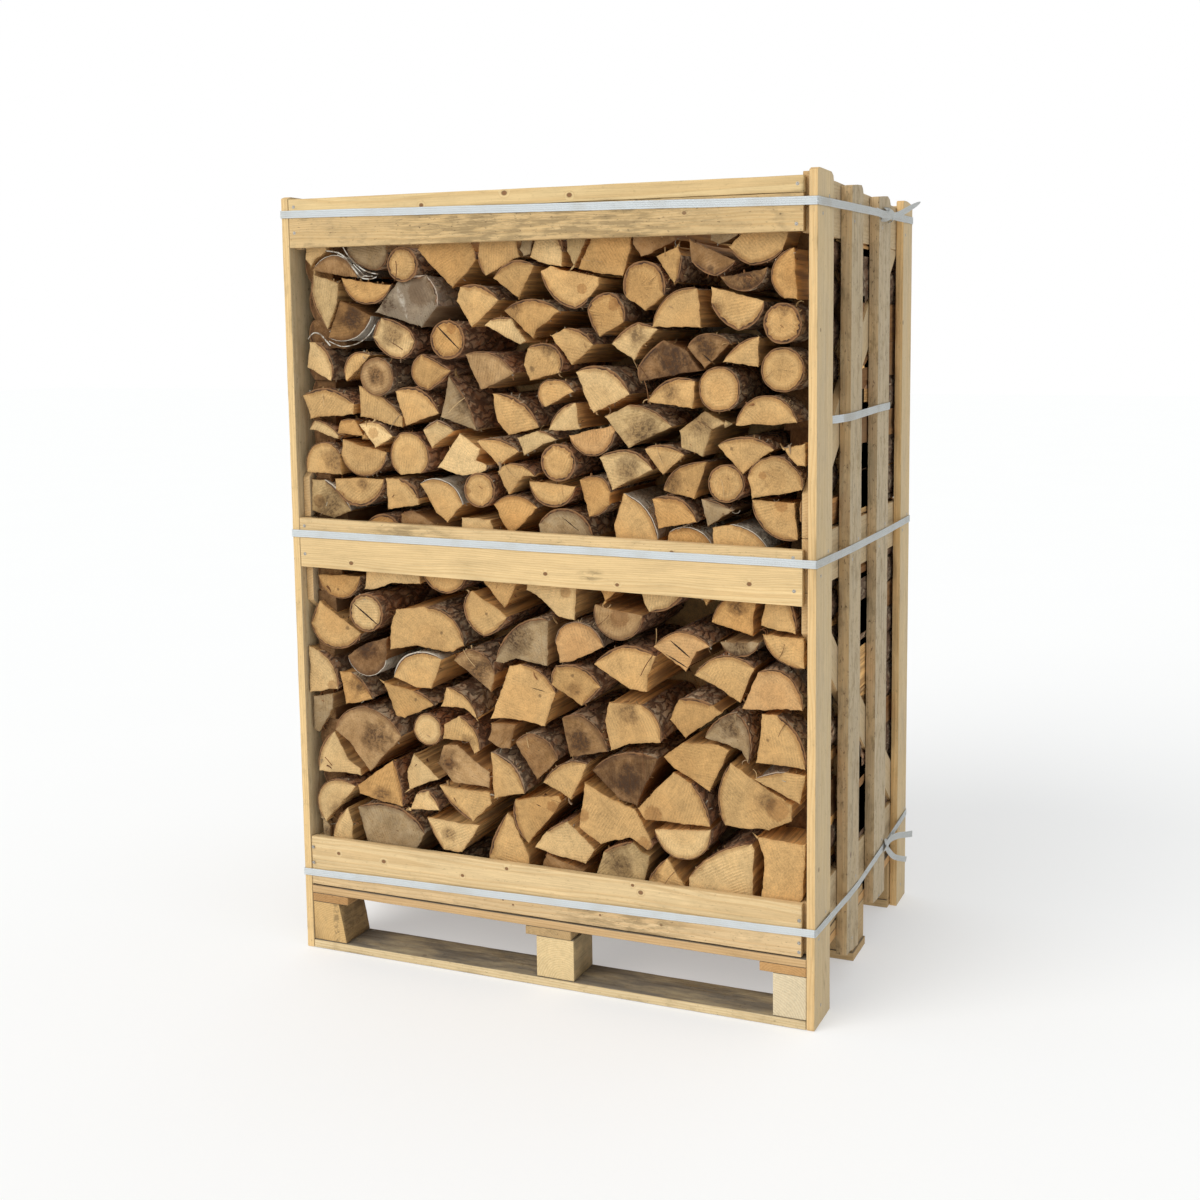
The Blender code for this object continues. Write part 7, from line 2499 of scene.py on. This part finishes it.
class Nails:
    """Nail heads in the boards."""

    def __init__(self, finishes: Finishes) -> None:
        """Keep the finishes."""
        self.finishes = finishes

    def places(self) -> list[tuple[Point, Point]]:
        """List every nail: its place on the board's face and the direction that it faces.

        Returns:
            The places and directions.
        """
        nails: list[tuple[Point, Point]] = []
        for x, z in NAILS_SEEN_IN_FRONT:
            nails.append(((x, -0.4, z), (0.0, -1.0, 0.0)))
        for sign in (-1.0, 1.0):
            for number, (y, outer) in enumerate(SLAT_NAIL_LINES, start=1):
                for height in SLAT_NAIL_HEIGHTS:
                    for step in (-1.0, 1.0):
                        shift = 0.006 * (draw(number + height * 31.0, 90.0 + step) - 0.5)
                        nails.append(((sign * outer, y + step * 0.024 + shift, height + step * 0.019 + shift),
                                      (sign, 0.0, 0.0)))
            for y, height in SLAT_FOOT_NAILS:
                outer = next(reach for line, reach in SLAT_NAIL_LINES if abs(line - y) < 0.06)
                nails.append(((sign * outer, y, height), (sign, 0.0, 0.0)))
        for x in BACK_NAIL_LINES:
            for height in (0.177, 0.232, 0.893, 0.955, 1.600, 1.656):
                nails.append(((x, 0.4, height), (0.0, 1.0, 0.0)))
        return nails

    def build(self) -> None:
        """Make all nail heads by a Geometry Nodes tree."""
        draft = Draft()
        for place, facing in self.places():
            inward = Vector(place) - Vector(facing) * 0.0006
            draft.add_points([tuple(inward)], facing=facing)
        tree = GeometryTree("nail_heads", {"Radius": 0.0036, "Height": 0.0011})
        head = tree.node("GeometryNodeMeshCylinder", {"fill_type": "NGON"},
                         {"Vertices": 12, "Radius": tree.entry.outputs["Radius"],
                          "Depth": tree.entry.outputs["Height"]})
        turned = tree.node("FunctionNodeAlignRotationToVector", {"axis": "Z"},
                           {"Vector": tree.read("facing")})
        placed = tree.node("GeometryNodeInstanceOnPoints", None,
                           {"Points": tree.entry.outputs[0], "Instance": head.outputs[0],
                            "Rotation": turned.outputs[0]})
        tree.close(placed.outputs[0], self.finishes.steel)
        piece = tree.run("nail_heads", draft)
        report(piece)
        hand_over(piece, "side_boards")


class Shred(Enum):
    """Forms of loose bark and splinters: radius and sweep of the curl, width and thickness of the strip."""

    FLAKE = (0.018, 80.0, 0.0050, 0.0009)
    CURL = (0.008, 190.0, 0.0042, 0.0007)
    SPLINTER = (0.110, 22.0, 0.0013, 0.0009)


class LooseBark(RibbonMaker):
    """Bark flakes, curls and splinters between the logs, and the white strips that hang from birch logs."""

    thickness = 0.0008

    def build(self) -> None:
        """Make the shreds of both faces and the strips."""
        for row in (FirewoodStack.FRONT, FirewoodStack.BACK):
            draft = Draft()
            maker = LogMaker(row)
            for number, end in enumerate(LOG_ENDS):
                self._beside(draft, maker, end, number)
            if row is FirewoodStack.FRONT:
                self._under_band(draft)
            piece = self._tree(row.name).run(f"{row.name}_loose_bark", draft)
            report(piece)
            hand_over(piece, "split_logs")
        draft = Draft()
        for number, (path, width) in enumerate(BIRCH_STRIPS):
            route = [(x / 100.0, y, z / 100.0, 0.2, -1.0, lean) for x, y, z, lean in path]
            self._loose_piece(draft, route, width, number)
        piece = draft.make("birch_strips", [self.finishes.strip])
        report(piece)
        hand_over(piece, "split_logs")

    def _beside(self, draft: Draft, maker: LogMaker, end: LogEnd, number: int) -> None:
        """Place the shreds of one log end along its outline.

        Args:
            draft: The draft that holds a point for each shred.
            maker: The row's log maker.
            end: The log end.
            number: Its number.
        """
        row = maker.row
        outline = OutlineCutter(maker.turned(end), number, maker.shift(end), 0.004).cut()
        face = row.tip(number, outline)
        for index in range(SHREDS_PER_LOG):
            seed = number * 7.0 + index * 0.31 + row.outward
            spot = int(draw(seed, 101.0) * len(outline.points))
            if draw(seed, 102.0) > 0.35 + 0.5 * outline.bark[spot]:
                continue
            x, z = outline.points[spot]
            normal = outline.normals[spot]
            off = 0.0030 * draw(seed, 103.0) - 0.0010
            depth = 0.001 + 0.020 * draw(seed, 104.0) ** 1.6
            along = math.atan2(normal[0], -normal[1])
            kind = int(draw(seed, 105.0) * 4.4) % 3
            depth += 0.007 if kind < 2 else 0.0
            tone = SHRED_TONES[int(draw(seed, 106.0) * len(SHRED_TONES))]
            if end.birch > 0.3 and outline.bark[spot] > 0.4:
                tone = SHRED_TONES[-1]
            place = (x + normal[0] * off, face - row.outward * depth, z + normal[1] * off)
            if abs(place[0]) > maker.side_limit(place[1], place[2]) - 0.012:
                continue
            turn = (math.radians(90.0 + 70.0 * (draw(seed, 107.0) - 0.5)), -along,
                    math.radians(50.0 * (draw(seed, 108.0) - 0.5)))
            size = 0.55 + 0.75 * draw(seed, 109.0)
            draft.add_points([place], turn=turn, form=(float(kind), size, 0.0), shade=tone)

    def _under_band(self, draft: Draft) -> None:
        """Hang torn fibres along the lower edge of the top band.

        Args:
            draft: The draft that holds a point for each fibre.
        """
        for index, x in enumerate(TORN_FIBRES):
            turn = (math.radians(90.0), math.radians(16.0 + 60.0 * (draw(index, 111.0) - 0.5)),
                    math.radians(20.0 * (draw(index, 112.0) - 0.5)))
            draft.add_points([(x / 100.0, -0.388, 1.5655)], turn=turn,
                             form=(2.0, 0.5 + 0.5 * draw(index, 113.0), 0.0), shade=SHRED_TONES[0])

    def _tree(self, name: str) -> GeometryTree:
        """Build the tree that puts a curled strip on every point, of the form that the point names.

        Args:
            name: The row's name.

        Returns:
            The tree.
        """
        sizes = {}
        for shred in Shred:
            radius, sweep, width, thickness = shred.value
            label = shred.name.title()
            sizes.update({f"{label} radius": radius, f"{label} sweep": math.radians(sweep),
                          f"{label} width": width, f"{label} thickness": thickness})
        tree = GeometryTree(f"{name}_shreds", sizes)
        entry = tree.entry.outputs
        forms = tree.node("GeometryNodeGeometryToInstance")
        for shred in reversed(Shred):
            label = shred.name.title()
            arc = tree.node("GeometryNodeCurveArc", None,
                            {"Resolution": 6, "Radius": entry[f"{label} radius"],
                             "Sweep Angle": entry[f"{label} sweep"]})
            section = tree.node("GeometryNodeCurvePrimitiveQuadrilateral", None,
                                {"Width": entry[f"{label} thickness"], "Height": entry[f"{label} width"]})
            strip = tree.node("GeometryNodeCurveToMesh", None,
                              {"Curve": arc.outputs[0], "Profile Curve": section.outputs[0],
                               "Fill Caps": True})
            middle = tree.node("ShaderNodeVectorMath", {"operation": "SCALE"},
                               {0: (-1.0, 0.0, 0.0), "Scale": entry[f"{label} radius"]})
            moved = tree.node("GeometryNodeTransform", None,
                              {"Geometry": strip.outputs[0], "Translation": middle.outputs[0]})
            tree.tree.links.new(moved.outputs[0], forms.inputs[0])
        form = tree.node("ShaderNodeSeparateXYZ", None, {0: tree.read("form")})
        turned = tree.node("FunctionNodeEulerToRotation", None, {0: tree.read("turn")})
        placed = tree.node("GeometryNodeInstanceOnPoints", None,
                           {"Points": entry["Geometry"], "Instance": forms.outputs[0], "Pick Instance": True,
                            "Instance Index": form.outputs[0], "Rotation": turned.outputs[0],
                            "Scale": form.outputs[1]})
        tree.close(placed.outputs[0], self.finishes.shred)
        return tree


@dataclass
class Studio:
    """Floor, light and camera.

    Attributes:
        floor_reach: Half the size of the floor.
        sun_from: Direction that the large soft light comes from.
        sun_power: Its strength.
        sun_spread: How wide it is, in degrees.
        sky: Brightness of the white surroundings as light.
    """

    floor_reach: float = 30.0
    sun_from: Point = (-0.42, -0.70, 0.62)
    sun_power: float = 1.55
    sun_spread: float = 46.0
    sky: float = 0.77

    def build(self, finishes: Finishes) -> None:
        """Set everything up.

        Args:
            finishes: The finishes.
        """
        self._floor(finishes)
        self._world()
        self._sun()
        self._camera()

    def _floor(self, finishes: Finishes) -> None:
        """Lay the floor.

        Args:
            finishes: The finishes.
        """
        draft = Draft()
        reach = self.floor_reach
        cells = 6
        for row in range(cells + 1):
            for column in range(cells + 1):
                draft.add_points([(reach * (2.0 * column / cells - 1.0), reach * (2.0 * row / cells - 1.0),
                                   -0.0005)])
        for row in range(cells):
            for column in range(cells):
                first = row * (cells + 1) + column
                draft.add_face((first, first + 1, first + cells + 2, first + cells + 1), 0)
        floor = draft.make("floor", [finishes.floor])

    def _world(self) -> None:
        """Light everything softly from a white sky that itself looks plain white."""
        world = bpy.data.worlds.new("white_sky")
        world.use_nodes = True
        nodes, links = world.node_tree.nodes, world.node_tree.links
        light = nodes["Background"]
        light.inputs["Color"].default_value = (0.96, 0.99, 1.0, 1.0)
        light.inputs["Strength"].default_value = self.sky
        seen = nodes.new("ShaderNodeBackground")
        seen.inputs["Color"].default_value = (1.0, 1.0, 1.0, 1.0)
        blend = nodes.new("ShaderNodeMixShader")
        links.new(nodes.new("ShaderNodeLightPath").outputs["Is Camera Ray"], blend.inputs[0])
        links.new(light.outputs[0], blend.inputs[1])
        links.new(seen.outputs[0], blend.inputs[2])
        links.new(blend.outputs[0], nodes["World Output"].inputs["Surface"])
        bpy.context.scene.world = world
        bpy.context.scene.view_settings.view_transform = "Standard"

    def _sun(self) -> None:
        """Add the large soft light."""
        data = bpy.data.lights.new("soft_light", "SUN")
        data.energy = self.sun_power
        data.angle = math.radians(self.sun_spread)
        data.color = (1.0, 0.97, 0.93)
        item = bpy.data.objects.new("soft_light", data)
        item.rotation_euler = Vector(self.sun_from).to_track_quat("Z", "Y").to_euler()
        bpy.context.scene.collection.objects.link(item)

    def _camera(self) -> None:
        """Place the camera as the photograph was taken."""
        yaw, pitch, roll = (math.radians(angle) for angle in (CAMERA_YAW, CAMERA_PITCH, CAMERA_ROLL))
        forward = Vector((-math.sin(yaw) * math.cos(pitch), math.cos(yaw) * math.cos(pitch),
                          -math.sin(pitch)))
        level = Vector((math.cos(yaw), math.sin(yaw), 0.0))
        upward = level.cross(forward)
        right = level * math.cos(roll) + upward * math.sin(roll)
        top = upward * math.cos(roll) - level * math.sin(roll)
        data = bpy.data.cameras.new("camera")
        data.lens = CAMERA_LENS
        data.sensor_width = 36.0
        data.shift_x, data.shift_y = CAMERA_SHIFT
        item = bpy.data.objects.new("camera", data)
        turned = Matrix((right, top, -forward)).transposed().to_4x4()
        turned.translation = Vector(CAMERA_PLACE)
        item.matrix_world = turned
        bpy.context.scene.collection.objects.link(item)
        bpy.context.scene.camera = item


def main() -> None:
    """Build the crate's looks."""
    logging.basicConfig(level=logging.INFO, format="%(name)s %(message)s")
    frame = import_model()
    finishes = Finishes()
    Studio().build(finishes)
    FirewoodStack(finishes).build()
    Carpentry(frame["nodes"], finishes).build()
    WovenStraps(finishes).build()
    Nails(finishes).build()
    LooseBark(finishes).build()


if __name__ == "__main__":
    main()
